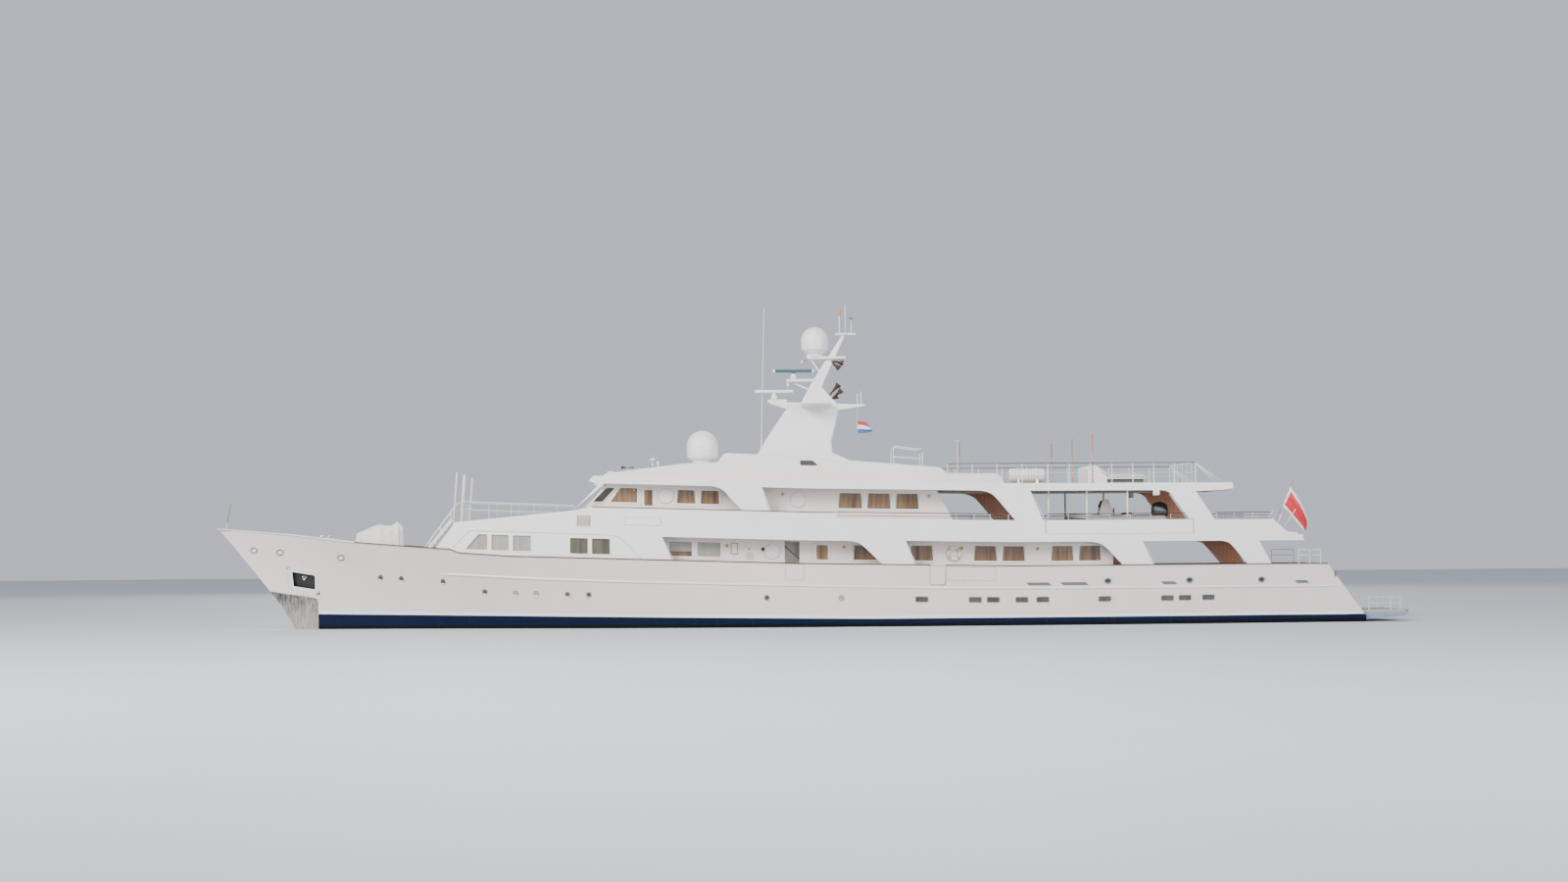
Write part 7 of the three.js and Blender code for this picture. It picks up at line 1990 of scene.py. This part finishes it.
def make_flags():
    ensign_paint = flag_paint("ensign_cloth_red", [(0, (0.7, 0.03, 0.05))], 0.085)
    top = np.array([(-13.709, 0.0, 3.64), (-13.86, 0.05, 3.4), (-13.99, 0.09, 3.16), (-14.11, 0.03, 2.92),
                    (-14.19, -0.05, 2.7), (-14.17, -0.08, 2.52)])
    low = np.array([(-13.478, 0.0, 3.12), (-13.62, -0.03, 2.97), (-13.78, -0.08, 2.8), (-13.93, -0.05, 2.62),
                    (-14.05, 0.02, 2.46), (-14.1, 0.05, 2.32)])
    made = flag_piece("ensign_flag", top, low, 1.2, 0.58, 3, 0.03, ensign_paint)
    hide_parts("ensign")
    bands = [(0, (0.6, 0.04, 0.06)), (0.117, (0.8, 0.8, 0.8)), (0.234, (0.03, 0.13, 0.42))]
    courtesy_paint = flag_paint("courtesy_flag_cloth", bands)
    top = np.array([(-1.979, 0.3, 5.478), (-2.06, 0.33, 5.46), (-2.15, 0.35, 5.45), (-2.23, 0.31, 5.4),
                    (-2.3, 0.26, 5.33)])
    low = np.array([(-1.979, 0.3, 5.13), (-2.08, 0.27, 5.135), (-2.17, 0.28, 5.14), (-2.28, 0.32, 5.15),
                    (-2.385, 0.33, 5.19)])
    made = flag_piece("courtesy_flag_on_halyard", top, low, 0.43, 0.35, 2, 0.02, courtesy_paint)
    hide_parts("courtesy_flag")
    halyard = piece("courtesy_flag_halyard", rod((-1.975, 0.3, 5.12), (-1.975, 0.3, 5.82), 0.004, sides=6),
                    DOME_WHITE)


make_flags()


def make_roof_and_mast_fittings():
    """Vents, horns, searchlight, camera and coil on the roof; lamps, vane and horn clusters on the mast."""
    vent_corners = np.array([(-0.85, 4.14), (-0.38, 4.14), (-0.38, 4.27), (-0.72, 4.27)])

    def leaning(x, z):
        return 1.76 - (np.asarray(z) - sheer(x) - 3.6) * 0.2889

    vent = on_side(loop_points(vent_corners, 0.02, 4))
    # The black plate behind the louvres is painted shade inside the vents
    piece("roof_vent_painted_shade", both_sides(side_pane(vent, leaning, 0.006, 0.02)), BLACK)
    louvre = [side_pane(on_side(loop_points([(-0.83 + k * 0.028, 4.155 + k * 0.026),
                                             (-0.4, 4.155 + k * 0.026), (-0.4, 4.163 + k * 0.026),
                                             (-0.822 + k * 0.028, 4.163 + k * 0.026)], 0.003, 2)), leaning,
                        0.014, 0.01) for k in range(4)]
    piece("roof_vent_louvres", mirrored(louvre), DARK_GREY)

    coil = [ring_of((4.65, 0, roof_top(4.65) + 0.02 + k * 0.012), 0.09 - 0.004 * k, 0.009, "xy")
            for k in range(3)]
    piece("roof_line_coil", together(coil), DOME_WHITE)
    horn_x = 4.21
    z = roof_top(horn_x)
    horns = [lathe([(0.045, 0.16), (0.042, 0.155), (0.022, 0.08), (0.012, 0.0), (0.011, -0.12),
                    (0.018, -0.13), (0.018, -0.17)], (horn_x, y, z + 0.1), 20, "x") for y in (-0.07, 0.07)]
    stand = [rod((horn_x, 0, z - 0.02), (horn_x, 0, z + 0.1), 0.014),
             rod((horn_x, -0.1, z + 0.1), (horn_x, 0.1, z + 0.1), 0.012)]
    piece("roof_horns", together(horns), HORN_BROWN)
    piece("roof_horn_stand", together(stand), DOME_WHITE)
    light_x = 3.53
    z = roof_top(light_x)
    light = lathe([(0.004, -0.09), (0.06, -0.08), (0.075, -0.03), (0.078, 0.07), (0.072, 0.078),
                   (0.068, 0.06), (0.004, 0.055)], (3.56, 0, z + 0.24), 28, "x")
    yoke = [rod((light_x, 0, z - 0.02), (light_x, 0, z + 0.14), 0.02),
            rod((light_x, -0.09, z + 0.14), (light_x, 0.09, z + 0.14), 0.01),
            rod((light_x, -0.09, z + 0.14), (light_x, -0.09, z + 0.26), 0.01),
            rod((light_x, 0.09, z + 0.14), (light_x, 0.09, z + 0.26), 0.01)]
    piece("roof_searchlight", together([light, *yoke]), STAINLESS)
    z = roof_top(3.41)
    camera_head = [lathe([(0.03, 0), (0.03, 0.01), (0.018, 0.02), (0.018, 0.09)], (3.38, 0.3, z - 0.01), 18),
                   lathe([(0.004, 0.05), (0.025, 0.045), (0.036, 0.02), (0.036, -0.01), (0.03, -0.03)],
                         (3.38, 0.3, z + 0.11), 22)]
    piece("roof_camera", together(camera_head), DOME_WHITE)
    lamp_x, stack_x, vane_x = -1.53, -0.52, -1.85
    lamp_glass = [lathe([(0.02, 0), (0.036, 0.004), (0.038, 0.03), (0.036, 0.054), (0.02, 0.058)],
                        (lamp_x, 0, z), 20) for z in (8.33, 8.4)]
    piece("mast_double_lamp", together(lamp_glass), ORANGE_LAMP)
    caps = [lathe([(0.018, -0.02), (0.03, -0.01), (0.03, 0.0)], (lamp_x, 0, 8.335), 16),
            lathe([(0.028, 0), (0.028, 0.014)], (lamp_x, 0, 8.388), 16),
            lathe([(0.034, 0), (0.03, 0.014), (0.006, 0.02)], (lamp_x, 0, 8.456), 16)]
    caps += [lathe([(0.03, 0), (0.03, 0.02)], (stack_x, 0, z), 16) for z in (7.01, 7.075, 7.125)]
    caps += [rod((stack_x, 0, 7.02), (-0.66, 0, 7.17), 0.008),
             rod((vane_x, 0, 8.2), (vane_x, 0, 8.26), 0.012), rod((-1.93, 0, 8.23), (-1.78, 0, 8.23), 0.006)]
    cups = ((0.05, 0), (-0.025, 0.043), (-0.025, -0.043))
    vane = [lathe([(0.004, 0), (0.02, 0.006), (0.022, 0.02), (0.004, 0.03)], (vane_x + dx, dy, 8.25), 10)
            for dx, dy in cups]
    vane += [rod((vane_x, 0, 8.262), (vane_x + dx, dy, 8.262), 0.004) for dx, dy in cups]
    piece("mast_lamp_caps_and_vane", together(caps + vane), DARK_GREY)
    clear = [lathe([(0.027, 0), (0.03, 0.004), (0.03, 0.045), (0.027, 0.049)], (stack_x, 0, z), 18)
             for z in (7.028, 7.08)]
    clear.append(lathe([(0.02, 0.12), (0.035, 0.11), (0.038, 0.03), (0.03, 0.0)], (-0.13, 0, 6.425), 20))
    clear.append(rod((-2.0, 0, 5.84), (-2.0, 0, 6.22), 0.012))
    clear.append(rod((-2.1, 0, 5.86), (-2.1, 0, 6.27), 0.012))
    clear.append(block((-1.32, -0.06, 5.93), (-1.18, 0.06, 6.05), 0.01))
    piece("mast_white_lamps_and_posts", together(clear), DOME_WHITE)

    def trumpet(mouth, throat, radius):
        mouth, throat = np.array(mouth, float), np.array(throat, float)
        share = np.array([0, 0.03, 0.2, 0.5, 0.8, 1.0])
        path = mouth + (throat - mouth) * share[:, None]
        return tube(path, np.array([radius, radius * 0.94, radius * 0.62, radius * 0.34, radius * 0.26,
                                    radius * 0.24]), 18)

    cluster = [trumpet((-1.5, y, 6.46), (-1.18, y * 0.6, 6.1), 0.085) for y in (-0.14, 0.14)]
    cluster += [trumpet((-1.57, y, 6.3), (-1.26, y * 0.6, 6.04), 0.08) for y in (-0.24, 0.0, 0.24)]
    cluster += [trumpet((-1.47, y, 6.14), (-1.22, y * 0.6, 6.02), 0.07) for y in (-0.12, 0.12)]
    cluster += [rod((-1.24, -0.16, 6.1), (-1.24, 0.16, 6.1), 0.022),
                rod((-1.24, 0, 6.1), (-1.24, 0, 5.92), 0.018),
                rod((-1.3, -0.15, 6.05), (-1.3, 0.15, 6.05), 0.018),
                rod((-1.3, 0, 6.06), (-1.24, 0, 5.94), 0.016)]
    cluster += [trumpet((-1.62, y, 7.04), (-1.32, y * 0.6, 7.1), 0.075) for y in (-0.14, 0.14)]
    cluster += [trumpet((-1.52, y, 6.9), (-1.3, y * 0.6, 7.08), 0.08) for y in (-0.16, 0.0, 0.16)]
    cluster += [rod((-1.32, -0.12, 7.1), (-1.32, 0.12, 7.1), 0.02),
                rod((-1.33, 0, 7.09), (-1.33, 0, 7.16), 0.018)]
    piece("mast_horn_clusters", together(cluster), HORN_BROWN)


make_roof_and_mast_fittings()


def make_stern():
    """Swim platform with a teak top and its edge line, wire rail, steps on the transom, and the transom's
    fairleads."""
    top, half = 0.298, 1.45
    outline = loop_points([(-15.15, -half), (-16.56, -half), (-16.56, half), (-15.15, half)],
                          [0.005, 0.12, 0.12, 0.005], 8)
    profile = [(0.0, top - 0.03), (0.0, top - 0.008), (-0.008, top)]
    upper = np.array([np.insert(grown(outline, reach), 2, z, 1) for reach, z in profile])
    depth = np.interp(outline[:, 0], [-16.56, -16.42, -15.8, -15.15], [0.223, 0.138, 0.04, 0.03])
    under = np.stack([outline[:, 0] * 0.996 - 0.06, outline[:, 1] * 0.97, np.minimum(depth, top - 0.06)], -1)
    edge = np.insert(outline, 2, 0.215, 1)
    rings = np.concatenate([under[None], edge[None], upper])
    made = piece("swim_platform_body", solid(rings), PLATFORM, sharp=30)
    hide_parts("swim_platform")
    boards = block((-16.5, -1.39, top - 0.004), (-15.22, 1.39, top + 0.005), 0.003)
    piece("swim_platform_teak", boards, LAID_TEAK)
    rim = np.insert(grown(outline, -0.01), 2, top + 0.001, 1)
    piece("swim_platform_edge", tube(rim[(rim[:, 0] < -15.2)], 0.011, 8), VARNISH)
    posts, wires = [], []
    for x, high in ((-16.08, 0.66), (-16.34, 0.665), (-15.5, 0.66)):
        posts.append(lathe([(0.022, 0), (0.022, 0.006), (0.009, 0.015), (0.009, high - top - 0.01),
                            (0.013, high - top)], (x, 1.39, top), 12))
    for z in (0.48, 0.64):
        wires.append(rod((-15.5, 1.39, z), (-16.34, 1.39, z), 0.006))
    piece("swim_platform_rails", mirrored(posts + wires), RAIL_WHITE)
    line = np.array([(-15.26, top), (-15.25, 0.42), (-15.05, 0.745), (float(transom_x(0.745)) + 0.02, 0.745),
                     (float(transom_x(top)) + 0.02, top)])
    steps = solid([np.insert(line, 1, y, 1) for y in (0.85, 1.35)])
    treads = []
    for k in range(4):
        z = 0.4 + 0.1 * k
        front = float(np.interp(z, [0.42, 0.745], [-15.25, -15.05]))
        treads.append(block((front - 0.045, 0.87, z), (front + 0.03, 1.33, z + 0.018), 0.005))
    piece("transom_step_treads", mirrored(treads), LAID_TEAK)
    piece("transom_steps", both_sides(steps), LINING, sharp=25)
    y, z = 1.75, 1.28
    x = float(transom_x(z))
    leads = [ring_of((x - 0.004, y, z), 0.06, 0.016, "yz"),
             lathe([(0.058, 0.004), (0.058, -0.006)], (x, y, z), 20, "x")]
    piece("transom_fairleads", mirrored(leads), DARK_GREY)


make_stern()


# Floor, light and sky
def set_stage():
    mesh = bpy.data.meshes.new("studio_floor")
    reach = 150
    mesh.from_pydata([(-reach, -reach, 0), (reach, -reach, 0), (reach, reach, 0), (-reach, reach, 0)],
                     [], [(0, 1, 2, 3)])
    floor = bpy.data.objects.new("studio_floor", mesh)
    pale = Finish("studio_floor", (0.5, 0.53, 0.56), 0.6)
    pale.color(pale.mix(pale.noise(0.4), (0.49, 0.52, 0.55), (0.52, 0.55, 0.58)))
    mesh.materials.append(pale.material)
    into_scene(floor)
    world = bpy.data.worlds.new("soft_sky")
    world.use_nodes = True
    world.node_tree.nodes["Background"].inputs["Color"].default_value = (0.6, 0.66, 0.74, 1)
    world.node_tree.nodes["Background"].inputs["Strength"].default_value = 1.0
    bpy.context.scene.world = world
    for name, place, target, size, energy, color in (
        ("evening_key", (38, 48, 34), (0, 0, 2), 24, 64000, (1.0, 0.95, 0.9)),
        ("beam_fill", (-30, 60, 22), (0, 0, 3), 40, 30000, (0.97, 0.97, 1.0)),
        ("far_side", (0, -60, 30), (0, 0, 2), 40, 16000, (1.0, 0.93, 0.88)),
    ):
        lamp = bpy.data.lights.new(name, "AREA")
        lamp.size, lamp.energy, lamp.color = size, energy, color
        holder = bpy.data.objects.new(name, lamp)
        away = np.array(place, float) - target
        away /= np.linalg.norm(away)
        side = np.cross((0, 0, 1), away)
        side /= np.linalg.norm(side)
        turn = np.eye(4)
        turn[:3, 0], turn[:3, 1], turn[:3, 2], turn[:3, 3] = side, np.cross(away, side), away, place
        holder.matrix_world = Matrix(turn.tolist())
        into_scene(holder)


set_stage()
